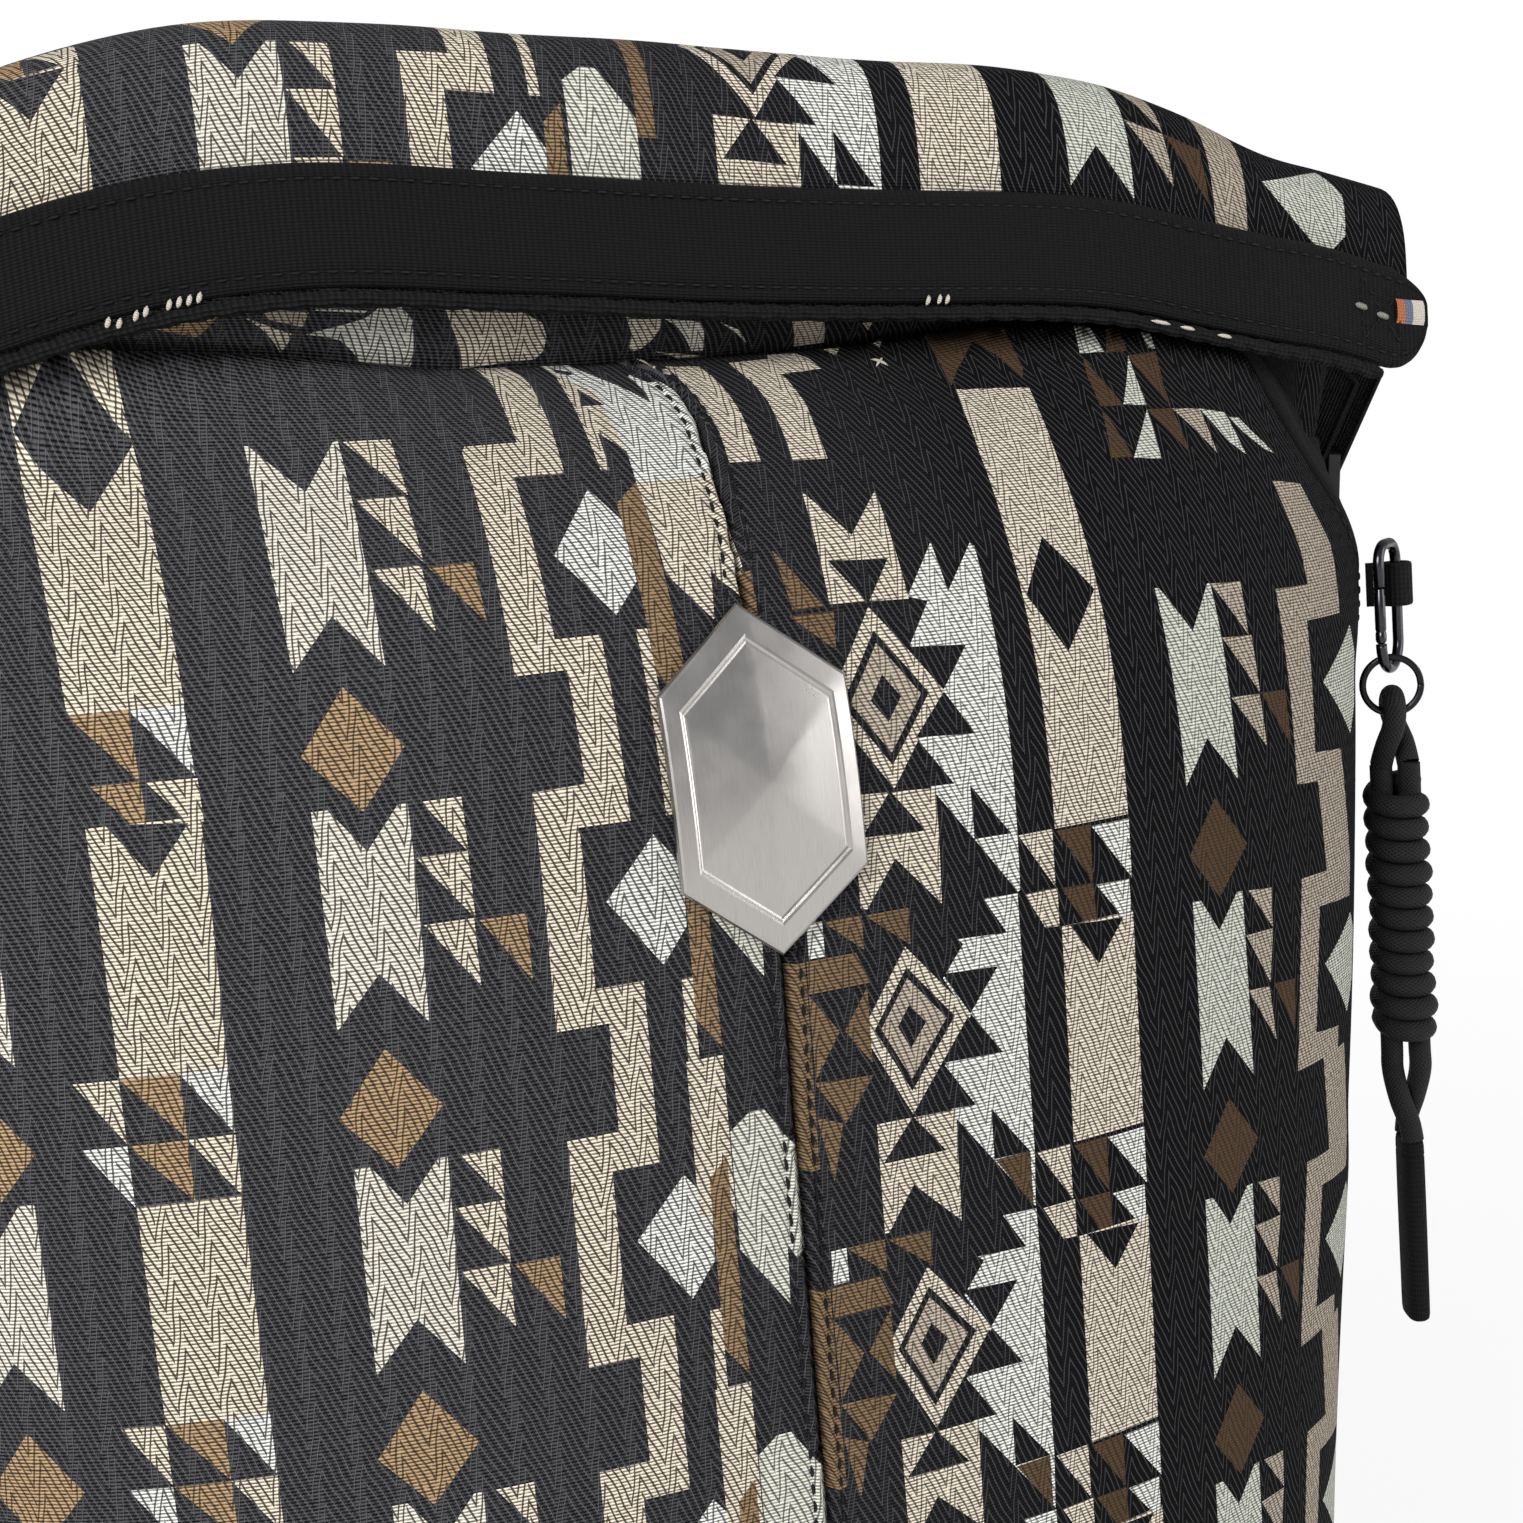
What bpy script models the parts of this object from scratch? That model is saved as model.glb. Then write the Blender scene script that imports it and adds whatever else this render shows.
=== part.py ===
"""A backpack with a rolled, strapped-down top, built in Blender as separate closed solids.

Metres, +Z up. The front of the bag faces -Y, its straps are at +Y, and it stands on its base at z = 0.
The sizes below are in the bag's own frame, whose y = 0 runs through the middle of the cloth body.
FRAME_SHIFT_Y then moves everything so that the origin lies under the middle of the whole object.
"""

from math import acos, asin, atan2, copysign, cos, degrees, pi, radians, sin, sqrt

import bmesh
import bpy
from mathutils import Matrix, Vector
from mathutils.geometry import tessellate_polygon

# Fits
GAP = 0.0003
CLOTH_GAP = 0.0008
FRAME_SHIFT_Y = -0.027545

# Body cloth
BASE_HALF_WIDTH = 0.127
TOP_HALF_WIDTH = 0.1637
FRONT_DEPTH = 0.068
BACK_DEPTH = 0.060
DOME_TOP_Z = 0.410
FRONT_SHOULDER_Z = 0.310
BACK_SHOULDER_Z = 0.360
FRONT_ROUNDNESS = 2.37
BACK_ROUNDNESS = 6.0
FOOT_RADIUS = 0.018
CLOTH_THICKNESS = 0.0020
BASE_THICKNESS = 0.0030
MOUTH_Z = 0.403
MOUTH_SIDE_DROP = 0.030
# How much higher the cloth stands at its upper edge, left of the middle: (x, rise)
MOUTH_RISE = (
    (-0.160, 0.0),
    (-0.125, 0.0065),
    (-0.092, 0.0070),
    (-0.062, 0.0045),
    (-0.026, 0.0),
    (0.160, 0.0),
)
MOUTH_RISE_FROM_Z = 0.385
SIDE_SEAM_ANGLE = 12.0
SIDE_SEAM_TURN = 38.0
SIDE_SEAM_TURN_Z = 0.335
BACK_SEAM_ANGLE = -35.0
SEAM_GAP_ANGLE = 0.12
BACK_SEAM_GAP_ANGLE = 0.5
SEAM_DITCH = 0.0016
# The centre seam wanders a little where the cloth turns over the top: (z, x)
SEAM_LEAN = ((0.345, 0.0), (0.366, 0.0017), (0.387, 0.0030), (0.396, 0.0005), (0.403, -0.0052))
SEAM_LIP = 0.0004

# Inner pieces
FRAME_SHEET_THICKNESS = 0.0012
FRAME_SHEET_HALF_WIDTH = 0.100
FRAME_SHEET_LOW_Z = 0.024
FRAME_SHEET_HIGH_Z = 0.350
LINING_THICKNESS = 0.0008
LINING_TOP_DROP = 0.010
BOARD_THICKNESS = 0.0020
BOARD_INSET = 0.004
LINING_EASE = 0.0015

# Rolled top
ROLL_HALF_LENGTH = 0.1635
ROLL_MIDDLE_Y = -0.015
ROLL_HALF_DEPTH = 0.017
ROLL_HALF_HEIGHT = 0.022
ROLL_SQUARENESS = 2.8
ROLL_END_TAPER = 0.20
ROLL_TURNS = 2.2
ROLL_LAYER = 0.0036
ROLL_LAYER_GAP = 0.0006
ROLL_START_ANGLE = 225.0
ROLL_OVER_LIP = 0.003
LIP_HEIGHT = 0.020
LIP_THICKNESS = 0.0024
LIP_OVERHANG = 0.002
LIP_BINDING_RADIUS = 0.0015
# The lip's lower edge sags towards both ends, more on the right: (x, z) from left to right
LIP_EDGE = (
    (-0.165, 0.3860),
    (-0.140, 0.3970),
    (-0.095, 0.4110),
    (-0.060, 0.4150),
    (-0.020, 0.4125),
    (0.040, 0.4070),
    (0.093, 0.4015),
    (0.115, 0.3960),
    (0.135, 0.3890),
    (0.150, 0.3868),
    (0.165, 0.3862),
)
COLLAR_THICKNESS = 0.0015
COLLAR_TUCK = 0.003
COLLAR_INSET = 0.0030
COLLAR_CORNER_INSET = 0.0048
COLLAR_TOP_Y = -0.010
COLLAR_TOP_HALF_DEPTH = 0.010
COLLAR_BULGE = 0.0030
COLLAR_FOLD = 0.0022
COLLAR_FOLDS = 9

# Badge
BADGE_Z = 0.332
BADGE_HALF_WIDTH = 0.0165
BADGE_HALF_HEIGHT = 0.0285
BADGE_RIM = 0.0016
BADGE_CROWN = 0.0016
BACKING_THICKNESS = 0.0010

# Webbing and buckles
WEB_WIDTH = 0.020
WEB_THICKNESS = 0.0014
BUCKLE_WIDTH = 0.0245
BUCKLE_THICKNESS = 0.0072
BUCKLE_PLAY = 0.0003
MALE_THICKNESS = 0.0030
MALE_BODY = 0.0200
MALE_BAR = 0.0030
MALE_SHOULDER = 0.0030
PRONG_LENGTH = 0.0094
FEMALE_LENGTH = 0.0220
FEMALE_BAR = 0.0026
FEMALE_TAIL = 0.0080
SIDE_BUCKLE_Y = 0.012
SIDE_BUCKLE_MOUTH_Z = 0.354
ROLL_TAB_DRIFT = 0.016
SIDE_STRAP_FOOT_Z = 0.026

# Clip and rings at the right side seam
TAB_LOW_Z = 0.3410
TAB_HIGH_Z = 0.3500
TAB_THICKNESS = 0.0012
TAB_BORE_RADIUS = 0.0021
CLIP_OUT = 0.0071
CLIP_FORWARD = 0.0051
CLIP_ABOVE_TAB = 0.0042
CLIP_WIRE = 0.0011
CLIP_WIDTH = 0.0110
CLIP_HEIGHT = 0.0255
CLIP_CORNER = 0.0040
CLIP_TURN = (-0.82, -0.57)
GATE_LENGTH = 0.0104
SPLIT_RADIUS = 0.0058
SPLIT_WIRE = 0.00075
SPLIT_TURN = (0.85, -0.53)

# Lanyard
CORD_RADIUS = 0.0023
KNOT_RADIUS = 0.0066
KNOT_TOP_Z = 0.3063
KNOT_TURNS = 12
KNOT_PITCH = 0.00477
KNOT_GROOVE = 0.0011
SLEEVE_LENGTH = 0.0400
SLEEVE_HALF_WIDTH = 0.0026
SLEEVE_HALF_DEPTH = 0.0051

# Harness at the back
PAD_THICKNESS = 0.012
PAD_EDGE = 0.004
UPPER_PAD_X = 0.056
UPPER_PAD_Z = 0.242
UPPER_PAD_HALF_WIDTH = 0.046
UPPER_PAD_HALF_HEIGHT = 0.112
LOWER_PAD_Z = 0.090
LOWER_PAD_HALF_WIDTH = 0.095
LOWER_PAD_HALF_HEIGHT = 0.032
STRAP_THICKNESS = 0.011
STRAP_TOP_HALF_WIDTH = 0.031
STRAP_END_HALF_WIDTH = 0.022
STRAP_ROOT_X = 0.060
STRAP_ROOT_Z = 0.366
STRAP_RUN_X = 0.081
STRAP_RUN_Y = 0.113
STRAP_RUN_HIGH_Z = 0.338
STRAP_RUN_LOW_Z = 0.262
STRAP_END_X = 0.106
STRAP_END_Y = 0.088
STRAP_END_Z = 0.152
HANDLE_HALF_SPAN = 0.036
HANDLE_Z = 0.388
HANDLE_REACH = 0.026
HANDLE_WIDTH = 0.018
HANDLE_THICKNESS = 0.003
LOCK_THICKNESS = 0.0032
LOCK_WIDTH = 0.026
LOCK_HEIGHT = 0.022
LOCK_BAR = 0.003
ANCHOR_Z = 0.036
ANCHOR_X = 0.090
TAIL_DROP = 0.070
STERNUM_Z = 0.300
RAIL_HALF_LENGTH = 0.026
STRAP_STRAIGHT = 0.028
RAIL_HEAD_RADIUS = 0.0020
RAIL_NECK = 0.0016
RAIL_FLANGE = 0.0090
SLIDER_HALF_HEIGHT = 0.0110
SLIDER_WALL = 0.0018
SLIDER_PLAY = 0.0003

# Surface colours: red, green, blue, roughness, metallic
WOVEN = (0.050, 0.049, 0.050, 0.85, 0.0)
GUSSET = (0.022, 0.022, 0.024, 0.80, 0.0)
WEBBING = (0.016, 0.016, 0.018, 0.75, 0.0)
PADDED = (0.030, 0.030, 0.032, 0.85, 0.0)
PLASTIC = (0.020, 0.020, 0.021, 0.45, 0.0)
BOARD = (0.120, 0.120, 0.125, 0.60, 0.0)
LINING = (0.140, 0.135, 0.130, 0.80, 0.0)
NICKEL = (0.520, 0.500, 0.480, 0.30, 1.0)
GUNMETAL = (0.180, 0.180, 0.190, 0.32, 1.0)
BLACK_STEEL = (0.060, 0.060, 0.065, 0.35, 1.0)
CORD = (0.020, 0.020, 0.021, 0.80, 0.0)


# Scene and object helpers


def clear_scene():
    for item in list(bpy.data.objects):
        bpy.data.objects.remove(item, do_unlink=True)


def empty(name, location):
    """A frame that carries pieces and is not a piece itself."""
    holder = bpy.data.objects.new(name, None)
    holder.location = location
    bpy.context.scene.collection.objects.link(holder)
    return holder


def coat(name, look):
    """The piece's own material, from its colour, roughness and metallic value."""
    material = bpy.data.materials.new(name)
    material.use_nodes = True
    shader = material.node_tree.nodes["Principled BSDF"]
    shader.inputs["Base Color"].default_value = (look[0], look[1], look[2], 1.0)
    shader.inputs["Roughness"].default_value = look[3]
    shader.inputs["Metallic"].default_value = look[4]
    return material


def piece(name, mesh, look, origin=(0.0, 0.0, 0.0), smooth=True):
    """Puts a bmesh, given in the bag's frame, into the scene with its origin at a chosen point."""
    bmesh.ops.recalc_face_normals(mesh, faces=mesh.faces)
    bmesh.ops.translate(mesh, verts=mesh.verts, vec=-Vector(origin))
    data = bpy.data.meshes.new(name)
    mesh.to_mesh(data)
    mesh.free()
    if smooth:
        data.shade_smooth()
        data.set_sharp_from_angle(angle=radians(40))
    thing = bpy.data.objects.new(name, data)
    data.materials.append(coat(name, look))
    bpy.context.scene.collection.objects.link(thing)
    thing.parent = bag
    thing.location = origin
    return thing


def cut(target, mesh, name):
    """Takes a cutter's volume out of a piece."""
    cutter = piece(name, mesh, BOARD, smooth=False)
    cutter.hide_render = True
    cutter.display_type = "WIRE"
    trim = target.modifiers.new(name, "BOOLEAN")
    trim.operation = "DIFFERENCE"
    trim.object = cutter


# Mesh helpers


def grid_shell(outer, inner, closed):
    """A closed shell between two grids of points. Each grid is a list of rows; closed joins row ends."""
    mesh = bmesh.new()
    sheets = [[[mesh.verts.new(p) for p in row] for row in grid] for grid in (outer, inner)]
    rows = len(outer)
    columns = len(outer[0])
    spans = columns if closed else columns - 1
    for sheet in sheets:
        for r in range(rows - 1):
            for c in range(spans):
                d = (c + 1) % columns
                mesh.faces.new((sheet[r][c], sheet[r][d], sheet[r + 1][d], sheet[r + 1][c]))
    top, bottom = sheets
    for r in (0, rows - 1):
        for c in range(spans):
            d = (c + 1) % columns
            mesh.faces.new((top[r][c], top[r][d], bottom[r][d], bottom[r][c]))
    if not closed:
        for c in (0, columns - 1):
            for r in range(rows - 1):
                mesh.faces.new((top[r][c], top[r + 1][c], bottom[r + 1][c], bottom[r][c]))
    return mesh


def cup(outer, inner):
    """A closed cup between two stacks of rings, each stack closed by its first ring's own face."""
    mesh = bmesh.new()
    stacks = [[[mesh.verts.new(p) for p in ring] for ring in stack] for stack in (outer, inner)]
    count = len(outer[0])
    for stack in stacks:
        mesh.faces.new(stack[0])
        for low, high in zip(stack, stack[1:]):
            for c in range(count):
                d = (c + 1) % count
                mesh.faces.new((low[c], low[d], high[d], high[c]))
    for c in range(count):
        d = (c + 1) % count
        mesh.faces.new((stacks[0][-1][c], stacks[0][-1][d], stacks[1][-1][d], stacks[1][-1][c]))
    return mesh


def loft(sections):
    """A solid through closed sections with as many points each, capped at both ends."""
    mesh = bmesh.new()
    rings = [[mesh.verts.new(p) for p in section] for section in sections]
    count = len(rings[0])
    for low, high in zip(rings, rings[1:]):
        for c in range(count):
            d = (c + 1) % count
            mesh.faces.new((low[c], low[d], high[d], high[c]))
    mesh.faces.new(rings[0])
    mesh.faces.new(rings[-1])
    return mesh


def ring_loft(sections):
    """A solid through closed sections whose last section joins the first."""
    mesh = bmesh.new()
    rings = [[mesh.verts.new(p) for p in section] for section in sections]
    count = len(rings[0])
    for index, low in enumerate(rings):
        high = rings[(index + 1) % len(rings)]
        for c in range(count):
            d = (c + 1) % count
            mesh.faces.new((low[c], low[d], high[d], high[c]))
    return mesh


def prism(loops, low, high, place, mesh=None):
    """A plate cut to an outline, with holes. place turns (across, along, depth) into the bag's frame."""
    mesh = mesh or bmesh.new()
    flat = [[Vector((a, b, 0.0)) for a, b in loop] for loop in loops]
    triangles = tessellate_polygon(flat)
    points = [p for loop in flat for p in loop]
    layers = [[mesh.verts.new(place(p.x, p.y, depth)) for p in points] for depth in (low, high)]
    for layer in layers:
        for triangle in triangles:
            mesh.faces.new([layer[i] for i in triangle])
    start = 0
    for loop in flat:
        for i in range(len(loop)):
            a = start + i
            b = start + (i + 1) % len(loop)
            mesh.faces.new((layers[0][a], layers[0][b], layers[1][b], layers[1][a]))
        start += len(loop)
    return mesh


def circle(radius, count, centre=(0.0, 0.0)):
    return [
        (centre[0] + radius * cos(2 * pi * i / count), centre[1] + radius * sin(2 * pi * i / count))
        for i in range(count)
    ]


def rectangle(x0, y0, x1, y1):
    return [(x0, y0), (x1, y0), (x1, y1), (x0, y1)]


def frames_along(path, across):
    """For each point of a path: the point, the direction across it and the direction out of it."""
    frames = []
    for i, point in enumerate(path):
        ahead = path[min(i + 1, len(path) - 1)] - path[max(i - 1, 0)]
        ahead.normalize()
        side = (across - across.dot(ahead) * ahead).normalized()
        frames.append((point, side, ahead.cross(side)))
    return frames


def tube(path, radius, count, across):
    """A round rod along a path."""
    sections = []
    for point, side, out in frames_along(path, across):
        sections.append([point + side * a + out * b for a, b in circle(radius, count)])
    return loft(sections)


def ribbon(path, across, width, thickness):
    """A flat strap along a path."""
    sections = []
    corners = rectangle(-width / 2, -thickness / 2, width / 2, thickness / 2)
    for point, side, out in frames_along(path, across):
        sections.append([point + side * a + out * b for a, b in corners])
    return loft(sections)


def smooth_value(knots, x):
    """A smooth curve through (x, value) knots, flat beyond both ends."""
    if x <= knots[0][0]:
        return knots[0][1]
    for i in range(len(knots) - 1):
        x0, v0 = knots[i]
        x1, v1 = knots[i + 1]
        if x <= x1:
            slopes = []
            for j in (i, i + 1):
                before = knots[max(j - 1, 0)]
                after = knots[min(j + 1, len(knots) - 1)]
                slopes.append((after[1] - before[1]) / (after[0] - before[0]))
            span = x1 - x0
            t = (x - x0) / span
            return (
                v0 * (2 * t**3 - 3 * t**2 + 1)
                + v1 * (3 * t**2 - 2 * t**3)
                + slopes[0] * span * (t**3 - 2 * t**2 + t)
                + slopes[1] * span * (t**3 - t**2)
            )
    return knots[-1][1]


def smooth_path(points, steps):
    """Points on a smooth curve through the given points, with some steps between each two."""
    knots = [Vector(p) for p in points]
    path = []
    for i in range(len(knots) - 1):
        before = knots[max(i - 1, 0)]
        a = knots[i]
        b = knots[i + 1]
        after = knots[min(i + 2, len(knots) - 1)]
        for k in range(steps):
            t = k / steps
            path.append(
                0.5
                * (
                    2 * a
                    + (b - before) * t
                    + (2 * before - 5 * a + 4 * b - after) * t**2
                    + (3 * a - before - 3 * b + after) * t**3
                )
            )
    path.append(knots[-1])
    return path


def clamp(value):
    return min(max(value, 0.0), 1.0)


# The cloth body's surface


def foot_inset(z):
    """How far the body pulls in where it turns under at the base."""
    if z >= FOOT_RADIUS:
        return 0.0
    return FOOT_RADIUS - sqrt(FOOT_RADIUS**2 - (FOOT_RADIUS - z) ** 2)


def half_width(z):
    return BASE_HALF_WIDTH + (TOP_HALF_WIDTH - BASE_HALF_WIDTH) * z / DOME_TOP_Z - foot_inset(z)


def dome(z, shoulder):
    """1 on the upright walls, falling to 0 at the top of the dome."""
    rise = clamp((z - shoulder) / (DOME_TOP_Z - shoulder))
    return (1 - rise**2.5) ** 0.625


def front_depth(z):
    return FRONT_DEPTH * dome(z, FRONT_SHOULDER_Z) - foot_inset(z)


def back_depth(z):
    return BACK_DEPTH * dome(z, BACK_SHOULDER_Z) - foot_inset(z)


def skin(angle, z):
    """A point of the body's outside. Angle 0 is the right side, 90 the front, 180 the left, -90 the back."""
    c = cos(radians(angle))
    s = sin(radians(angle))
    power = 2 / (FRONT_ROUNDNESS if s >= 0 else BACK_ROUNDNESS)
    depth = -front_depth(z) if s >= 0 else back_depth(z)
    x = copysign(abs(c) ** power * half_width(z), c)
    share = clamp((z - MOUTH_RISE_FROM_Z) / (MOUTH_Z - MOUTH_RISE_FROM_Z)) ** 1.5
    rise = smooth_value(MOUTH_RISE, x) * share * clamp(2 * s)
    return Vector((x, abs(s) ** power * depth, z + rise))


def skin_normal(angle, z):
    around = skin(angle + 0.5, z) - skin(angle - 0.5, z)
    upward = skin(angle, z + 0.0005) - skin(angle, z - 0.0005)
    return upward.cross(around).normalized()


def front_point(x, z, out=0.0):
    """The front surface at x and z, moved out of the cloth by a distance."""
    share = abs(x) / half_width(z)
    angle = 90 - copysign(90 - degrees(acos(share ** (FRONT_ROUNDNESS / 2))), x)
    return skin(angle, z) + skin_normal(angle, z) * out


def back_point(x, z, out=0.0):
    """The back surface at x and z, moved out of the cloth by a distance."""
    share = abs(x) / half_width(z)
    angle = -90 + copysign(90 - degrees(acos(share ** (BACK_ROUNDNESS / 2))), x)
    return skin(angle, z) + skin_normal(angle, z) * out


def side_seam_angle(z):
    """The front panel's edge: low on the side, and turning to the front near the top."""
    turn = clamp((z - SIDE_SEAM_TURN_Z) / (MOUTH_Z - SIDE_SEAM_TURN_Z))
    return SIDE_SEAM_ANGLE + SIDE_SEAM_TURN * turn**1.2


def mouth_z(angle):
    """The height of the body's upper edge, lower at both sides under the roll's ends."""
    return MOUTH_Z - MOUTH_SIDE_DROP * abs(cos(radians(angle))) ** 3


FOOT_Z = BASE_THICKNESS + GAP
ROWS = (0.0, 0.02, 0.045, 0.12, 0.28, 0.45, 0.60, 0.72, 0.80, 0.86, 0.91, 0.95, 0.98, 1.0)
BACK_ROWS = (0.0, 0.02, 0.045, 0.14, 0.35, 0.60, 0.80, 0.89, 0.93, 0.965, 0.985, 1.0)


def mouth_of(start, end, share):
    """The upper edge's height on a line that runs at a share between two seams."""
    angle = start(MOUTH_Z) + (end(MOUTH_Z) - start(MOUTH_Z)) * share
    return mouth_z(angle)


def cloth_panel(start, end, shares, rows, puff):
    """A panel of cloth between two seams, given as functions of height that return angles."""
    outer = []
    inner = []
    for row in rows:
        outer_row = []
        inner_row = []
        for share in shares:
            z = FOOT_Z + (mouth_of(start, end, share) - FOOT_Z) * row
            angle = start(z) + (end(z) - start(z)) * share
            normal = skin_normal(angle, z)
            point = skin(angle, z)
            outer_row.append(point + normal * puff(share))
            inner_row.append(point + normal * (puff(share) - CLOTH_THICKNESS))
        outer.append(outer_row)
        inner.append(inner_row)
    return grid_shell(outer, inner, closed=False)


def seam_puff(share):
    """The cloth dips into the centre seam's ditch and swells beside it."""
    if share == 0.0:
        return -SEAM_DITCH
    return SEAM_LIP if share < 0.05 else 0.0


def front_panel(name, side):
    shares = (0.0, 0.012, 0.030, 0.09, 0.18, 0.28, 0.38, 0.49, 0.60, 0.71, 0.81, 0.91, 1.0)

    def centre(z):
        lean = smooth_value(SEAM_LEAN, z)
        turn = degrees(asin((abs(lean) / half_width(z)) ** (FRONT_ROUNDNESS / 2)))
        return 90 - copysign(turn, lean) - side * SEAM_GAP_ANGLE

    def edge(z):
        return 90 - side * (90 - side_seam_angle(z) - SEAM_GAP_ANGLE)

    return piece(name, cloth_panel(centre, edge, shares, ROWS, seam_puff), WOVEN)


def side_panel(name, side):
    shares = (0.0, 0.15, 0.255, 0.31, 0.42, 0.64, 1.0)

    def front(z):
        return 90 - side * (90 - side_seam_angle(z) + SEAM_GAP_ANGLE)

    def back(z):
        return 90 - side * (90 - BACK_SEAM_ANGLE - BACK_SEAM_GAP_ANGLE)

    return piece(name, cloth_panel(front, back, shares, ROWS, lambda share: 0.0), GUSSET)


def back_panel():
    shares = (0.0, 0.12, 0.24, 0.36, 0.44, 0.50, 0.56, 0.64, 0.76, 0.88, 1.0)

    def right(z):
        return BACK_SEAM_ANGLE - BACK_SEAM_GAP_ANGLE

    def left(z):
        return -180 - BACK_SEAM_ANGLE + BACK_SEAM_GAP_ANGLE

    return piece("back_panel", cloth_panel(right, left, shares, BACK_ROWS, lambda share: 0.0), PADDED)


RING_ANGLES = [
    angle
    for quarter in (
        (0, 6, 14, 24, 36, 50, 66, 82),
        (98, 114, 130, 144, 156, 166, 174, 180),
        (184, 192, 202, 215, 232, 252),
        (270, 288, 308, 325, 338, 348, 356),
    )
    for angle in quarter
]


def outline(z, inset):
    """The body's section at a height, drawn in by a distance."""
    points = []
    for angle in RING_ANGLES:
        normal = skin_normal(angle, z)
        flat = Vector((normal.x, normal.y, 0.0)).normalized()
        points.append(skin(angle, z) - flat * inset)
    return points


def slab(points, low, high):
    """A flat plate with the outline of some points."""
    return loft([[Vector((p.x, p.y, z)) for p in points] for z in (low, high)])


def base_panel():
    return piece("base_panel", slab(outline(FOOT_Z, 0.0), 0.0, BASE_THICKNESS), GUSSET, smooth=False)


def base_board():
    low = FOOT_Z
    mesh = slab(outline(FOOT_Z, BOARD_INSET), low, low + BOARD_THICKNESS)
    return piece("base_board", mesh, BOARD, smooth=False)


def lining():
    """A thin bag inside the panels, open at the top."""
    depth = CLOTH_THICKNESS + CLOTH_GAP + FRAME_SHEET_THICKNESS + LINING_EASE
    floor = FOOT_Z + BOARD_THICKNESS + GAP
    stacks = []
    for thickness in (0.0, LINING_THICKNESS):
        rings = [
            [Vector((p.x, p.y, floor + thickness)) for p in outline(FOOT_Z, 2 * BOARD_INSET + thickness)]
        ]
        for share in (0.05, 0.4, 0.75, 0.9, 1.0):
            ring = []
            for angle in RING_ANGLES:
                z = floor + (mouth_z(angle) - LINING_TOP_DROP - floor) * share
                ring.append(skin(angle, z) - skin_normal(angle, z) * (depth + thickness))
            rings.append(ring)
        stacks.append(rings)
    return piece("lining", cup(*stacks), LINING)


def frame_sheet():
    """The stiff sheet behind the back panel."""
    near = CLOTH_THICKNESS + CLOTH_GAP
    xs = [FRAME_SHEET_HALF_WIDTH * f for f in (-1, -0.75, -0.45, 0, 0.45, 0.75, 1)]
    zs = [FRAME_SHEET_LOW_Z, (FRAME_SHEET_LOW_Z + FRAME_SHEET_HIGH_Z) / 2, FRAME_SHEET_HIGH_Z]
    outer = [[back_point(x, z, -near) for x in xs] for z in zs]
    inner = [[back_point(x, z, -near - FRAME_SHEET_THICKNESS) for x in xs] for z in zs]
    return piece("frame_sheet", grid_shell(outer, inner, closed=False), BOARD)


# The rolled top


def lip_edge(x):
    return smooth_value(LIP_EDGE, x)


def roll_scale(x):
    return 1 - ROLL_END_TAPER * (abs(x) / ROLL_HALF_LENGTH) ** 4


def roll_centre_z(x):
    return lip_edge(x) + ROLL_OVER_LIP + ROLL_HALF_HEIGHT * roll_scale(x)


def roll_point(x, angle, depth):
    """A point of the roll's section at x, at an angle from the back, a depth inside its outside."""
    c = cos(radians(angle))
    s = sin(radians(angle))
    power = 2 / ROLL_SQUARENESS
    y = copysign(abs(c) ** power, c) * (ROLL_HALF_DEPTH * roll_scale(x) - depth)
    z = copysign(abs(s) ** power, s) * (ROLL_HALF_HEIGHT * roll_scale(x) - depth)
    return Vector((x, ROLL_MIDDLE_Y + y, roll_centre_z(x) + z))


def roll_depth(turns):
    """How deep the roll's layer lies after some turns from its outer end."""
    return turns * (ROLL_LAYER + ROLL_LAYER_GAP)


def roll_underside(x):
    """The height of the roll's lowest cloth."""
    turns = (ROLL_START_ANGLE + 360 - 270) / 360
    return roll_point(x, 270, roll_depth(turns)).z


def rolled_top():
    """The neck's cloth, rolled up from the front, with its turns showing at both ends."""
    steps = round(10 * ROLL_TURNS)
    turns = [ROLL_TURNS * i / steps for i in range(steps + 1)]
    shares = (-1, -0.93, -0.82, -0.68, -0.52, -0.34, -0.12, 0.12, 0.34, 0.52, 0.68, 0.82, 0.93, 1)
    sections = []
    for share in shares:
        x = ROLL_HALF_LENGTH * share
        outside = [roll_point(x, ROLL_START_ANGLE - 360 * t, roll_depth(t)) for t in turns]
        inside = [
            roll_point(x, ROLL_START_ANGLE - 360 * t, roll_depth(t) + ROLL_LAYER) for t in turns
        ]
        sections.append(outside + inside[::-1])
    return piece("rolled_top", loft(sections), WOVEN)


LIP_SHARES = (0.0, 0.12, 0.24, 0.36, 0.47, 0.57, 0.66, 0.74, 0.81, 0.87, 0.92, 0.96, 0.985, 1.0)


def lip_xs():
    """Places along the band, closer together where it turns down at its ends."""
    half = ROLL_HALF_LENGTH + LIP_OVERHANG
    return [-half * share for share in LIP_SHARES[:0:-1]] + [half * share for share in LIP_SHARES]


def lip_back(x):
    """The back face of the band, just in front of the roll."""
    return ROLL_MIDDLE_Y - ROLL_HALF_DEPTH * roll_scale(x) - GAP


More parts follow.
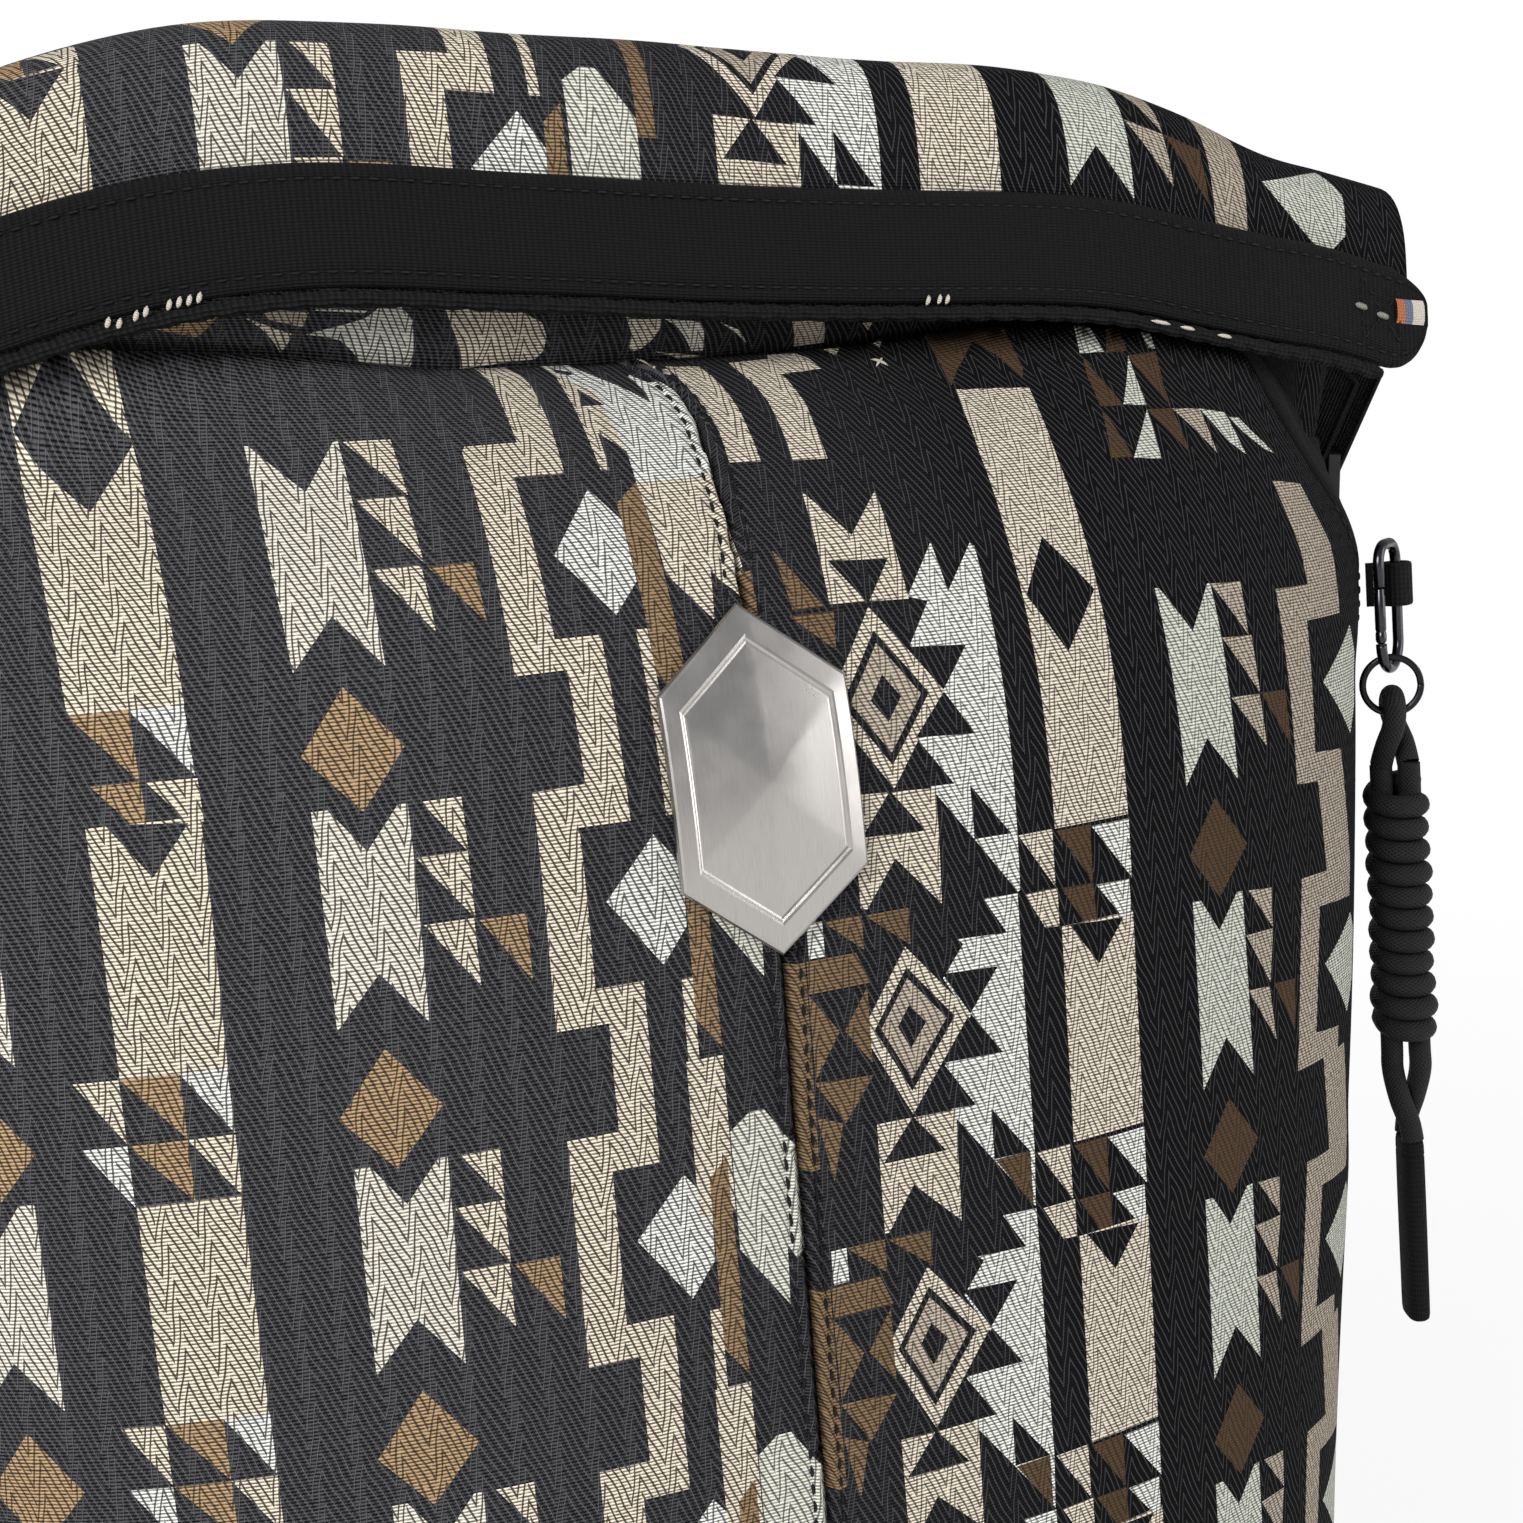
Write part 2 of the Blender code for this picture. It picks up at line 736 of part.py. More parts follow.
def lip_band():
    """The stiff band along the roll's front, with rounded ends."""
    sections = []
    for x in lip_xs():
        share = abs(x) / (ROLL_HALF_LENGTH + LIP_OVERHANG)
        round_end = sqrt(clamp((1 - share) / 0.05))
        reach = LIP_HEIGHT / 2 * (0.35 + 0.65 * round_end)
        middle = lip_edge(x) + LIP_HEIGHT / 2
        near = lip_back(x)
        far = near - LIP_THICKNESS
        sections.append(
            [
                Vector((x, near, middle - reach)),
                Vector((x, near, middle + reach)),
                Vector((x, (near + far) / 2, middle + reach)),
                Vector((x, far, middle + reach * 0.8)),
                Vector((x, far, middle - reach)),
            ]
        )
    return piece("lip_band", loft(sections), WEBBING)


def lip_binding():
    """The corded edge under the band."""
    path = []
    for x in lip_xs()[3:-3]:
        path.append(Vector((x, lip_back(x) - LIP_THICKNESS / 2, lip_edge(x) - GAP - LIP_BINDING_RADIUS)))
    return piece("lip_binding", tube(path, LIP_BINDING_RADIUS, 6, Vector((0, 1, 0))), WEBBING)


def neck_collar():
    """The gathered neck between the body's mouth and the roll."""
    outer = []
    inner = []
    count = 48
    for row in range(4):
        outer_row = []
        inner_row = []
        for i in range(count):
            angle = 360 * i / count
            mouth = mouth_z(angle)
            low = skin(angle, mouth)
            normal = skin_normal(angle, mouth)
            flat = Vector((normal.x, normal.y, 0.0)).normalized()
            corner = sin(radians(2 * angle)) ** 2
            low = low - flat * (COLLAR_INSET + COLLAR_CORNER_INSET * corner)
            share = clamp(abs(low.x) / TOP_HALF_WIDTH)
            half = COLLAR_TOP_HALF_DEPTH * (1 - share**6) + 0.002
            high_y = COLLAR_TOP_Y + copysign(half, -sin(radians(angle)))
            high_z = roll_underside(low.x) - GAP
            top = Vector((low.x * 0.985, high_y, high_z))
            if row == 0:
                point = low - Vector((0, 0, COLLAR_TUCK))
            elif row == 3:
                point = top
            else:
                mix = (0.35, 0.75)[row - 1]
                point = low.lerp(top, mix)
                fold = COLLAR_FOLD * sin(radians(angle) * COLLAR_FOLDS * 2 + row)
                fullness = abs(sin(radians(angle)))
                point += flat * (COLLAR_BULGE + fold) * fullness * (1, 0.8)[row - 1]
            outer_row.append(point)
            inner_row.append(point - flat * COLLAR_THICKNESS)
        outer.append(outer_row)
        inner.append(inner_row)
    return piece("neck_collar", grid_shell(outer, inner, closed=True), WOVEN)


# The badge


def badge_outline():
    """A long six-sided plate, pointed at top and bottom."""
    shoulder = BADGE_HALF_HEIGHT * 0.55
    return [
        (0.0, -BADGE_HALF_HEIGHT),
        (BADGE_HALF_WIDTH, -shoulder),
        (BADGE_HALF_WIDTH, 0.0),
        (BADGE_HALF_WIDTH, shoulder),
        (0.0, BADGE_HALF_HEIGHT),
        (-BADGE_HALF_WIDTH, shoulder),
        (-BADGE_HALF_WIDTH, 0.0),
        (-BADGE_HALF_WIDTH, -shoulder),
    ]


def badge_ring(scale, out):
    """The badge's outline on the cloth, made smaller by a scale and lifted off it."""
    return [front_point(x * scale, BADGE_Z + z * scale, out) for x, z in badge_outline()]


def badge_plate():
    """A plain bevelled plate that follows the cloth over the centre seam."""
    rest = SEAM_LIP + CLOTH_GAP
    levels = (
        (0.30, rest),
        (0.80, rest),
        (1.00, rest),
        (1.00, rest + BADGE_RIM),
        (0.80, rest + BADGE_RIM + 0.4 * BADGE_CROWN),
        (0.72, rest + BADGE_RIM),
        (0.30, rest + BADGE_RIM + BADGE_CROWN),
    )
    mesh = loft([badge_ring(scale, out) for scale, out in levels])
    return piece("badge_plate", mesh, NICKEL, smooth=False)


def badge_backing():
    """The spread plate that holds the badge from inside, behind the panels."""
    near = -SEAM_DITCH - CLOTH_THICKNESS - CLOTH_GAP
    mesh = loft([badge_ring(0.6, near), badge_ring(0.6, near - BACKING_THICKNESS)])
    return piece("badge_backing", mesh, BOARD, smooth=False)


# Buckles and webbing, each in a frame of its own: across, along the pull, and out of the face


def placer(origin, across, along, out):
    """A function that turns (across, along, out) into the bag's frame."""

    def place(a, b, c):
        return origin + across * a + along * b + out * c

    return place


LOOP_OFFSET = MALE_THICKNESS / 2 + 0.00035 + WEB_THICKNESS / 2


def buckle_male(name, place, origin):
    """A tongue plate: a bar and a long slot for the webbing, two side prongs and a guide between them."""
    half = BUCKLE_WIDTH / 2
    low = GAP + 0.0001
    prong_out = half - 0.0024
    prong_in = prong_out - 0.0030
    outer = [
        (-half, low),
        (-prong_out, low),
        (-prong_out, -PRONG_LENGTH * 0.75),
        (-prong_in - 0.0010, -PRONG_LENGTH),
        (-prong_in, -PRONG_LENGTH),
        (-prong_in, low),
        (-0.0018, low),
        (-0.0014, -PRONG_LENGTH * 0.8),
        (0.0014, -PRONG_LENGTH * 0.8),
        (0.0018, low),
        (prong_in, low),
        (prong_in, -PRONG_LENGTH),
        (prong_in + 0.0010, -PRONG_LENGTH),
        (prong_out, -PRONG_LENGTH * 0.75),
        (prong_out, low),
        (half, low),
        (half, MALE_BODY - 0.002),
        (half - 0.002, MALE_BODY),
        (-half + 0.002, MALE_BODY),
        (-half, MALE_BODY - 0.002),
    ]
    reach = WEB_WIDTH / 2 + GAP
    slot = rectangle(-reach, MALE_SHOULDER, reach, MALE_BODY - MALE_BAR)
    mesh = prism([outer, slot], -MALE_THICKNESS / 2, MALE_THICKNESS / 2, place)
    return piece(name, mesh, PLASTIC, origin, smooth=False)


def buckle_female(name, place, origin=(0.0, 0.0, 0.0)):
    """A socket with an open mouth, side windows and a bar for the webbing."""
    half = BUCKLE_WIDTH / 2
    thick = BUCKLE_THICKNESS / 2
    reach = WEB_WIDTH / 2 + GAP
    outer = [
        (-half, 0.0),
        (-half, -FEMALE_LENGTH + 0.003),
        (-half + 0.002, -FEMALE_LENGTH),
        (half - 0.002, -FEMALE_LENGTH),
        (half, -FEMALE_LENGTH + 0.003),
        (half, 0.0),
    ]
    slot = rectangle(-reach, -FEMALE_LENGTH + FEMALE_BAR, reach, -FEMALE_LENGTH + FEMALE_TAIL - 0.0008)
    body = piece(name, prism([outer, slot], -thick, thick, place), PLASTIC, origin, smooth=False)
    room = half - 0.0018
    past = half + 0.001
    window_low = -PRONG_LENGTH + 0.001
    window_high = -PRONG_LENGTH + 0.006
    right = [
        (room, -PRONG_LENGTH - 0.0015),
        (room, window_low - GAP),
        (past, window_low),
        (past, window_high),
        (room, window_high + GAP),
        (room, 0.001),
    ]
    hollow = MALE_THICKNESS / 2 + BUCKLE_PLAY
    space = prism([right + [(-a, b) for a, b in right[::-1]]], -hollow, hollow, place)
    step = rectangle(-past, -FEMALE_LENGTH - 0.001, past, -FEMALE_LENGTH + FEMALE_TAIL)
    prism([step], MALE_THICKNESS / 2, thick + 0.001, place, space)
    prism([step], -thick - 0.001, -MALE_THICKNESS / 2, place, space)
    cut(body, space, name + "_space")
    return body


def loop_path(place, bar, towards, length, tail, drift=0.0):
    """A strap that comes from far off, turns round a bar and goes back: points in the buckle's frame."""
    path = [place(-drift, bar + towards * length, LOOP_OFFSET)]
    path.append(place(-drift * 0.5, bar + towards * length * 0.5, LOOP_OFFSET))
    path.append(place(0.0, bar + towards * 0.001, LOOP_OFFSET))
    for i in range(1, 6):
        turn = pi * i / 6
        path.append(place(0.0, bar - towards * LOOP_OFFSET * 0.62 * sin(turn), LOOP_OFFSET * cos(turn)))
    path.append(place(0.0, bar + towards * 0.001, -LOOP_OFFSET))
    path.append(place(-drift * tail / length, bar + towards * tail, -LOOP_OFFSET))
    return path


# Side straps


def side_slope():
    return Vector(((TOP_HALF_WIDTH - BASE_HALF_WIDTH) / DOME_TOP_Z, 0.0, 1.0)).normalized()


def side_frame(side):
    """The side buckle's frame, lying along the leaning side of the bag."""
    up = side_slope()
    along = Vector((side * up.x, 0.0, up.z))
    out = Vector((side * up.z, 0.0, -up.x))
    across = Vector((0.0, 1.0, 0.0))
    reach = half_width(SIDE_BUCKLE_MOUTH_Z) + BUCKLE_THICKNESS / 2 + 2 * GAP
    origin = Vector((side * reach, SIDE_BUCKLE_Y, SIDE_BUCKLE_MOUTH_Z))
    return origin, placer(origin, across, along, out)


def roll_tab(name, side):
    """The strap from the roll's end, looped through the tongue's slot."""
    origin, place = side_frame(side)
    bar = MALE_BODY - MALE_BAR
    top = roll_underside(side * (abs(origin.x) + 0.004)) - 4 * GAP
    length = top - (SIDE_BUCKLE_MOUTH_Z + bar)
    path = loop_path(place, bar, 1, length, length * 0.9, ROLL_TAB_DRIFT)
    return piece(name, ribbon(path, Vector((0, 1, 0)), WEB_WIDTH, WEB_THICKNESS), WEBBING)


def side_strap(name, side):
    """The strap from the socket down to the base seam."""
    origin, place = side_frame(side)
    bar = -FEMALE_LENGTH + FEMALE_BAR
    length = SIDE_BUCKLE_MOUTH_Z + bar - SIDE_STRAP_FOOT_Z
    inner = loop_path(place, bar, -1, 0.030, length)
    return piece(name, ribbon(inner, Vector((0, 1, 0)), WEB_WIDTH, WEB_THICKNESS), WEBBING)


# Clip, rings and lanyard

CLIP_SIDE = Vector((CLIP_TURN[0], CLIP_TURN[1], 0.0)).normalized()
SPLIT_SIDE = Vector((SPLIT_TURN[0], SPLIT_TURN[1], 0.0)).normalized()
SPLIT_FACE = Vector((SPLIT_SIDE.y, -SPLIT_SIDE.x, 0.0))
TAB_MIDDLE_Z = (TAB_LOW_Z + TAB_HIGH_Z) / 2
TAB_ROOT = skin(SIDE_SEAM_ANGLE, TAB_MIDDLE_Z)
CLIP_PIVOT = Vector((TAB_ROOT.x + CLIP_OUT, TAB_ROOT.y - CLIP_FORWARD, TAB_HIGH_Z + CLIP_ABOVE_TAB))
CLIP_LOW = CLIP_PIVOT + CLIP_SIDE * CLIP_WIDTH / 2 - Vector((0, 0, CLIP_HEIGHT))
SPLIT_CENTRE = CLIP_LOW + Vector((0, 0, CLIP_WIRE + SPLIT_WIRE + GAP - SPLIT_RADIUS))
SPLIT_LOW = SPLIT_CENTRE - Vector((0, 0, SPLIT_RADIUS))
GATE_PIVOT = CLIP_PIVOT + CLIP_SIDE * CLIP_WIDTH - Vector((0, 0, CLIP_HEIGHT - CLIP_WIDTH / 2 - 0.0011))
ROUND_SIDES = 8


def clip_tab():
    """The ribbon loop in the side seam, with its eye standing upright."""
    eye = CLIP_PIVOT
    reach = Vector((eye.x - TAB_ROOT.x, eye.y - TAB_ROOT.y, 0.0))
    along = reach.normalized()
    across = Vector((-along.y, along.x, 0.0))
    rim = TAB_BORE_RADIUS + TAB_THICKNESS
    start = 2 * TAB_THICKNESS + GAP
    outer = [(start - reach.length, -TAB_THICKNESS), (-rim * 0.6, -rim * 0.8)]
    outer += [(rim * cos(radians(a)), rim * sin(radians(a))) for a in range(-90, 91, 30)]
    outer += [(-rim * 0.6, rim * 0.8), (start - reach.length, TAB_THICKNESS)]
    place = placer(Vector((eye.x, eye.y, 0.0)), along, across, Vector((0, 0, 1)))
    mesh = prism([outer, circle(TAB_BORE_RADIUS, 12)], TAB_LOW_Z, TAB_HIGH_Z, place)
    return piece("clip_tab", mesh, WEBBING)


def clip_arc(centre, radius, start, end, steps):
    """Points of an arc in the clip's plane, at angles from its outward side."""
    points = []
    for i in range(steps + 1):
        angle = radians(start + (end - start) * i / steps)
        points.append(centre + CLIP_SIDE * radius * cos(angle) + Vector((0, 0, radius * sin(angle))))
    return points


def clip_ring():
    """The oval wire, open where its gate closes it."""
    far = CLIP_PIVOT + CLIP_SIDE * CLIP_WIDTH
    corner = Vector((0, 0, CLIP_CORNER))
    bottom = CLIP_LOW + Vector((0, 0, CLIP_WIDTH / 2))
    gate_top = GATE_PIVOT + Vector((0, 0, GATE_LENGTH + GAP))
    path = [gate_top]
    path += clip_arc(far - corner - CLIP_SIDE * CLIP_CORNER, CLIP_CORNER, 0, 90, 4)
    path += clip_arc(CLIP_PIVOT - corner + CLIP_SIDE * CLIP_CORNER, CLIP_CORNER, 90, 180, 4)
    path += clip_arc(bottom, CLIP_WIDTH / 2, 180, 360, 10)
    path.append(GATE_PIVOT - Vector((0, 0, CLIP_WIRE + GAP)))
    mesh = tube(path, CLIP_WIRE, ROUND_SIDES, CLIP_SIDE.cross(Vector((0, 0, 1))))
    return piece("clip_ring", mesh, GUNMETAL, CLIP_PIVOT)


def clip_gate():
    """The gate: a short rod whose rounded foot turns in the ring's end."""
    sections = []
    across = CLIP_SIDE.cross(Vector((0, 0, 1)))
    profile = [(CLIP_WIRE * sin(radians(a)), -CLIP_WIRE * cos(radians(a))) for a in (20, 45, 70, 90)]
    profile += [(CLIP_WIRE, GATE_LENGTH * 0.5), (CLIP_WIRE, GATE_LENGTH)]
    for radius, height in profile:
        centre = GATE_PIVOT + Vector((0, 0, height))
        sections.append([centre + CLIP_SIDE * a + across * b for a, b in circle(radius, ROUND_SIDES)])
    return piece("clip_gate", loft(sections), GUNMETAL, GATE_PIVOT)


def split_ring():
    """The round ring that hangs on the clip."""
    sections = []
    for i in range(28):
        angle = 2 * pi * i / 28
        out = SPLIT_SIDE * cos(angle) + Vector((0, 0, sin(angle)))
        centre = SPLIT_CENTRE + out * SPLIT_RADIUS
        sections.append([centre + out * a + SPLIT_FACE * b for a, b in circle(SPLIT_WIRE, 6)])
    return piece("split_ring", ring_loft(sections), BLACK_STEEL, CLIP_LOW)


# The cord's route over the ring and into the knot, relative to the ring's lowest point: x, y, z
LOOP_ROUTE = (
    (-0.0026, 0.0012, -0.0126),
    (-0.0026, 0.0010, -0.0105),
    (-0.0027, -0.0010, -0.0065),
    (-0.0022, -0.0026, -0.0030),
    (-0.0018, -0.0030, 0.0000),
    (-0.0012, -0.0022, 0.0024),
    (0.0000, 0.0000, 0.0036),
    (0.0012, 0.0022, 0.0024),
    (0.0018, 0.0030, 0.0000),
    (0.0024, 0.0024, -0.0030),
    (0.0029, 0.0008, -0.0065),
    (0.0026, -0.0010, -0.0105),
    (0.0026, -0.0012, -0.0126),
)
# The two tails' routes under the knot, relative to its foot's middle: x, y, z
TAIL_ROUTE = (
    (0.0026, -0.0012, -0.0003),
    (0.0026, -0.0012, -0.0060),
    (0.0027, 0.0010, -0.0120),
    (0.0016, 0.0023, -0.0170),
    (0.0011, 0.0026, -0.0208),
)


def cord_curve(name, points, origin):
    """A round cord as a curve with filled caps."""
    data = bpy.data.curves.new(name, "CURVE")
    data.dimensions = "3D"
    data.bevel_depth = CORD_RADIUS
    data.bevel_resolution = 2
    data.use_fill_caps = True
    spline = data.splines.new("POLY")
    spline.points.add(len(points) - 1)
    for spot, point in zip(spline.points, points):
        spot.co = (*(point - Vector(origin)), 1.0)
    thing = bpy.data.objects.new(name, data)
    data.materials.append(coat(name, CORD))
    bpy.context.scene.collection.objects.link(thing)
    thing.parent = bag
    thing.location = origin
    return thing


def lanyard_loop():
    return cord_curve("lanyard_loop", smooth_path([SPLIT_LOW + Vector(p) for p in LOOP_ROUTE], 2), SPLIT_LOW)


KNOT_LOW_Z = KNOT_TOP_Z - KNOT_TURNS * KNOT_PITCH


def lanyard_knot():
    """The wrapped cord of the knot, as one solid with a groove between each two turns."""
    profile = [(KNOT_TOP_Z, KNOT_RADIUS - 2 * KNOT_GROOVE)]
    for turn in range(KNOT_TURNS):
        top = KNOT_TOP_Z - turn * KNOT_PITCH
        profile.append((top - 0.28 * KNOT_PITCH, KNOT_RADIUS))
        profile.append((top - 0.72 * KNOT_PITCH, KNOT_RADIUS))
        profile.append((top - KNOT_PITCH, KNOT_RADIUS - KNOT_GROOVE))
    sections = []
    for z, radius in profile:
        centre = Vector((SPLIT_LOW.x, SPLIT_LOW.y, z))
        sections.append([centre + Vector((a, b, 0)) for a, b in circle(radius, 10)])
    return piece("lanyard_knot", loft(sections), CORD, SPLIT_LOW)


def lanyard_tail(name, side):
    foot = Vector((SPLIT_LOW.x, SPLIT_LOW.y, KNOT_LOW_Z))
    points = [foot + Vector((side * x, side * y, z)) for x, y, z in TAIL_ROUTE]
    return cord_curve(name, smooth_path(points, 2), SPLIT_LOW)


def lanyard_sleeve():
    """The flat sleeve that holds both tails."""
    along = Vector((0.38, 0.92, 0.0)).normalized()
    across = Vector((along.y, -along.x, 0.0))
    top = KNOT_LOW_Z + TAIL_ROUTE[-1][2] - GAP
    sections = []
    for share, size in ((0.0, 0.9), (0.03, 1.0), (0.5, 1.0), (0.97, 0.96), (1.0, 0.8)):
        centre = Vector((SPLIT_LOW.x, SPLIT_LOW.y, top - SLEEVE_LENGTH * share))
        sections.append(
            [
                centre + across * a * SLEEVE_HALF_WIDTH * size + along * b * SLEEVE_HALF_DEPTH * size
                for a, b in circle(1.0, 12)
            ]
        )
    return piece("lanyard_sleeve", loft(sections), CORD, SPLIT_LOW)


# Back pads, shoulder straps and handle


def back_pad(name, centre_x, centre_z, half_x, half_z):
    """A foam pad on the back panel, full in the middle and thin at its rounded edge."""
    steps = (-1.0, -0.9, -0.6, 0.0, 0.6, 0.9, 1.0)
    outer = []
    inner = []
    for v in steps:
        outer_row = []
        inner_row = []
        for u in steps:
            pull = 1 - 0.10 * (u * v) ** 4
            x = centre_x + u * half_x * pull
            z = centre_z + v * half_z * pull
            full = (1 - abs(u) ** 5) * (1 - abs(v) ** 5)
            outer_row.append(back_point(x, z, PAD_EDGE + (PAD_THICKNESS - PAD_EDGE) * full))
            inner_row.append(back_point(x, z, CLOTH_GAP))
        outer.append(outer_row)
        inner.append(inner_row)
    return piece(name, grid_shell(outer, inner, closed=False), PADDED)


def strap_route(side):
    """The shoulder strap's middle line, from its root at the top of the back to its lower end."""
    root = back_point(STRAP_ROOT_X, STRAP_ROOT_Z - STRAP_THICKNESS)
    start = root.y + CLOTH_GAP
    middle = (STRAP_RUN_HIGH_Z + STRAP_RUN_LOW_Z) / 2
    points = [
        (STRAP_ROOT_X, start, STRAP_ROOT_Z),
        (STRAP_ROOT_X + 0.001, start + 0.016, STRAP_ROOT_Z + 0.001),
        (STRAP_ROOT_X + 0.012, STRAP_RUN_Y - 0.012, STRAP_RUN_HIGH_Z + 0.018),
        (STRAP_RUN_X, STRAP_RUN_Y, STRAP_RUN_HIGH_Z),
        (STRAP_RUN_X, STRAP_RUN_Y, middle + STRAP_STRAIGHT),
        (STRAP_RUN_X, STRAP_RUN_Y, middle - STRAP_STRAIGHT),
        (STRAP_RUN_X, STRAP_RUN_Y, STRAP_RUN_LOW_Z),
        (STRAP_RUN_X + 0.007, STRAP_RUN_Y - 0.005, STRAP_RUN_LOW_Z - 0.040),
        (STRAP_END_X - 0.008, STRAP_END_Y + 0.010, STRAP_END_Z + 0.030),
        (STRAP_END_X, STRAP_END_Y, STRAP_END_Z),
    ]
    return smooth_path([(side * x, y, z) for x, y, z in points], 2)


def shoulder_strap(name, side):
    """A padded strap with rounded edges, narrower at its lower end."""
    path = strap_route(side)
    sections = []
    for i, (point, across, out) in enumerate(frames_along(path, Vector((1, 0, 0)))):
        share = i / (len(path) - 1)
        half = STRAP_TOP_HALF_WIDTH + (STRAP_END_HALF_WIDTH - STRAP_TOP_HALF_WIDTH) * share
        thick = STRAP_THICKNESS / 2 * (0.7 if i in (0, len(path) - 1) else 1.0)
        corners = [
            (-half, 0.0),
            (-half * 0.86, -thick),
            (half * 0.86, -thick),
            (half, 0.0),
            (half * 0.86, thick),
            (-half * 0.86, thick),
        ]
        sections.append([point + across * a + out * b for a, b in corners])
    return piece(name, loft(sections), PADDED)


def lock_frame(side):
    """The ladder lock's frame at the lower end of a shoulder strap."""
    path = strap_route(side)
    along = (path[-1] - path[-2]).normalized()
    across = Vector((1, 0, 0))
    across = (across - across.dot(along) * along).normalized()
    out = along.cross(across)
    if out.y < 0:
        out = -out
    origin = path[-1] + along * GAP
    return origin, placer(origin, across, along, out), across


def ladder_lock(name, side):
    """A plastic frame with two slots and a bar between them."""
    place = lock_frame(side)[1]
    half = LOCK_WIDTH / 2
    reach = WEB_WIDTH / 2 + GAP
    slot = (LOCK_HEIGHT - 3 * LOCK_BAR) / 2
    first = rectangle(-reach, LOCK_BAR, reach, LOCK_BAR + slot)
    second = rectangle(-reach, 2 * LOCK_BAR + slot, reach, 2 * LOCK_BAR + 2 * slot)
    outer = [
        (-half, 0.0),
        (half, 0.0),
        (half, LOCK_HEIGHT - 0.003),
        (half - 0.003, LOCK_HEIGHT),
        (-half + 0.003, LOCK_HEIGHT),
        (-half, LOCK_HEIGHT - 0.003),
    ]
    mesh = prism([outer, first, second], -LOCK_THICKNESS / 2, LOCK_THICKNESS / 2, place)
    return piece(name, mesh, PLASTIC, smooth=False)


def strap_webbing(name, side):
    """The strap from the base, up behind the lock, over its middle bar and down again."""
    origin, place, across = lock_frame(side)
    slot = (LOCK_HEIGHT - 3 * LOCK_BAR) / 2
    bar = 1.5 * LOCK_BAR + slot
    lift = LOCK_THICKNESS / 2 + GAP + WEB_THICKNESS / 2
    anchor = back_point(side * ANCHOR_X, ANCHOR_Z, 2 * WEB_THICKNESS + 2 * CLOTH_GAP)
    under = place(0.0, LOCK_HEIGHT + 0.004, -lift)
    knots = [
        anchor,
        anchor.lerp(under, 0.33) + Vector((0, 0.006, 0)),
        anchor.lerp(under, 0.66) + Vector((0, 0.006, 0)),
        under,
    ]
    path = smooth_path(knots, 2)
    half = LOCK_BAR / 2 + 2 * GAP + WEB_THICKNESS / 2
    path.append(place(0.0, bar - half + 0.0010, -lift))
    path.append(place(0.0, bar - half - 0.0002, -lift * 0.4))
    path.append(place(0.0, bar - half - 0.0002, lift * 0.4))
    path.append(place(0.0, bar - half + 0.0010, lift))
    path.append(place(0.0, LOCK_HEIGHT + 0.004, lift + 0.001))
    last = path[-1]
    path.append(last + Vector((side * 0.002, 0.002, -TAIL_DROP * 0.5)))
    path.append(last + Vector((side * 0.003, 0.002, -TAIL_DROP)))
    return piece(name, ribbon(path, across, WEB_WIDTH, WEB_THICKNESS), WEBBING)


def strap_anchor(name, side):
    """The folded tab at the base that holds the strap's webbing."""
    xs = [side * ANCHOR_X + f * WEB_WIDTH * 0.6 for f in (-1, -0.33, 0.33, 1)]
    zs = (ANCHOR_Z - 0.010, ANCHOR_Z + 0.004)
    outer = [[back_point(x, z, CLOTH_GAP + WEB_THICKNESS) for x in xs] for z in zs]
    inner = [[back_point(x, z, CLOTH_GAP) for x in xs] for z in zs]
    return piece(name, grid_shell(outer, inner, closed=False), WEBBING)


def grab_handle():
    """The carrying loop between the shoulder straps' roots."""
    near = back_point(HANDLE_HALF_SPAN, HANDLE_Z - HANDLE_WIDTH / 2).y + GAP
    knots = [
        (-HANDLE_HALF_SPAN, near, HANDLE_Z),
        (-HANDLE_HALF_SPAN * 0.90, near + 0.006, HANDLE_Z),
        (-HANDLE_HALF_SPAN * 0.62, near + HANDLE_REACH * 0.80, HANDLE_Z),
        (0.0, near + HANDLE_REACH, HANDLE_Z),
        (HANDLE_HALF_SPAN * 0.62, near + HANDLE_REACH * 0.80, HANDLE_Z),
        (HANDLE_HALF_SPAN * 0.90, near + 0.006, HANDLE_Z),
        (HANDLE_HALF_SPAN, near, HANDLE_Z),
    ]
    path = smooth_path(knots, 3)
    mesh = ribbon(path, Vector((0, 0, 1)), HANDLE_WIDTH, HANDLE_THICKNESS)
    return piece("grab_handle", mesh, WEBBING)


# Sternum strap


RAIL_BASE_Y = STRAP_RUN_Y + STRAP_THICKNESS / 2 + 2 * GAP
RAIL_HEAD_Y = RAIL_BASE_Y + 0.0008 + 0.0012 + RAIL_HEAD_RADIUS
SLIDER_BORE = RAIL_HEAD_RADIUS + SLIDER_PLAY
SLIDER_HALF = SLIDER_BORE + SLIDER_WALL
STERNUM_CENTRE = Vector((0.0, RAIL_HEAD_Y, STERNUM_Z))


def upright(x):
    """Turns (x, y, z) offsets into places around a vertical line at x."""

    def place(a, b, c):
        return Vector((x + a, b, c))

    return place


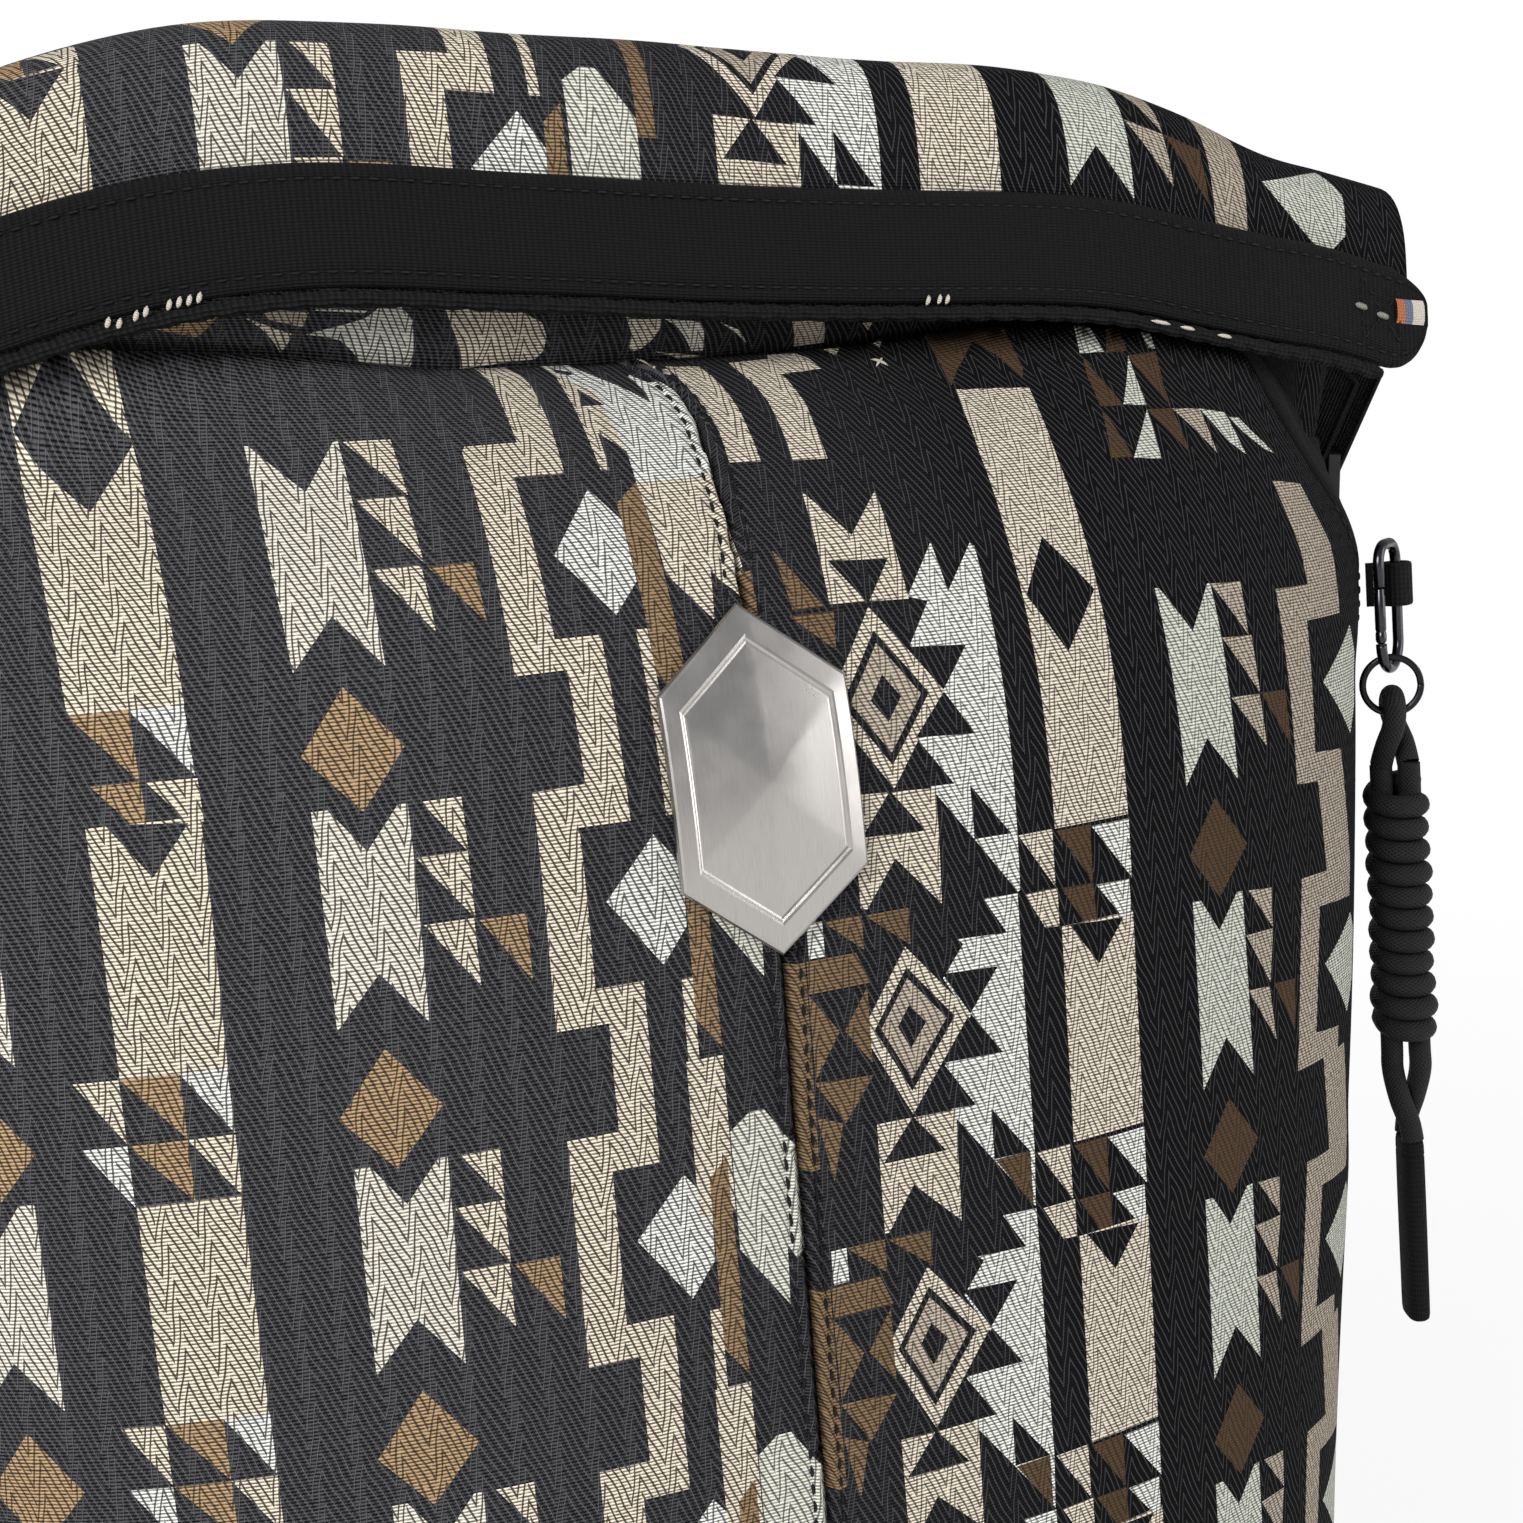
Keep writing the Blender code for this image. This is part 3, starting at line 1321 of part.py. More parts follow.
def sternum_rail(name, side):
    """A piped rail on the strap: a sewn flange, a neck and a round head."""
    flange_top = RAIL_BASE_Y + 0.0008
    neck = RAIL_NECK / 2
    half = RAIL_FLANGE / 2
    start = degrees(asin(neck / RAIL_HEAD_RADIUS))
    head = []
    for i in range(9):
        angle = radians(-90 + start + (360 - 2 * start) * i / 8)
        head.append((RAIL_HEAD_RADIUS * cos(angle), RAIL_HEAD_Y + RAIL_HEAD_RADIUS * sin(angle)))
    shape = [(-half, RAIL_BASE_Y), (half, RAIL_BASE_Y), (half, flange_top), (neck, flange_top)]
    shape += head
    shape += [(-neck, flange_top), (-half, flange_top)]
    middle = (STRAP_RUN_HIGH_Z + STRAP_RUN_LOW_Z) / 2
    low = middle - RAIL_HALF_LENGTH
    high = middle + RAIL_HALF_LENGTH
    return piece(name, prism([shape], low, high, upright(side * STRAP_RUN_X)), WEBBING, smooth=False)


def sternum_slider(name, side):
    """The plastic slider that grips the rail's head and holds the sternum strap."""
    slit = RAIL_NECK / 2 + SLIDER_PLAY
    start = degrees(asin(slit / SLIDER_BORE))
    bore = []
    for i in range(9):
        angle = radians(-90 + start + (360 - 2 * start) * i / 8)
        bore.append((SLIDER_BORE * cos(angle), RAIL_HEAD_Y + SLIDER_BORE * sin(angle)))
    low_y = RAIL_BASE_Y + 0.0008 + GAP
    high_y = RAIL_HEAD_Y + SLIDER_HALF
    shape = [(SLIDER_HALF, low_y), (SLIDER_HALF, high_y), (-SLIDER_HALF, high_y), (-SLIDER_HALF, low_y)]
    shape += [(-slit, low_y)]
    shape += bore[::-1]
    shape += [(slit, low_y)]
    low = STERNUM_Z - SLIDER_HALF_HEIGHT
    high = STERNUM_Z + SLIDER_HALF_HEIGHT
    place = upright(side * STRAP_RUN_X)
    return piece(name, prism([shape], low, high, place), PLASTIC, STERNUM_CENTRE, smooth=False)


def sternum_frame():
    """The sternum buckle's frame: its tongue pulls out towards +X."""
    origin = STERNUM_CENTRE.copy()
    return origin, placer(origin, Vector((0, 0, 1)), Vector((1, 0, 0)), Vector((0, 1, 0)))


def sternum_web(name, side):
    """The strap from a slider, looped round its half of the buckle."""
    place = sternum_frame()[1]
    bar = MALE_BODY - MALE_BAR if side > 0 else -FEMALE_LENGTH + FEMALE_BAR
    length = STRAP_RUN_X - SLIDER_HALF - GAP - abs(bar)
    path = loop_path(place, bar, side, length, 0.026)
    return piece(name, ribbon(path, Vector((0, 0, 1)), WEB_WIDTH, WEB_THICKNESS), WEBBING, STERNUM_CENTRE)


# Build

clear_scene()
bag = empty("backpack", (0.0, FRAME_SHIFT_Y, 0.0))
front_panel("front_panel_right", 1)
front_panel("front_panel_left", -1)
side_panel("side_panel_right", 1)
side_panel("side_panel_left", -1)
back_panel()
base_panel()
base_board()
lining()
frame_sheet()
rolled_top()
lip_band()
lip_binding()
neck_collar()
badge_plate()
badge_backing()
for word, hand in (("right", 1), ("left", -1)):
    spot, local = side_frame(hand)
    buckle_male("side_buckle_male_" + word, local, spot)
    buckle_female("side_buckle_female_" + word, local)
    roll_tab("roll_tab_" + word, hand)
    side_strap("side_strap_" + word, hand)
    back_pad("back_pad_" + word, hand * UPPER_PAD_X, UPPER_PAD_Z, UPPER_PAD_HALF_WIDTH, UPPER_PAD_HALF_HEIGHT)
    shoulder_strap("shoulder_strap_" + word, hand)
    ladder_lock("ladder_lock_" + word, hand)
    strap_webbing("strap_webbing_" + word, hand)
    strap_anchor("strap_anchor_" + word, hand)
    sternum_rail("sternum_rail_" + word, hand)
    sternum_slider("sternum_slider_" + word, hand)
    sternum_web("sternum_web_" + word, hand)
back_pad("back_pad_lower", 0.0, LOWER_PAD_Z, LOWER_PAD_HALF_WIDTH, LOWER_PAD_HALF_HEIGHT)
grab_handle()
spot, local = sternum_frame()
buckle_male("sternum_buckle_male", local, spot)
buckle_female("sternum_buckle_female", local, spot)
clip_tab()
clip_ring()
clip_gate()
split_ring()
lanyard_loop()
lanyard_knot()
lanyard_tail("lanyard_tail_front", 1)
lanyard_tail("lanyard_tail_rear", -1)
lanyard_sleeve()
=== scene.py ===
from math import copysign, cos, pi, radians, sin, sqrt

import bpy
import numpy as np
from mathutils import Matrix, Vector
from mathutils.geometry import delaunay_2d_cdt


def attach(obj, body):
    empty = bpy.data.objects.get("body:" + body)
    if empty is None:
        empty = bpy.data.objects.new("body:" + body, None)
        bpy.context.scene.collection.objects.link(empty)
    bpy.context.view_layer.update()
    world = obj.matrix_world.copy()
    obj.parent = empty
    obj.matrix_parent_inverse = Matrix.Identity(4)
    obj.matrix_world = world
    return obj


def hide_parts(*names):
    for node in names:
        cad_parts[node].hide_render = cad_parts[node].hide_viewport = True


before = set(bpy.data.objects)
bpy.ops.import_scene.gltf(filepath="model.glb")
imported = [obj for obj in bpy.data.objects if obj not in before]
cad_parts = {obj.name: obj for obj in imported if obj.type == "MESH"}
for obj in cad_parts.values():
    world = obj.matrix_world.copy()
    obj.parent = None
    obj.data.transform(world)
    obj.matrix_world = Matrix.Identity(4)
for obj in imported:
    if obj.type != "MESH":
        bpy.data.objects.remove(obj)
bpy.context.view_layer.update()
scene = bpy.context.scene
scene.view_settings.view_transform = "Standard"

# Sizes in metres and degrees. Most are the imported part's own
BASE_HALF_WIDTH = 0.127
TOP_HALF_WIDTH = 0.1637
FRONT_DEPTH = 0.068
BACK_DEPTH = 0.060
DOME_TOP_Z = 0.410
FRONT_SHOULDER_Z = 0.310
BACK_SHOULDER_Z = 0.360
FRONT_ROUNDNESS = 2.37
BACK_ROUNDNESS = 6.0
FOOT_RADIUS = 0.018
FOOT_Z = 0.0033
MOUTH_Z = 0.403
MOUTH_SIDE_DROP = 0.030
MOUTH_RISE = (
    (-0.160, 0.0), (-0.125, 0.0065), (-0.092, 0.0070), (-0.062, 0.0045), (-0.026, 0.0), (0.160, 0.0),
)
MOUTH_RISE_FROM_Z = 0.385
SHIFT_Y = -0.027545
SIDE_SEAM_ANGLE = 12.0
SIDE_SEAM_TURN = 38.0
SIDE_SEAM_TURN_Z = 0.335
BACK_SEAM_ANGLE = -35.0
CLOTH_THICKNESS = 0.002
ROLL_HALF_LENGTH = 0.1635
ROLL_MIDDLE_Y = -0.015
ROLL_HALF_DEPTH = 0.017
ROLL_HALF_HEIGHT = 0.022
ROLL_SQUARENESS = 2.8
ROLL_END_TAPER = 0.20
ROLL_TURNS = 2.2
ROLL_LAYER = 0.0036
ROLL_LAYER_GAP = 0.0006
ROLL_START_ANGLE = 225.0
ROLL_OVER_LIP = 0.003
LIP_HEIGHT = 0.020
LIP_THICKNESS = 0.0024
LIP_OVERHANG = 0.002
LIP_BINDING_RADIUS = 0.0015
LIP_EDGE = (
    (-0.165, 0.3885), (-0.140, 0.3995), (-0.095, 0.4135), (-0.060, 0.4174), (-0.020, 0.4143),
    (0.010, 0.4114), (0.040, 0.4091), (0.075, 0.4070), (0.093, 0.4049), (0.115, 0.3998), (0.128, 0.3968),
    (0.139, 0.3946), (0.148, 0.3922), (0.156, 0.3897), (0.165, 0.3885),
)
ROLL_FOOT = (
    (-0.165, 0.3880), (-0.140, 0.3990), (-0.095, 0.4130), (-0.060, 0.4170), (-0.020, 0.4140),
    (0.040, 0.4090), (0.093, 0.4045), (0.115, 0.3988), (0.135, 0.3922), (0.150, 0.3900), (0.165, 0.3890),
)
MOUTH_LIFT = (
    (-0.160, 0.0), (-0.130, 0.0060), (-0.104, 0.0075), (-0.095, 0.0070), (-0.086, 0.0047), (-0.076, 0.0027),
    (-0.066, 0.0014), (-0.055, 0.0005), (-0.043, 0.0), (0.030, 0.0), (0.055, 0.0015), (0.066, 0.0024),
    (0.076, 0.0030), (0.086, 0.0034), (0.100, 0.0035), (0.118, 0.0034), (0.130, 0.0040), (0.145, 0.0030),
    (0.160, 0.0),
)
MOUTH_LIFT_DEPTH = 0.008
WAIST_FROM_Z = 0.350
WAIST_DEPTH = 8.5
WAIST_FROM_ANGLE = 12.0
WAIST_FADE_ANGLES = (26.0, 46.0)
LANYARD_ROOM_LOW = 0.225
LANYARD_ROOM_HIGH = 0.340
LANYARD_ROOM_ANGLE = 11.0
LANYARD_ROOM_DEPTH = 2.1
BADGE_Z = 0.332
BADGE_HALF_WIDTH = 0.0165
BADGE_HALF_HEIGHT = 0.0285
CORD_RADIUS = 0.0023
KNOT_RADIUS = 0.0066
KNOT_TOP_Z = 0.3063
KNOT_TURNS = 12
KNOT_PITCH = 0.00477
KNOT_SLANT = 0.0007
KNOT_LOW_Z = KNOT_TOP_Z - KNOT_TURNS * KNOT_PITCH
GAP = 0.0003
CLOTH_GAP = 0.0008
MM = 0.001
ACROSS = np.array([1.0, 0.0, 0.0])
FORWARD = np.array([0.0, -1.0, 0.0])
REARWARD = np.array([0.0, 1.0, 0.0])
UP = np.array([0.0, 0.0, 1.0])
SIDES = (("right", 1), ("left", -1))

# Camera, as the photograph's perspective asks

PHOTO_SIZE = 1523
FOCAL_PIXELS = 2286.6
SENSOR_WIDTH = 36.0
CAMERA_PLACE = (-0.1364, -0.437745, 0.3941)
CAMERA_BACK = (-0.3655, -0.9175, 0.1568)
CAMERA_RIGHT = (0.921, -0.3809, -0.082)
camera_data = bpy.data.cameras.new("photo_camera")
camera_data.sensor_width = SENSOR_WIDTH
camera_data.lens = FOCAL_PIXELS * SENSOR_WIDTH / PHOTO_SIZE
camera_data.clip_start = 0.01
camera = bpy.data.objects.new("photo_camera", camera_data)
scene.collection.objects.link(camera)
back = Vector(CAMERA_BACK).normalized()
right = Vector(CAMERA_RIGHT)
right = (right - right.dot(back) * back).normalized()
facing = Matrix((right, back.cross(right), back)).transposed().to_4x4()
camera.matrix_world = Matrix.Translation(CAMERA_PLACE) @ facing
scene.camera = camera

# Curves and surfaces


def smooth_value(knots, x):
    """A smooth curve through (x, value) knots, flat beyond both ends."""
    kx = np.array([k[0] for k in knots])
    kv = np.array([k[1] for k in knots])
    before = np.maximum(np.arange(len(kx)) - 1, 0)
    after = np.minimum(np.arange(len(kx)) + 1, len(kx) - 1)
    slope = (kv[after] - kv[before]) / (kx[after] - kx[before])
    x = np.clip(x, kx[0], kx[-1])
    i = np.clip(np.searchsorted(kx, x, side="left") - 1, 0, len(kx) - 2)
    span = kx[i + 1] - kx[i]
    t = (x - kx[i]) / span
    return (
        kv[i] * (2 * t**3 - 3 * t**2 + 1)
        + kv[i + 1] * (3 * t**2 - 2 * t**3)
        + slope[i] * span * (t**3 - 2 * t**2 + t)
        + slope[i + 1] * span * (t**3 - t**2)
    )


def smooth_path(points, steps):
    """Points on a smooth curve through the given points, with some steps between each two."""
    knots = np.array(points, float)
    path = []
    last = len(knots) - 1
    for i in range(last):
        p0, p1, p2, p3 = knots[max(i - 1, 0)], knots[i], knots[i + 1], knots[min(i + 2, last)]
        for k in range(steps):
            t = k / steps
            path.append(
                0.5 * (2 * p1 + (p2 - p0) * t + (2 * p0 - 5 * p1 + 4 * p2 - p3) * t**2)
                + 0.5 * (3 * p1 - p0 - 3 * p2 + p3) * t**3
            )
    path.append(knots[-1])
    return np.array(path)


def bump_wave(x, y, seed, scale):
    """Smooth wandering between about -1 and 1, the same each run."""
    turn = np.random.default_rng(seed)
    total = 0.0
    for _ in range(6):
        kx, ky, phase = turn.normal(0, 1), turn.normal(0, 1), turn.uniform(0, 2 * pi)
        total = total + np.sin((kx * x + ky * y) / scale + phase)
    return total / 3.0


def foot_inset(z):
    """How far the body rounds in at its foot."""
    low = np.clip(FOOT_RADIUS - z, 0, FOOT_RADIUS)
    return FOOT_RADIUS - np.sqrt(FOOT_RADIUS**2 - low**2)


def half_width(z):
    """Half the body's width at a height."""
    return BASE_HALF_WIDTH + (TOP_HALF_WIDTH - BASE_HALF_WIDTH) * z / DOME_TOP_Z - foot_inset(z)


def dome(z, shoulder):
    """The share of its depth that the body keeps above a shoulder."""
    rise = np.clip((z - shoulder) / (DOME_TOP_Z - shoulder), 0, 1)
    return (1 - rise**2.5) ** 0.625


def skin(angle, z, rise=True):
    """Points of the body's outside. Angle 0 is the right side, 90 the front, 180 the left, -90 the back."""
    angle, z = np.broadcast_arrays(np.asarray(angle, float), np.asarray(z, float))
    c = np.cos(np.radians(angle))
    s = np.sin(np.radians(angle))
    power = np.where(s >= 0, 2 / FRONT_ROUNDNESS, 2 / BACK_ROUNDNESS)
    front = -(FRONT_DEPTH * dome(z, FRONT_SHOULDER_Z) - foot_inset(z))
    rear = BACK_DEPTH * dome(z, BACK_SHOULDER_Z) - foot_inset(z)
    x = np.sign(c) * np.abs(c) ** power * half_width(z)
    height = z
    if rise:
        share = np.clip((z - MOUTH_RISE_FROM_Z) / (MOUTH_Z - MOUTH_RISE_FROM_Z), 0, 1) ** 1.5
        last = np.clip((z - mouth_z(angle)) / MOUTH_LIFT_DEPTH + 1, 0, 1) ** 2
        rise = smooth_value(MOUTH_RISE, x) * share + smooth_value(MOUTH_LIFT, x) * last
        height = z + rise * np.clip(2 * s, 0, 1)
    return np.stack([x, np.abs(s) ** power * np.where(s >= 0, front, rear) + SHIFT_Y, height], -1)


def unit(v):
    """Directions of length 1."""
    return v / np.maximum(np.linalg.norm(v, axis=-1, keepdims=True), 1e-12)


def skin_normal(angle, z):
    """Directions out of the body's outside."""
    around = skin(angle + 0.5, z) - skin(angle - 0.5, z)
    upward = skin(angle, z + 0.0005) - skin(angle, z - 0.0005)
    return unit(np.cross(upward, around))


def front_angle(x, z):
    """The angle of the front's points at x."""
    share = np.abs(x) / half_width(z)
    return 90 - np.sign(x) * (90 - np.degrees(np.arccos(np.clip(share ** (FRONT_ROUNDNESS / 2), 0, 1))))


def front_point(x, z, out):
    """Points some way out of the front."""
    angle = front_angle(x, z)
    return skin(angle, z) + skin_normal(angle, z) * out[..., None]


def back_point(x, z, out=0.0):
    """Points some way out of the back."""
    share = np.abs(x) / half_width(z)
    angle = -90 + np.sign(x) * (90 - np.degrees(np.arccos(np.clip(share ** (BACK_ROUNDNESS / 2), 0, 1))))
    return skin(angle, z) + skin_normal(angle, z) * np.asarray(out)[..., None]


def side_seam_angle(z):
    """Where the right side seam runs. It turns forwards under the mouth."""
    turn = np.clip((z - SIDE_SEAM_TURN_Z) / (MOUTH_Z - SIDE_SEAM_TURN_Z), 0, 1)
    return SIDE_SEAM_ANGLE + SIDE_SEAM_TURN * turn**1.2


def mouth_z(angle):
    """The height of the body's open edge."""
    return MOUTH_Z - MOUTH_SIDE_DROP * np.abs(np.cos(np.radians(angle))) ** 3


def eased(x, start, end):
    """From 0 to 1 between two values, level at both."""
    t = np.clip((x - start) / (end - start), 0, 1)
    return t * t * (3 - 2 * t)


def waist(angle, z):
    """How far in the cloth is drawn, in millimetres: at both front corners and behind the lanyard."""
    corner = np.minimum(angle, 180 - angle)
    share = np.clip((z - WAIST_FROM_Z) / (mouth_z(angle) - WAIST_FROM_Z), 0, 1) ** 1.6
    drawn = WAIST_DEPTH * share * eased(corner, 0, WAIST_FROM_ANGLE) * (1 - eased(corner, *WAIST_FADE_ANGLES))
    room = eased(z, LANYARD_ROOM_LOW, LANYARD_ROOM_LOW + 0.02)
    room = room * (1 - eased(z, LANYARD_ROOM_HIGH - 0.012, LANYARD_ROOM_HIGH))
    room = room * np.exp(-(((angle - side_seam_angle(z)) / LANYARD_ROOM_ANGLE) ** 2))
    return drawn + LANYARD_ROOM_DEPTH * room


class Chart:
    """Millimetres on the front cloth: u runs round the body from its middle, and v runs up it."""

    ZERO_Z = 0.1131

    def __init__(self):
        self.a = np.arange(2.0, 178.01, 0.5)
        self.z = np.concatenate([np.arange(0.0033, 0.38, 0.001), np.arange(0.38, 0.4099, 0.00025)])
        points = skin(*np.meshgrid(self.a, self.z), rise=False) * 1000
        around = np.linalg.norm(np.diff(points, axis=1), axis=-1)
        u = np.concatenate([np.zeros((len(self.z), 1)), np.cumsum(around, axis=1)], axis=1)
        self.middle = int(np.argmin(abs(self.a - 90)))
        u = u[:, self.middle : self.middle + 1] - u
        upward = np.linalg.norm(np.diff(points, axis=0), axis=-1)
        v = np.concatenate([np.zeros((1, len(self.a))), np.cumsum(upward, axis=0)], axis=0)
        k = int(np.searchsorted(self.z, self.ZERO_Z))
        part = (self.ZERO_Z - self.z[k - 1]) / (self.z[k] - self.z[k - 1])
        v = v - (v[k - 1] * (1 - part) + v[k] * part)[None]
        self.u, self.v = u, v
        self.slopes = [np.gradient(t, s, axis=d) for t in (u, v) for s, d in ((self.a, 1), (self.z, 0))]

    def look(self, table, a, z):
        """A table's values between its points."""
        i = np.clip(np.searchsorted(self.z, z) - 1, 0, len(self.z) - 2)
        j = np.clip(np.searchsorted(self.a, a) - 1, 0, len(self.a) - 2)
        s = (z - self.z[i]) / (self.z[i + 1] - self.z[i])
        t = (a - self.a[j]) / (self.a[j + 1] - self.a[j])
        low = table[i, j] * (1 - t) + table[i, j + 1] * t
        high = table[i + 1, j] * (1 - t) + table[i + 1, j + 1] * t
        return low * (1 - s) + high * s

    def flat(self, a, z):
        """The u and v of points given by angle and height."""
        return self.look(self.u, a, z), self.look(self.v, a, z)

    def find(self, u, v):
        """The angle and height of points given by u and v."""
        u, v = np.asarray(u, float), np.asarray(v, float)
        a = np.full(u.shape, 90.0)
        z = np.interp(v, self.v[:, self.middle], self.z)
        for _ in range(14):
            now_u, now_v = self.flat(a, z)
            ua, uz, va, vz = (self.look(t, a, z) for t in self.slopes)
            det = ua * vz - uz * va
            du, dv = u - now_u, v - now_v
            a = np.clip(a + np.clip((vz * du - uz * dv) / det, -12, 12), self.a[0], self.a[-1])
            z = np.clip(z + np.clip((ua * dv - va * du) / det, -0.02, 0.02), self.z[0], self.z[-1])
        return a, z


chart = Chart()

# Materials


def nodes_of(name, colour, roughness, metallic=0.0, specular=0.5):
    """A new material with these plain values, its node tree and its shader."""
    material = bpy.data.materials.new(name)
    material.use_nodes = True
    tree = material.node_tree
    shader = tree.nodes["Principled BSDF"]
    shader.inputs["Base Color"].default_value = (*colour, 1.0)
    shader.inputs["Roughness"].default_value = roughness
    shader.inputs["Metallic"].default_value = metallic
    shader.inputs["Specular IOR Level"].default_value = specular
    return material, tree, shader


class Graph:
    """Short calls that add and link shader nodes."""

    def __init__(self, tree):
        self.tree = tree

    def add(self, kind, **settings):
        node = self.tree.nodes.new(kind)
        for key, value in settings.items():
            setattr(node, key, value)
        return node

    def feed(self, socket, value):
        if isinstance(value, bpy.types.NodeSocket):
            self.tree.links.new(value, socket)
        else:
            socket.default_value = value

    def math(self, operation, *values):
        node = self.add("ShaderNodeMath", operation=operation)
        for socket, value in zip(node.inputs, values):
            self.feed(socket, value)
        return node.outputs[0]

    def mix(self, factor, a, b):
        node = self.add("ShaderNodeMix", data_type="RGBA")
        self.feed(node.inputs[0], factor)
        for socket, value in ((node.inputs[6], a), (node.inputs[7], b)):
            self.feed(socket, value if isinstance(value, bpy.types.NodeSocket) else (*value, 1.0))
        return node.outputs[2]

    def range(self, value, low, high, to_low=0.0, to_high=1.0):
        node = self.add("ShaderNodeMapRange", interpolation_type="SMOOTHSTEP")
        for socket, item in zip(node.inputs, (value, low, high, to_low, to_high)):
            self.feed(socket, item)
        return node.outputs[0]

    def noise(self, vector, scale, detail, roughness=0.5):
        node = self.add("ShaderNodeTexNoise")
        values = {"Vector": vector, "Scale": scale, "Detail": detail, "Roughness": roughness}
        for key, value in values.items():
            self.feed(node.inputs[key], value)
        return node.outputs["Fac"]

    def bump(self, height, distance, before=None):
        node = self.add("ShaderNodeBump")
        node.inputs["Distance"].default_value = distance
        self.feed(node.inputs["Height"], height)
        if before is not None:
            self.feed(node.inputs["Normal"], before)
        return node.outputs[0]

    def stretched(self, vector, scale):
        node = self.add("ShaderNodeMapping")
        self.feed(node.inputs["Vector"], vector)
        node.inputs["Scale"].default_value = scale
        return node.outputs[0]

    def lay(self):
        """The piece's own millimetre coordinates."""
        uv = self.add("ShaderNodeUVMap", uv_map="lay")
        split = self.add("ShaderNodeSeparateXYZ")
        self.tree.links.new(uv.outputs[0], split.inputs[0])
        return uv.outputs[0], split.outputs[0], split.outputs[1]

    def place(self):
        """Millimetres across and up in space, for a solid that has no coordinates of its own."""
        where = self.add("ShaderNodeVectorMath", operation="SCALE")
        self.feed(where.inputs[0], self.add("ShaderNodeTexCoord").outputs["Object"])
        where.inputs["Scale"].default_value = 1000.0
        split = self.add("ShaderNodeSeparateXYZ")
        self.feed(split.inputs[0], where.outputs[0])
        return where.outputs[0], self.math("ADD", split.outputs[0], split.outputs[1]), split.outputs[2]


# The weave's sizes in millimetres: zigzag lines, and the cross picks under them
ZIGZAG_PERIOD = 6.4
ZIGZAG_LONG = 0.72
ZIGZAG_RISE = 10.5
ZIGZAG_PITCH = 2.9
ZIGZAG_WANDER = 2.2
ZIGZAG_EDGE = (0.18, 0.08)
ZIGZAG_DEPTH = 0.00018
# Painted shade in the valleys beside raised lines: where it starts and ends, as distance from a line's
# middle, and how far it goes towards the gap colour
PAINTED_VALLEY_SHADE_EDGE = (0.20, 0.42)
PAINTED_VALLEY_SHADE_SHARE = 0.62
PICK_PITCH = 0.60
PICK_DEPTH = 0.00009
PICK_STRETCH = (0.9, 1.6, 1.0)
BRAID_PITCH = 0.9
# Where the near colours, painted light, turn into the far ones, painted shade, along the front cloth and
# along the collar's back
FRONT_PAINTED_SHADE_U = (-75.0, 70.0)
BACK_PAINTED_SHADE_U = (-190.0, -300.0)


def weave(name, lit_side_colour, shaded_side_colour, gap, line, line_gains_lit_and_shaded, pitch=ZIGZAG_PITCH, raised=-0.7, shine=0.12):
    """Cloth of cross picks in dashes under nested lopsided zigzags. Its colours change from left to right,
    with painted light at the left and painted shade at the right.
    """
    material, tree, shader = nodes_of(name, lit_side_colour, 0.86, specular=shine)
    g = Graph(tree)
    uv, u, v = g.lay()
    # side runs from the lit left to the shaded right: the colours and line strengths along it are painted
    # light and painted shade
    side = g.math("MAXIMUM", g.range(u, *FRONT_PAINTED_SHADE_U), g.range(u, *BACK_PAINTED_SHADE_U))
    wander = g.math("MULTIPLY", g.math("SUBTRACT", g.noise(uv, 0.09, 1.0), 0.5), ZIGZAG_WANDER)
    across = g.math("FRACT", g.math("DIVIDE", g.math("ADD", u, wander), ZIGZAG_PERIOD))
    fall = g.math("DIVIDE", across, ZIGZAG_LONG)
    climb = g.math("DIVIDE", g.math("SUBTRACT", 1.0, across), 1 - ZIGZAG_LONG)
    climbing = g.math("GREATER_THAN", across, ZIGZAG_LONG)
    height = g.math("MULTIPLY", g.math("MINIMUM", fall, climb), ZIGZAG_RISE)
    rows = g.math("DIVIDE", g.math("ADD", v, height), pitch)
    near = g.math("ABSOLUTE", g.math("SUBTRACT", g.math("FRACT", rows), 0.5))
    near = g.math("DIVIDE", near, g.math("ADD", 1.0, climbing))
    skipped = g.math("GREATER_THAN", g.math("FRACT", g.math("MULTIPLY", rows, 0.5)), 0.5)
    kept = g.math("SUBTRACT", 1.0, g.math("MULTIPLY", climbing, skipped))
    zigzag = g.math("MULTIPLY", g.range(near, *ZIGZAG_EDGE), kept)
    wave = g.math("SINE", g.math("MULTIPLY", v, 2 * pi / PICK_PITCH))
    dash = g.noise(g.stretched(uv, PICK_STRETCH), 1.0, 1.0)
    patch = g.noise(uv, 0.30, 3.0)
    pick = g.math("ADD", wave, g.math("MULTIPLY", g.math("SUBTRACT", dash, 0.5), 2.8))
    shade = g.range(g.math("ADD", pick, g.math("MULTIPLY", patch, 0.5)), -0.8, 0.7)
    base = g.mix(shade, gap, g.mix(side, lit_side_colour, shaded_side_colour))
    # Raised lines: the cloth between them is darkened towards the gap colour, painted shade in the valleys
    if raised > 0:
        base = g.mix(g.range(near, *PAINTED_VALLEY_SHADE_EDGE, 0.0, PAINTED_VALLEY_SHADE_SHARE), base, gap)
    weight = g.math("MULTIPLY", zigzag, g.range(side, 0.0, 1.0, *line_gains_lit_and_shaded))
    # On the black the pale line colour is painted highlight on the raised ridges; on the other colours the
    # lines are the weave's own dark pattern
    g.feed(shader.inputs["Base Color"], g.mix(weight, base, line))
    g.feed(shader.inputs["Roughness"], g.range(patch, 0.2, 0.8, 0.80, 0.94))
    ribs = g.bump(g.math("ADD", wave, g.math("MULTIPLY", patch, 0.8)), PICK_DEPTH)
    g.feed(shader.inputs["Normal"], g.bump(g.math("MULTIPLY", zigzag, raised), ZIGZAG_DEPTH, before=ribs))
    return material


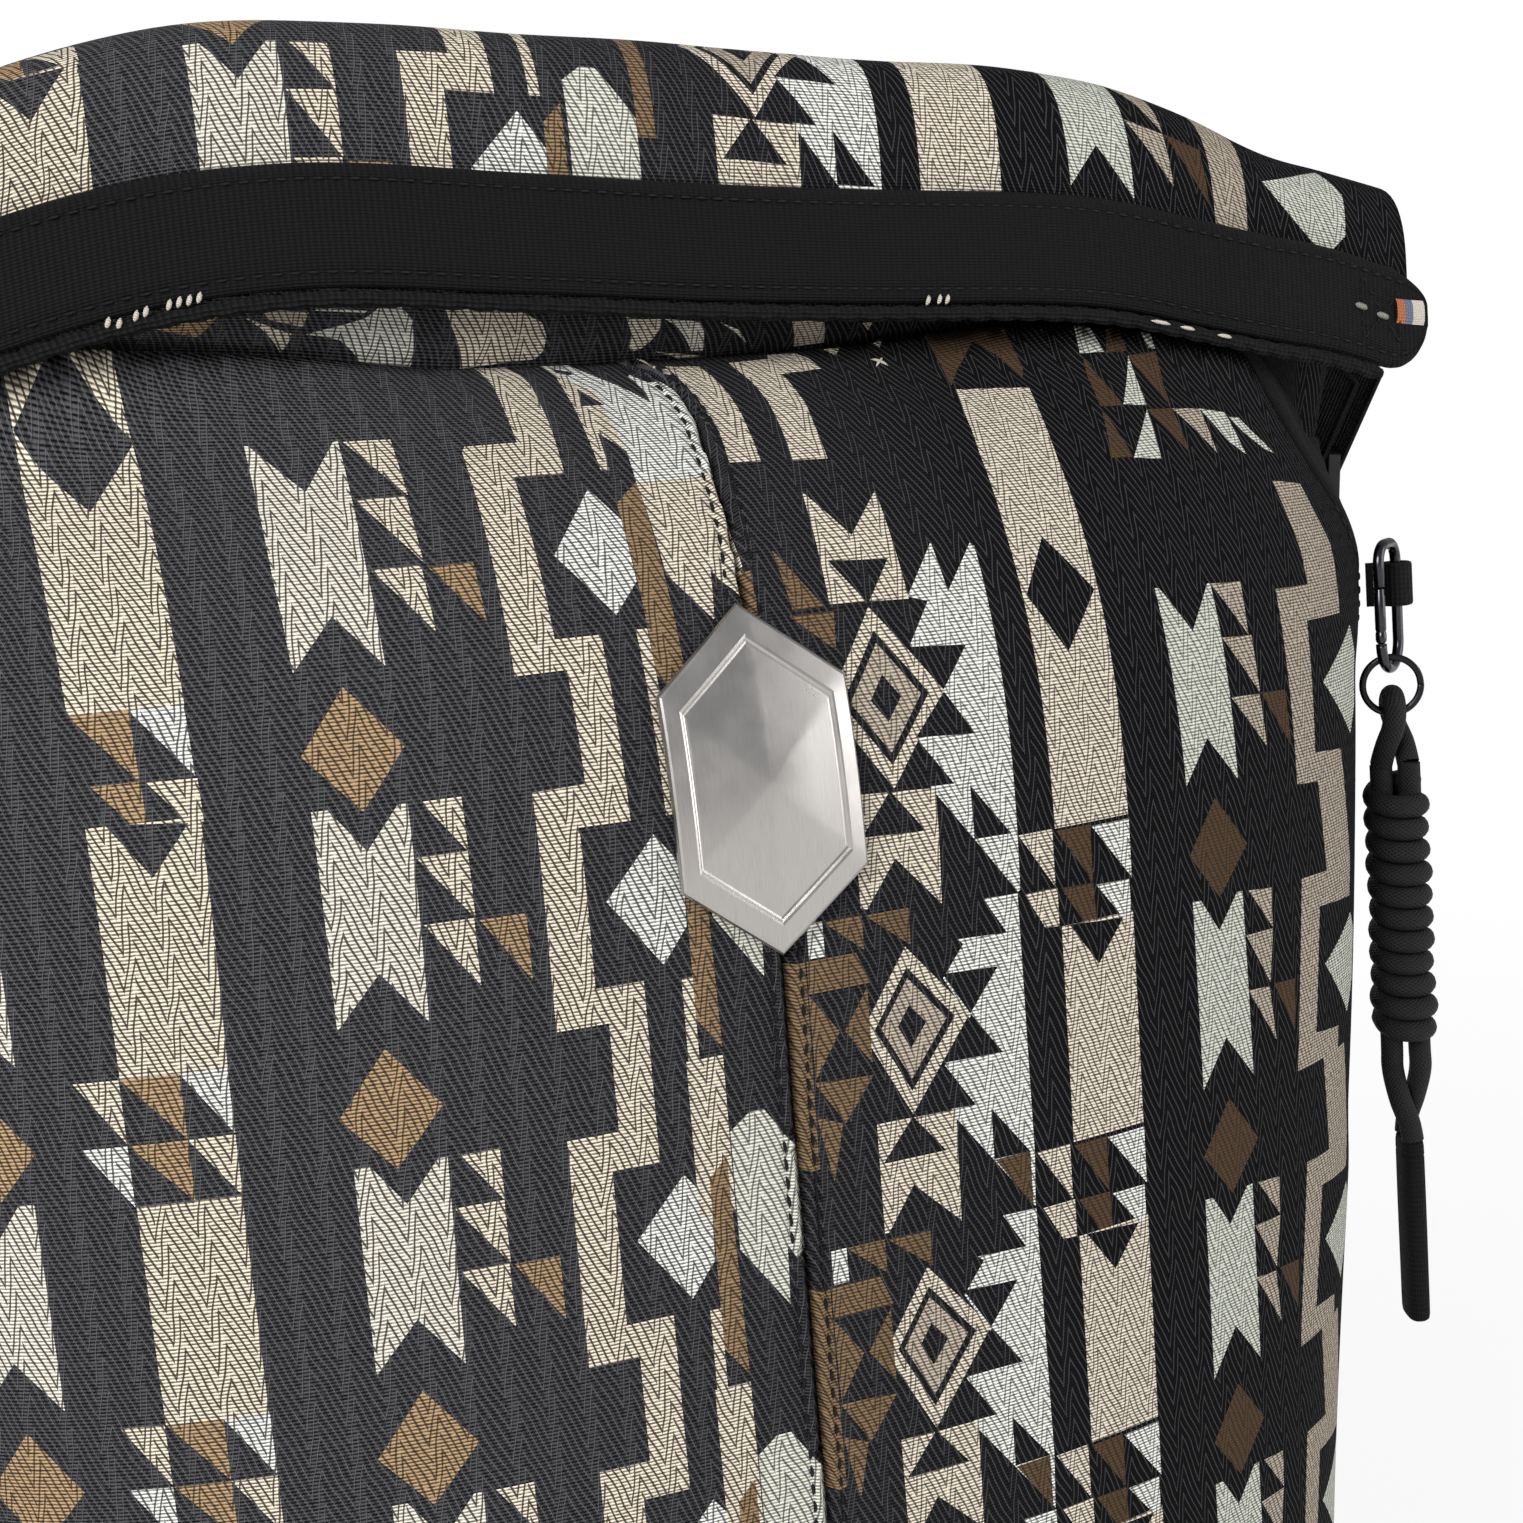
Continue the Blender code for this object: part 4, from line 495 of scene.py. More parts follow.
def ribbed(name, colour, pitch_across, pitch_along, rough, depth, flecks, solid=False):
    """Plain black webbing, grosgrain or gusset cloth, ribbed by pitches in millimetres."""
    material, tree, shader = nodes_of(name, colour, rough, specular=0.16)
    g = Graph(tree)
    uv, u, v = g.place() if solid else g.lay()
    total = g.noise(uv, 1.1, 3.0)
    patch = total
    for axis, pitch in ((u, pitch_across), (v, pitch_along)):
        if pitch:
            total = g.math("ADD", total, g.math("SINE", g.math("MULTIPLY", axis, 2 * pi / pitch)))
    light = tuple(min(c * 1.9 + 0.003, 1.0) for c in colour)
    mixed = g.mix(g.range(total, -0.6, 2.2, 0.0, flecks * 2), colour, light)
    g.feed(shader.inputs["Base Color"], mixed)
    g.feed(shader.inputs["Roughness"], g.range(patch, 0.2, 0.8, rough - 0.08, rough + 0.1))
    g.feed(shader.inputs["Normal"], g.bump(total, depth))
    return material


def moulded(name, colour, rough):
    """Moulded plastic with a fine grain and slightly paler rubbed places."""
    material, tree, shader = nodes_of(name, colour, rough, specular=0.2)
    g = Graph(tree)
    where = g.add("ShaderNodeTexCoord").outputs["Object"]
    grain = g.noise(where, 1800.0, 2.0)
    worn = g.noise(where, 90.0, 3.0)
    paler = tuple(c * 1.6 for c in colour)
    g.feed(shader.inputs["Base Color"], g.mix(g.range(worn, 0.45, 0.8), colour, paler))
    g.feed(shader.inputs["Roughness"], g.range(worn, 0.3, 0.7, rough - 0.08, rough + 0.12))
    edges = g.add("ShaderNodeBevel", samples=4)
    edges.inputs["Radius"].default_value = 0.0004
    g.feed(shader.inputs["Normal"], g.bump(grain, 0.00003, before=edges.outputs[0]))
    return material


def metal(name, colour, rough, brushed=False, along=(1.0, 1.0, 1.0)):
    """Plated metal with faint scratches, or brushed along one direction."""
    material, tree, shader = nodes_of(name, colour, rough, metallic=1.0)
    g = Graph(tree)
    where = g.lay()[0] if brushed else g.place()[0]
    lines = g.noise(g.stretched(where, along), 1.0, 4.0, 0.7)
    clouds = g.noise(where, 0.12, 3.0)
    darker = tuple(c * 0.80 for c in colour)
    g.feed(shader.inputs["Roughness"], g.range(clouds, 0.3, 0.7, rough - 0.04, rough + 0.07))
    g.feed(shader.inputs["Base Color"], g.mix(g.range(lines, 0.3, 0.8), colour, darker))
    g.feed(shader.inputs["Normal"], g.bump(lines, 0.000011 if brushed else 0.000006))
    return material


def braid(name, colour):
    """A round braided cord: two sets of strands that cross at a slant."""
    material, tree, shader = nodes_of(name, colour, 0.66, specular=0.22)
    g = Graph(tree)
    uv, u, v = g.lay()
    slants = (g.math(way, u, v) for way in ("ADD", "SUBTRACT"))
    first, second = (g.math("SINE", g.math("MULTIPLY", slant, 2 * pi / BRAID_PITCH)) for slant in slants)
    strands = g.math("ADD", g.math("MAXIMUM", first, second), g.math("MULTIPLY", g.noise(uv, 2.0, 2.0), 0.8))
    dark, light = (tuple(c * gain for c in colour) for gain in (0.5, 1.8))
    g.feed(shader.inputs["Base Color"], g.mix(g.range(strands, -0.2, 1.6), dark, light))
    g.feed(shader.inputs["Normal"], g.bump(strands, 0.00010))
    return material


# Each woven colour: near colour with painted light, far colour with painted shade, gaps between the picks,
# zigzag lines, and the strength of the lines near and far. The black has raised lines: their pitch, their
# height and its gloss follow
PATTERN_COLOURS = {
    # The black: much paler near than far, painted light at the left and painted shade at the right; its pale
    # zigzag lines are painted highlight
    "black": (
        (0.082, 0.082, 0.087), (0.0045, 0.0045, 0.0052), (0.0050, 0.0050, 0.0056), (0.210, 0.210, 0.218),
        (0.26, 0.22), ZIGZAG_PITCH, 2.6, 0.04,
    ),
    "cream": (
        (0.86, 0.765, 0.60), (0.86, 0.77, 0.62), (0.11, 0.09, 0.07), (0.040, 0.034, 0.028), (0.95, 0.80),
    ),
    "white": (
        (0.90, 0.90, 0.85), (0.95, 0.95, 0.88), (0.14, 0.14, 0.13), (0.050, 0.049, 0.046), (0.92, 0.72),
    ),
    "ivory": (
        (0.86, 0.81, 0.69), (0.84, 0.81, 0.71), (0.18, 0.165, 0.135), (0.044, 0.040, 0.034), (0.94, 0.76),
    ),
    "sage": (
        (0.84, 0.815, 0.71), (0.74, 0.765, 0.66), (0.19, 0.185, 0.155), (0.050, 0.048, 0.042), (0.92, 0.66),
    ),
    "tan": (
        (0.60, 0.51, 0.395), (0.56, 0.48, 0.38), (0.13, 0.108, 0.082), (0.040, 0.033, 0.027), (0.85, 0.70),
    ),
    # The brown: much paler near than far, painted light at the left and painted shade at the right
    "brown": (
        (0.50, 0.335, 0.185), (0.090, 0.049, 0.024), (0.050, 0.034, 0.021), (0.024, 0.018, 0.013),
        (0.80, 0.70),
    ),
}
CLOTHS = list(PATTERN_COLOURS)
M = {key: weave("cloth_" + key, *values) for key, values in PATTERN_COLOURS.items()}
M |= {
    "gusset": ribbed("cloth_gusset", (0.0080, 0.0080, 0.0086), 0.75, 0.45, 0.85, 0.00009, 0.22),
    "webbing": ribbed("cloth_webbing", (0.0050, 0.0050, 0.0056), 1.0, 0.8, 0.80, 0.00012, 0.18),
    "twill": ribbed("cloth_twill", (0.0042, 0.0042, 0.0048), 0.55, 1.1, 0.82, 0.00014, 0.3),
    "cordage": ribbed("cloth_cordage", (0.0052, 0.0052, 0.0058), 1.0, 1.2, 0.80, 0.00030, 0.6),
    "mesh": ribbed("cloth_mesh", (0.020, 0.020, 0.022), 2.2, 2.2, 0.85, 0.00045, 0.35),
    "lining_plain": ribbed("lining_plain", (0.090, 0.088, 0.084), 0.5, 0.5, 0.75, 0.00005, 0.2, solid=True),
    "rail": ribbed("rail_cloth", (0.010, 0.010, 0.011), 1.0, 0.8, 0.70, 0.00016, 0.3, solid=True),
    "thread": ribbed("thread_black", (0.006, 0.006, 0.007), 0.0, 0.35, 0.55, 0.00006, 0.3),
    "tab_rust": ribbed("tab_rust", (0.40, 0.135, 0.060), 0.6, 0.6, 0.7, 0.0001, 0.2),
    "tab_slate": ribbed("tab_slate", (0.130, 0.155, 0.225), 0.6, 0.6, 0.7, 0.0001, 0.2),
    "thread_pale": ribbed("thread_pale", (0.52, 0.475, 0.40), 0.0, 0.35, 0.6, 0.00006, 0.2),
    "plastic": moulded("plastic_black", (0.0065, 0.0065, 0.0072), 0.50),
    "thread_sage": ribbed("thread_sage", (0.20, 0.21, 0.17), 0.0, 0.35, 0.6, 0.00006, 0.2),
    "board": moulded("board_grey", (0.10, 0.10, 0.105), 0.6),
    "nickel": metal("nickel_satin", (0.52, 0.495, 0.47), 0.31, True, (9.0, 0.22, 1.0)),
    "gunmetal": metal("gunmetal_plate", (0.060, 0.060, 0.066), 0.24),
    "steel": metal("steel_black", (0.030, 0.030, 0.034), 0.30),
    "braid": braid("cord_braid", (0.0058, 0.0058, 0.0064)),
}

# Pieces


def set_lay(mesh, lay):
    """Gives each vertex of a mesh its millimetre coordinates."""
    layer = mesh.uv_layers.new(name="lay")
    loops = np.zeros(len(mesh.loops), np.int32)
    mesh.loops.foreach_get("vertex_index", loops)
    layer.data.foreach_set("uv", np.asarray(lay, np.float32)[loops].ravel())


def piece(name, points, faces, material, lay, body="bag", nodes=(), indices=None, slot=""):
    """Puts a mesh in the scene, riding on a CAD body. lay gives each vertex its millimetre coordinates."""
    data = bpy.data.meshes.new(name)
    data.from_pydata([tuple(p) for p in np.asarray(points, float)], [], faces)
    materials = material if isinstance(material, (list, tuple)) else [material]
    for key in materials:
        data.materials.append(M[key])
    if indices is not None:
        data.polygons.foreach_set("material_index", np.asarray(indices, np.int32))
    set_lay(data, lay)
    data.validate()
    data.polygons.foreach_set("use_smooth", [True] * len(data.polygons))
    data.update()
    thing = bpy.data.objects.new(name, data)
    scene.collection.objects.link(thing)
    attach(thing, body)
    if nodes:
        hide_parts(*nodes)
    if nodes or slot:
        slot or nodes[0]
    return thing


def grid_faces(rows, columns, closed=False, flip=False):
    """Four-sided faces between the rows of a grid of points."""
    faces = []
    for r in range(rows - 1):
        for c in range(columns if closed else columns - 1):
            d = (c + 1) % columns
            face = (r * columns + c, r * columns + d, (r + 1) * columns + d, (r + 1) * columns + c)
            faces.append(face[::-1] if flip else face)
    return faces


def tube_faces(rows, columns):
    """The faces of a tube made of rings of points, with both ends filled."""
    ends = [tuple(range(columns))[::-1], tuple(range((rows - 1) * columns, rows * columns))]
    return grid_faces(rows, columns, closed=True) + ends


def frames_along(path, across, level=False):
    """For each point of a path: its direction, the direction across it and the direction out of it."""
    path = np.asarray(path, float)
    ahead = unit(np.concatenate([path[1:2] - path[:1], path[2:] - path[:-2], path[-1:] - path[-2:-1]]))
    across = np.broadcast_to(np.asarray(across, float), path.shape)
    if level:
        ahead = unit(ahead - (across * ahead).sum(-1, keepdims=True) * across)
    side = unit(across - (across * ahead).sum(-1, keepdims=True) * ahead)
    return ahead, side, np.cross(ahead, side)


def lengths_along(path):
    """The way to each point of a path, in millimetres."""
    return np.concatenate([[0], np.cumsum(np.linalg.norm(np.diff(path, axis=0), axis=-1))]) * 1000


def sweep(path, across, section, scale=None, level=False):
    """Rings of points: a closed section of (across, out) pairs carried along a path."""
    _, side, out = frames_along(path, across, level)
    section = np.asarray(section, float)
    size = np.ones(len(path)) if scale is None else np.asarray(scale)
    if section.ndim == 2:
        section = np.broadcast_to(section, (len(path), *section.shape))
    ring = side[:, None] * section[..., :1] + out[:, None] * section[..., 1:]
    return path[:, None] + size[:, None, None] * ring


def swept(name, path, across, section, material, body="bag", nodes=(), scale=None, slot=""):
    """A solid along a path, closed at both ends."""
    path = np.asarray(path, float)
    rings = sweep(path, across, section, scale)
    section = np.asarray(section, float)
    section = section[0] if section.ndim == 3 else section
    step = np.linalg.norm(np.roll(section, -1, 0) - section, axis=-1) * 1000
    round_it = np.concatenate([[0], np.cumsum(step)[:-1]])
    lay = np.stack(np.meshgrid(round_it, lengths_along(path)), -1).reshape(-1, 2)
    faces = tube_faces(*rings.shape[:2])
    return piece(name, rings.reshape(-1, 3), faces, material, lay, body, nodes, slot=slot)


def round_section(radius, count):
    """A circle as a section."""
    turns = [2 * pi * i / count for i in range(count)]
    return [(radius * cos(t), radius * sin(t)) for t in turns]


def strap_section(width, thickness, edge=0.5, count=5):
    """A flat strap's section with rounded edges."""
    r = thickness / 2
    flat = width / 2 - r * edge * 2
    points = []
    for sign in (1, -1):
        for i in range(count):
            t = radians(-90 + 180 * i / (count - 1))
            points.append((sign * (flat + r * edge * 2 * cos(t)), sign * r * sin(t)))
        points += [(sign * flat * f, sign * r) for f in (0.75, 0.5, 0.25, 0.0, -0.25, -0.5, -0.75)]
    return points


def joined(name, parts, material, slot, body="bag"):
    """One piece from several (points, faces, lay) parts."""
    points, faces, lays = [], [], []
    start = 0
    for part_points, part_faces, part_lay in parts:
        points.append(part_points)
        lays.append(part_lay)
        faces += [tuple(i + start for i in face) for face in part_faces]
        start += len(part_points)
    return piece(name, np.concatenate(points), faces, material, np.concatenate(lays), body, slot=slot)


def stitch_parts(places, along, out, length, radius):
    """One small plump stitch at each place."""
    parts = []
    rings, sides = 5, 6
    for place, ahead, outward in zip(places, along, out):
        side = np.cross(ahead, outward)
        points, lay = [], []
        for i in range(rings):
            t = i / (rings - 1) * 2 - 1
            thick = radius * sqrt(max(1 - abs(t) ** 2.5, 0.04))
            centre = place + ahead * t * length / 2 + outward * radius * (0.45 - 0.9 * abs(t) ** 3)
            for k in range(sides):
                a = 2 * pi * k / sides
                points.append(centre + side * thick * cos(a) + outward * thick * sin(a))
                lay.append((k, t * length * 500))
        parts.append((np.array(points), tube_faces(rings, sides), np.array(lay)))
    return parts


def read_along(at, lengths, values):
    """Rows of three values, read at some lengths."""
    return np.stack([np.interp(at, lengths, values[:, i]) for i in range(3)], -1)


def stitch_row(name, path, out, pitch, length, radius, slot):
    """Stitches at an even pitch along a path, out of a surface whose outward directions are given."""
    path = np.asarray(path, float)
    out = np.broadcast_to(np.asarray(out, float), path.shape)
    total = lengths_along(path) / 1000
    spots = np.arange(pitch / 2, total[-1], pitch)
    normals = unit(read_along(spots, total, out))
    ahead = unit(read_along(spots + 0.0005, total, path) - read_along(spots - 0.0005, total, path))
    parts = stitch_parts(read_along(spots, total, path), ahead, normals, length, radius)
    return joined(name, parts, "thread", slot)


# Clip, rings and lanyard

TAB_LOW_Z = 0.3410
TAB_HIGH_Z = 0.3500
TAB_THICKNESS = 0.0012
TAB_BORE_RADIUS = 0.0021
CLIP_OUT = 0.0071
CLIP_FORWARD = 0.0051
CLIP_ABOVE_TAB = 0.0042
CLIP_WIRE = 0.0011
CLIP_WIDTH = 0.0110
CLIP_HEIGHT = 0.0255
CLIP_CORNER = 0.0040
GATE_LENGTH = 0.0104
SPLIT_RADIUS = 0.0058
SPLIT_WIRE = 0.00075
COIL_RADIUS = 0.00040
COIL_SHIFT = 0.00038
SLEEVE_LENGTH = 0.0400
SLEEVE_WAY = (0.38, 0.92, 0.0)
SLEEVE_HALF_WIDTH = 0.0026
SLEEVE_HALF_DEPTH = 0.0051
CLIP_SIDE = unit(np.array([-0.82, -0.57, 0.0]))
CLIP_FACE = np.cross(CLIP_SIDE, UP)
SPLIT_SIDE = unit(np.array([0.85, -0.53, 0.0]))
SPLIT_FACE = np.array([SPLIT_SIDE[1], -SPLIT_SIDE[0], 0.0])
TAB_ROOT = skin(SIDE_SEAM_ANGLE, (TAB_LOW_Z + TAB_HIGH_Z) / 2)
CLIP_PIVOT = np.array([TAB_ROOT[0] + CLIP_OUT, TAB_ROOT[1] - CLIP_FORWARD, TAB_HIGH_Z + CLIP_ABOVE_TAB])
CLIP_LOW = CLIP_PIVOT + CLIP_SIDE * CLIP_WIDTH / 2 - UP * CLIP_HEIGHT
SPLIT_CENTRE = CLIP_LOW + UP * (CLIP_WIRE + SPLIT_WIRE + GAP - SPLIT_RADIUS)
SPLIT_LOW = SPLIT_CENTRE - UP * SPLIT_RADIUS
GATE_PIVOT = CLIP_PIVOT + CLIP_SIDE * CLIP_WIDTH - UP * (CLIP_HEIGHT - CLIP_WIDTH / 2 - 0.0011)
LOOP_ROUTE = (
    (-0.0026, 0.0012, -0.0126), (-0.0026, 0.0010, -0.0105), (-0.0027, -0.0010, -0.0065),
    (-0.0022, -0.0026, -0.0030), (-0.0018, -0.0030, 0.0000), (-0.0012, -0.0022, 0.0024),
    (0.0000, 0.0000, 0.0036), (0.0012, 0.0022, 0.0024), (0.0018, 0.0030, 0.0000), (0.0024, 0.0024, -0.0030),
    (0.0029, 0.0008, -0.0065), (0.0026, -0.0010, -0.0105), (0.0026, -0.0012, -0.0126),
)
TAIL_ROUTE = (
    (0.0026, -0.0012, -0.0003), (0.0026, -0.0012, -0.0060), (0.0027, 0.0010, -0.0120),
    (0.0016, 0.0023, -0.0170), (0.0011, 0.0026, -0.0208),
)

# The sleeve from its top, share 0, to its end, with its size there: a hem's groove, then a rounded end
SLEEVE_SHAPE = (
    (0.0, 0.84), (0.004, 0.93), (0.03, 0.98), (0.07, 0.99), (0.075, 0.94), (0.085, 0.94), (0.09, 0.99),
    (0.3, 1.0), (0.5, 1.0), (0.7, 0.99), (0.9, 0.985), (0.96, 0.975), (0.985, 0.93), (1.0, 0.76),
)


def lanyard():
    """The cord's loop over the ring, the wrapped knot, two tails and the sleeve that holds them."""
    foot = np.array([SPLIT_LOW[0], SPLIT_LOW[1], KNOT_LOW_Z])
    crown = len(LOOP_ROUTE) // 2
    strands = []
    halves = (("front", 1, LOOP_ROUTE[crown - 1 :]), ("rear", -1, LOOP_ROUTE[crown + 1 :: -1]))
    for word, side, half in halves:
        knots = [SPLIT_LOW + np.array(p) for p in half]
        tail = [foot + np.array([side * x, side * y, z]) for x, y, z in TAIL_ROUTE]
        knots += [knots[-1] + (tail[0] - knots[-1]) * t for t in (0.33, 0.67)] + tail
        route = smooth_path(knots, 8)
        nodes = ("lanyard_loop", "lanyard_tail_front") if side > 0 else ("lanyard_tail_rear",)
        section = round_section(CORD_RADIUS, 20)
        cord = swept("lanyard_cord_" + word, route, (0.93, 0.2, 0.3), section, "braid", "lanyard", nodes)
        strands.append((cord, route))

    turns = np.linspace(0, KNOT_TURNS - 0.96, 24 * KNOT_TURNS)
    middle = KNOT_RADIUS - CORD_RADIUS
    height = KNOT_TOP_Z - CORD_RADIUS - turns * KNOT_PITCH
    # The wraps are a little uneven, wider near the end and tight at the last turn
    swell = 1 + 0.035 * np.sin(turns * 2.1) + 0.03 * np.sin(turns * 5.3 + 1)
    for last, size in ((3.2, 1.04), (1.6, 0.93)):
        swell = swell * np.where(turns > KNOT_TURNS - last, size, 1.0)
    angle = 2 * pi * turns
    x, y = SPLIT_LOW[0] + middle * swell * np.cos(angle), SPLIT_LOW[1] + middle * swell * np.sin(angle)
    helix = np.stack([x, y, height], -1)
    helix[:, 2] += KNOT_SLANT * np.cos(angle - 0.6)
    section = round_section(CORD_RADIUS * 1.03, 16)
    knot = swept("lanyard_wraps", helix, UP, section, "braid", "lanyard", ("lanyard_knot",))

    along = unit(np.array(SLEEVE_WAY))
    top = foot[2] + TAIL_ROUTE[-1][2] - GAP
    path = [foot * (1, 1, 0) + UP * (top - SLEEVE_LENGTH * share) for share, _ in SLEEVE_SHAPE]
    sizes = [size for _, size in SLEEVE_SHAPE]
    section = []
    for i in range(28):
        t = 2 * pi * i / 28
        a, b = copysign(abs(cos(t)) ** 0.75, cos(t)), copysign(abs(sin(t)) ** 0.75, sin(t))
        section.append((a * SLEEVE_HALF_DEPTH * 0.99, b * SLEEVE_HALF_WIDTH * 0.97))
    sleeve = swept("lanyard_hem", path, along, section, "twill", "lanyard", ("lanyard_sleeve",), scale=sizes)
    for (cord, route), far_end, carried in zip(strands, ("knot", "fitting"), (knot, sleeve)):
        round(float(lengths_along(route)[-1]) / 1000, 4)
        [tuple(p) for p in route]


def clip_arc(centre, radius, start, end, steps):
    """Points on an arc in the clip's plane."""
    turns = np.radians(np.linspace(start, end, steps + 1))
    return list(centre + radius * (np.cos(turns)[:, None] * CLIP_SIDE + np.sin(turns)[:, None] * UP))


def clip():
    """The oval wire, its gate, the round split ring and the ribbon tab that holds them."""
    far = CLIP_PIVOT + CLIP_SIDE * CLIP_WIDTH
    path = [GATE_PIVOT + UP * (GATE_LENGTH + GAP)]
    path += clip_arc(far - UP * CLIP_CORNER - CLIP_SIDE * CLIP_CORNER, CLIP_CORNER, 0, 90, 12)
    path += clip_arc(CLIP_PIVOT - UP * CLIP_CORNER + CLIP_SIDE * CLIP_CORNER, CLIP_CORNER, 90, 180, 12)
    path += clip_arc(CLIP_LOW + UP * CLIP_WIDTH / 2, CLIP_WIDTH / 2, 180, 360, 32)
    path.append(GATE_PIVOT - UP * (CLIP_WIRE + GAP))
    swept("clip_wire", path, CLIP_FACE, round_section(CLIP_WIRE, 20), "gunmetal", "clip", ("clip_ring",))

    # The gate: a round foot, a groove, the rod and a narrower nose
    rod = [(-CLIP_WIRE * cos(radians(a)), sin(radians(a))) for a in range(10, 91, 10)]
    rod += [(0.0012, 1.0), (0.0014, 0.9), (0.0018, 0.9), (0.0020, 1.0), (GATE_LENGTH * 0.5, 1.0)]
    nose = ((0.0016, 1.0), (0.0013, 0.88), (0.0003, 0.88), (0.0, 0.75))
    rod += [(GATE_LENGTH - short, size) for short, size in nose]
    path = [GATE_PIVOT + UP * height for height, _ in rod]
    radii = [size for _, size in rod]
    section = round_section(CLIP_WIRE, 20)
    swept("clip_gate_rod", path, CLIP_SIDE, section, "gunmetal", "gate", ("clip_gate",), scale=radii)

    turns = np.linspace(0, 4 * pi, 121)
    shift = COIL_SHIFT * np.tanh((turns - 2 * pi) * 1.6)
    coil = SPLIT_CENTRE + SPLIT_RADIUS * (np.cos(turns)[:, None] * SPLIT_SIDE + np.sin(turns)[:, None] * UP)
    coil = coil + shift[:, None] * SPLIT_FACE
    section = [(a * 0.9, b * 1.7) for a, b in round_section(COIL_RADIUS, 12)]
    swept("split_coil", coil, SPLIT_FACE, section, "steel", "key_ring", ("split_ring",))

    reach = np.array([CLIP_PIVOT[0] - TAB_ROOT[0], CLIP_PIVOT[1] - TAB_ROOT[1], 0.0])
    along = unit(reach)
    across = np.array([-along[1], along[0], 0.0])
    start = 2 * TAB_THICKNESS + GAP - np.linalg.norm(reach)
    half = TAB_THICKNESS / 2
    ring = TAB_BORE_RADIUS + half
    flat = [(start, -half), (-ring * 1.25, -half * 1.2)]
    flat += [(ring * cos(radians(a)), ring * sin(radians(a))) for a in range(-120, 121, 20)]
    flat += [(-ring * 1.25, half * 1.2), (start, half)]
    eye = np.array([CLIP_PIVOT[0], CLIP_PIVOT[1], (TAB_LOW_Z + TAB_HIGH_Z) / 2])
    path = smooth_path([eye + along * a + across * b for a, b in flat], 4)
    section = strap_section(TAB_HIGH_Z - TAB_LOW_Z, TAB_THICKNESS * 0.96)
    swept("clip_ribbon", path, UP, section, "webbing", "bag", ("clip_tab",))


lanyard()
clip()

# The woven pattern: outlines in millimetres on the front cloth. A later one covers an earlier one

REPEAT = 57.3
LOWEST_V = -112.0
SHAPES = []


def shape(colour, *points, again=False, mirror=None):
    """A field of one colour. again repeats it down the cloth, and mirror adds a copy about a line."""
    drops = [0.0]
    while again and max(p[1] for p in points) - REPEAT * len(drops) > LOWEST_V:
        drops.append(REPEAT * len(drops))
    for drop in drops:
        SHAPES.append((colour, [(u, v - drop) for u, v in points]))
        if mirror is not None:
            SHAPES.append((colour, [(2 * mirror - u, v - drop) for u, v in points]))


def corner(colour, left, top, right, bottom, again=False):
    """A triangle with its right angle at the upper right."""
    shape(colour, (left, top), (right, top), (right, bottom), again=again)


def box(colour, left, top, right, bottom, again=False):
    """An upright rectangle."""
    shape(colour, (left, top), (right, top), (right, bottom), (left, bottom), again=again)


# Broad column at the left, with two rows of corner triangles in each repeat
LEFT_MIDDLE = -97.8
shape(
    "cream", (-106.7, LOWEST_V), (-90.6, LOWEST_V), (-90.4, 175), (-89.3, 231), (-88.8, 283), (-90, 307),
    (-106.7, 307),
)
shape("black", (-97.5, 276.3), (-88.7, 287.4), (-97.7, 296.5), (-106.7, 287))
box("black", -106.7, 242.8, -89.0, 225.4)
corner("brown", -106.7, 242.8, -97.6, 231.7)
corner("white", -97.6, 242.8, -89.3, 231.7)
shape("brown", (-105, 231.7), (-97.5, 231.7), (-97.5, 225.4), (-99.8, 225.4))
shape("cream", (-96.7, 231.5), (-89, 231.3), (-89, 224.6), (-91.3, 224.6))
shape("black", (-103.8, 225.7), (-97.7, 216.8), (-91.3, 224.6))
box("black", -114.0, 185.7, -90.2, 165.0, again=True)
corner("cream", -114.0, 185.7, -106.9, 175.4, again=True)
corner("brown", -106.7, 185.7, -97.6, 175.2, again=True)
corner("white", -97.6, 185.7, -90.3, 175.2, again=True)
corner("white", -114.0, 175.0, -106.9, 165.0, again=True)
corner("brown", -106.7, 175.0, -97.6, 165.0, again=True)
corner("cream", -97.6, 175.0, -90.3, 165.0, again=True)

# Pale bar with swallowtails, its diamonds and triangles
shape(
    "ivory", (-71.9, 286.4), (-71.2, 286.3), (-64.2, 277.3), (-57.7, 286.5), (-56.9, 286.7), (-57.9, 262),
    (-58.1, 245.4), (-64.8, 254.3), (-72.3, 245.8), (-72.5, 262),
)
shape(
    "ivory", (-72.9, 224), (-70.4, 224), (-65.2, 216.9), (-59.6, 223.6), (-58.1, 223.6), (-58.7, 188.7),
    (-65.6, 197.5), (-73, 189.2), again=True, mirror=LEFT_MIDDLE,
)
shape("brown", (-65.2, 242.8), (-57.2, 232.5), (-65, 223.1), (-73.2, 232.7), mirror=LEFT_MIDDLE)
shape("brown", (-66, 185.4), (-57.9, 175), (-66.1, 165.6), (-74.3, 175), again=True, mirror=LEFT_MIDDLE)
corner("cream", -56.1, 286.4, -48.4, 274.8)
corner("cream", -57.0, 274.7, -48.8, 261.9)
corner("cream", -57.3, 261.5, -49.3, 250)
corner("brown", -48.3, 261, -41, 250.4)
corner("cream", -56, 223.5, -49.7, 214.8, again=True)
corner("cream", -57.9, 214.9, -49.8, 204.2, again=True)
corner("cream", -57.9, 204.2, -50, 193.3, again=True)
corner("brown", -49.2, 203.8, -41.7, 192.9, again=True)

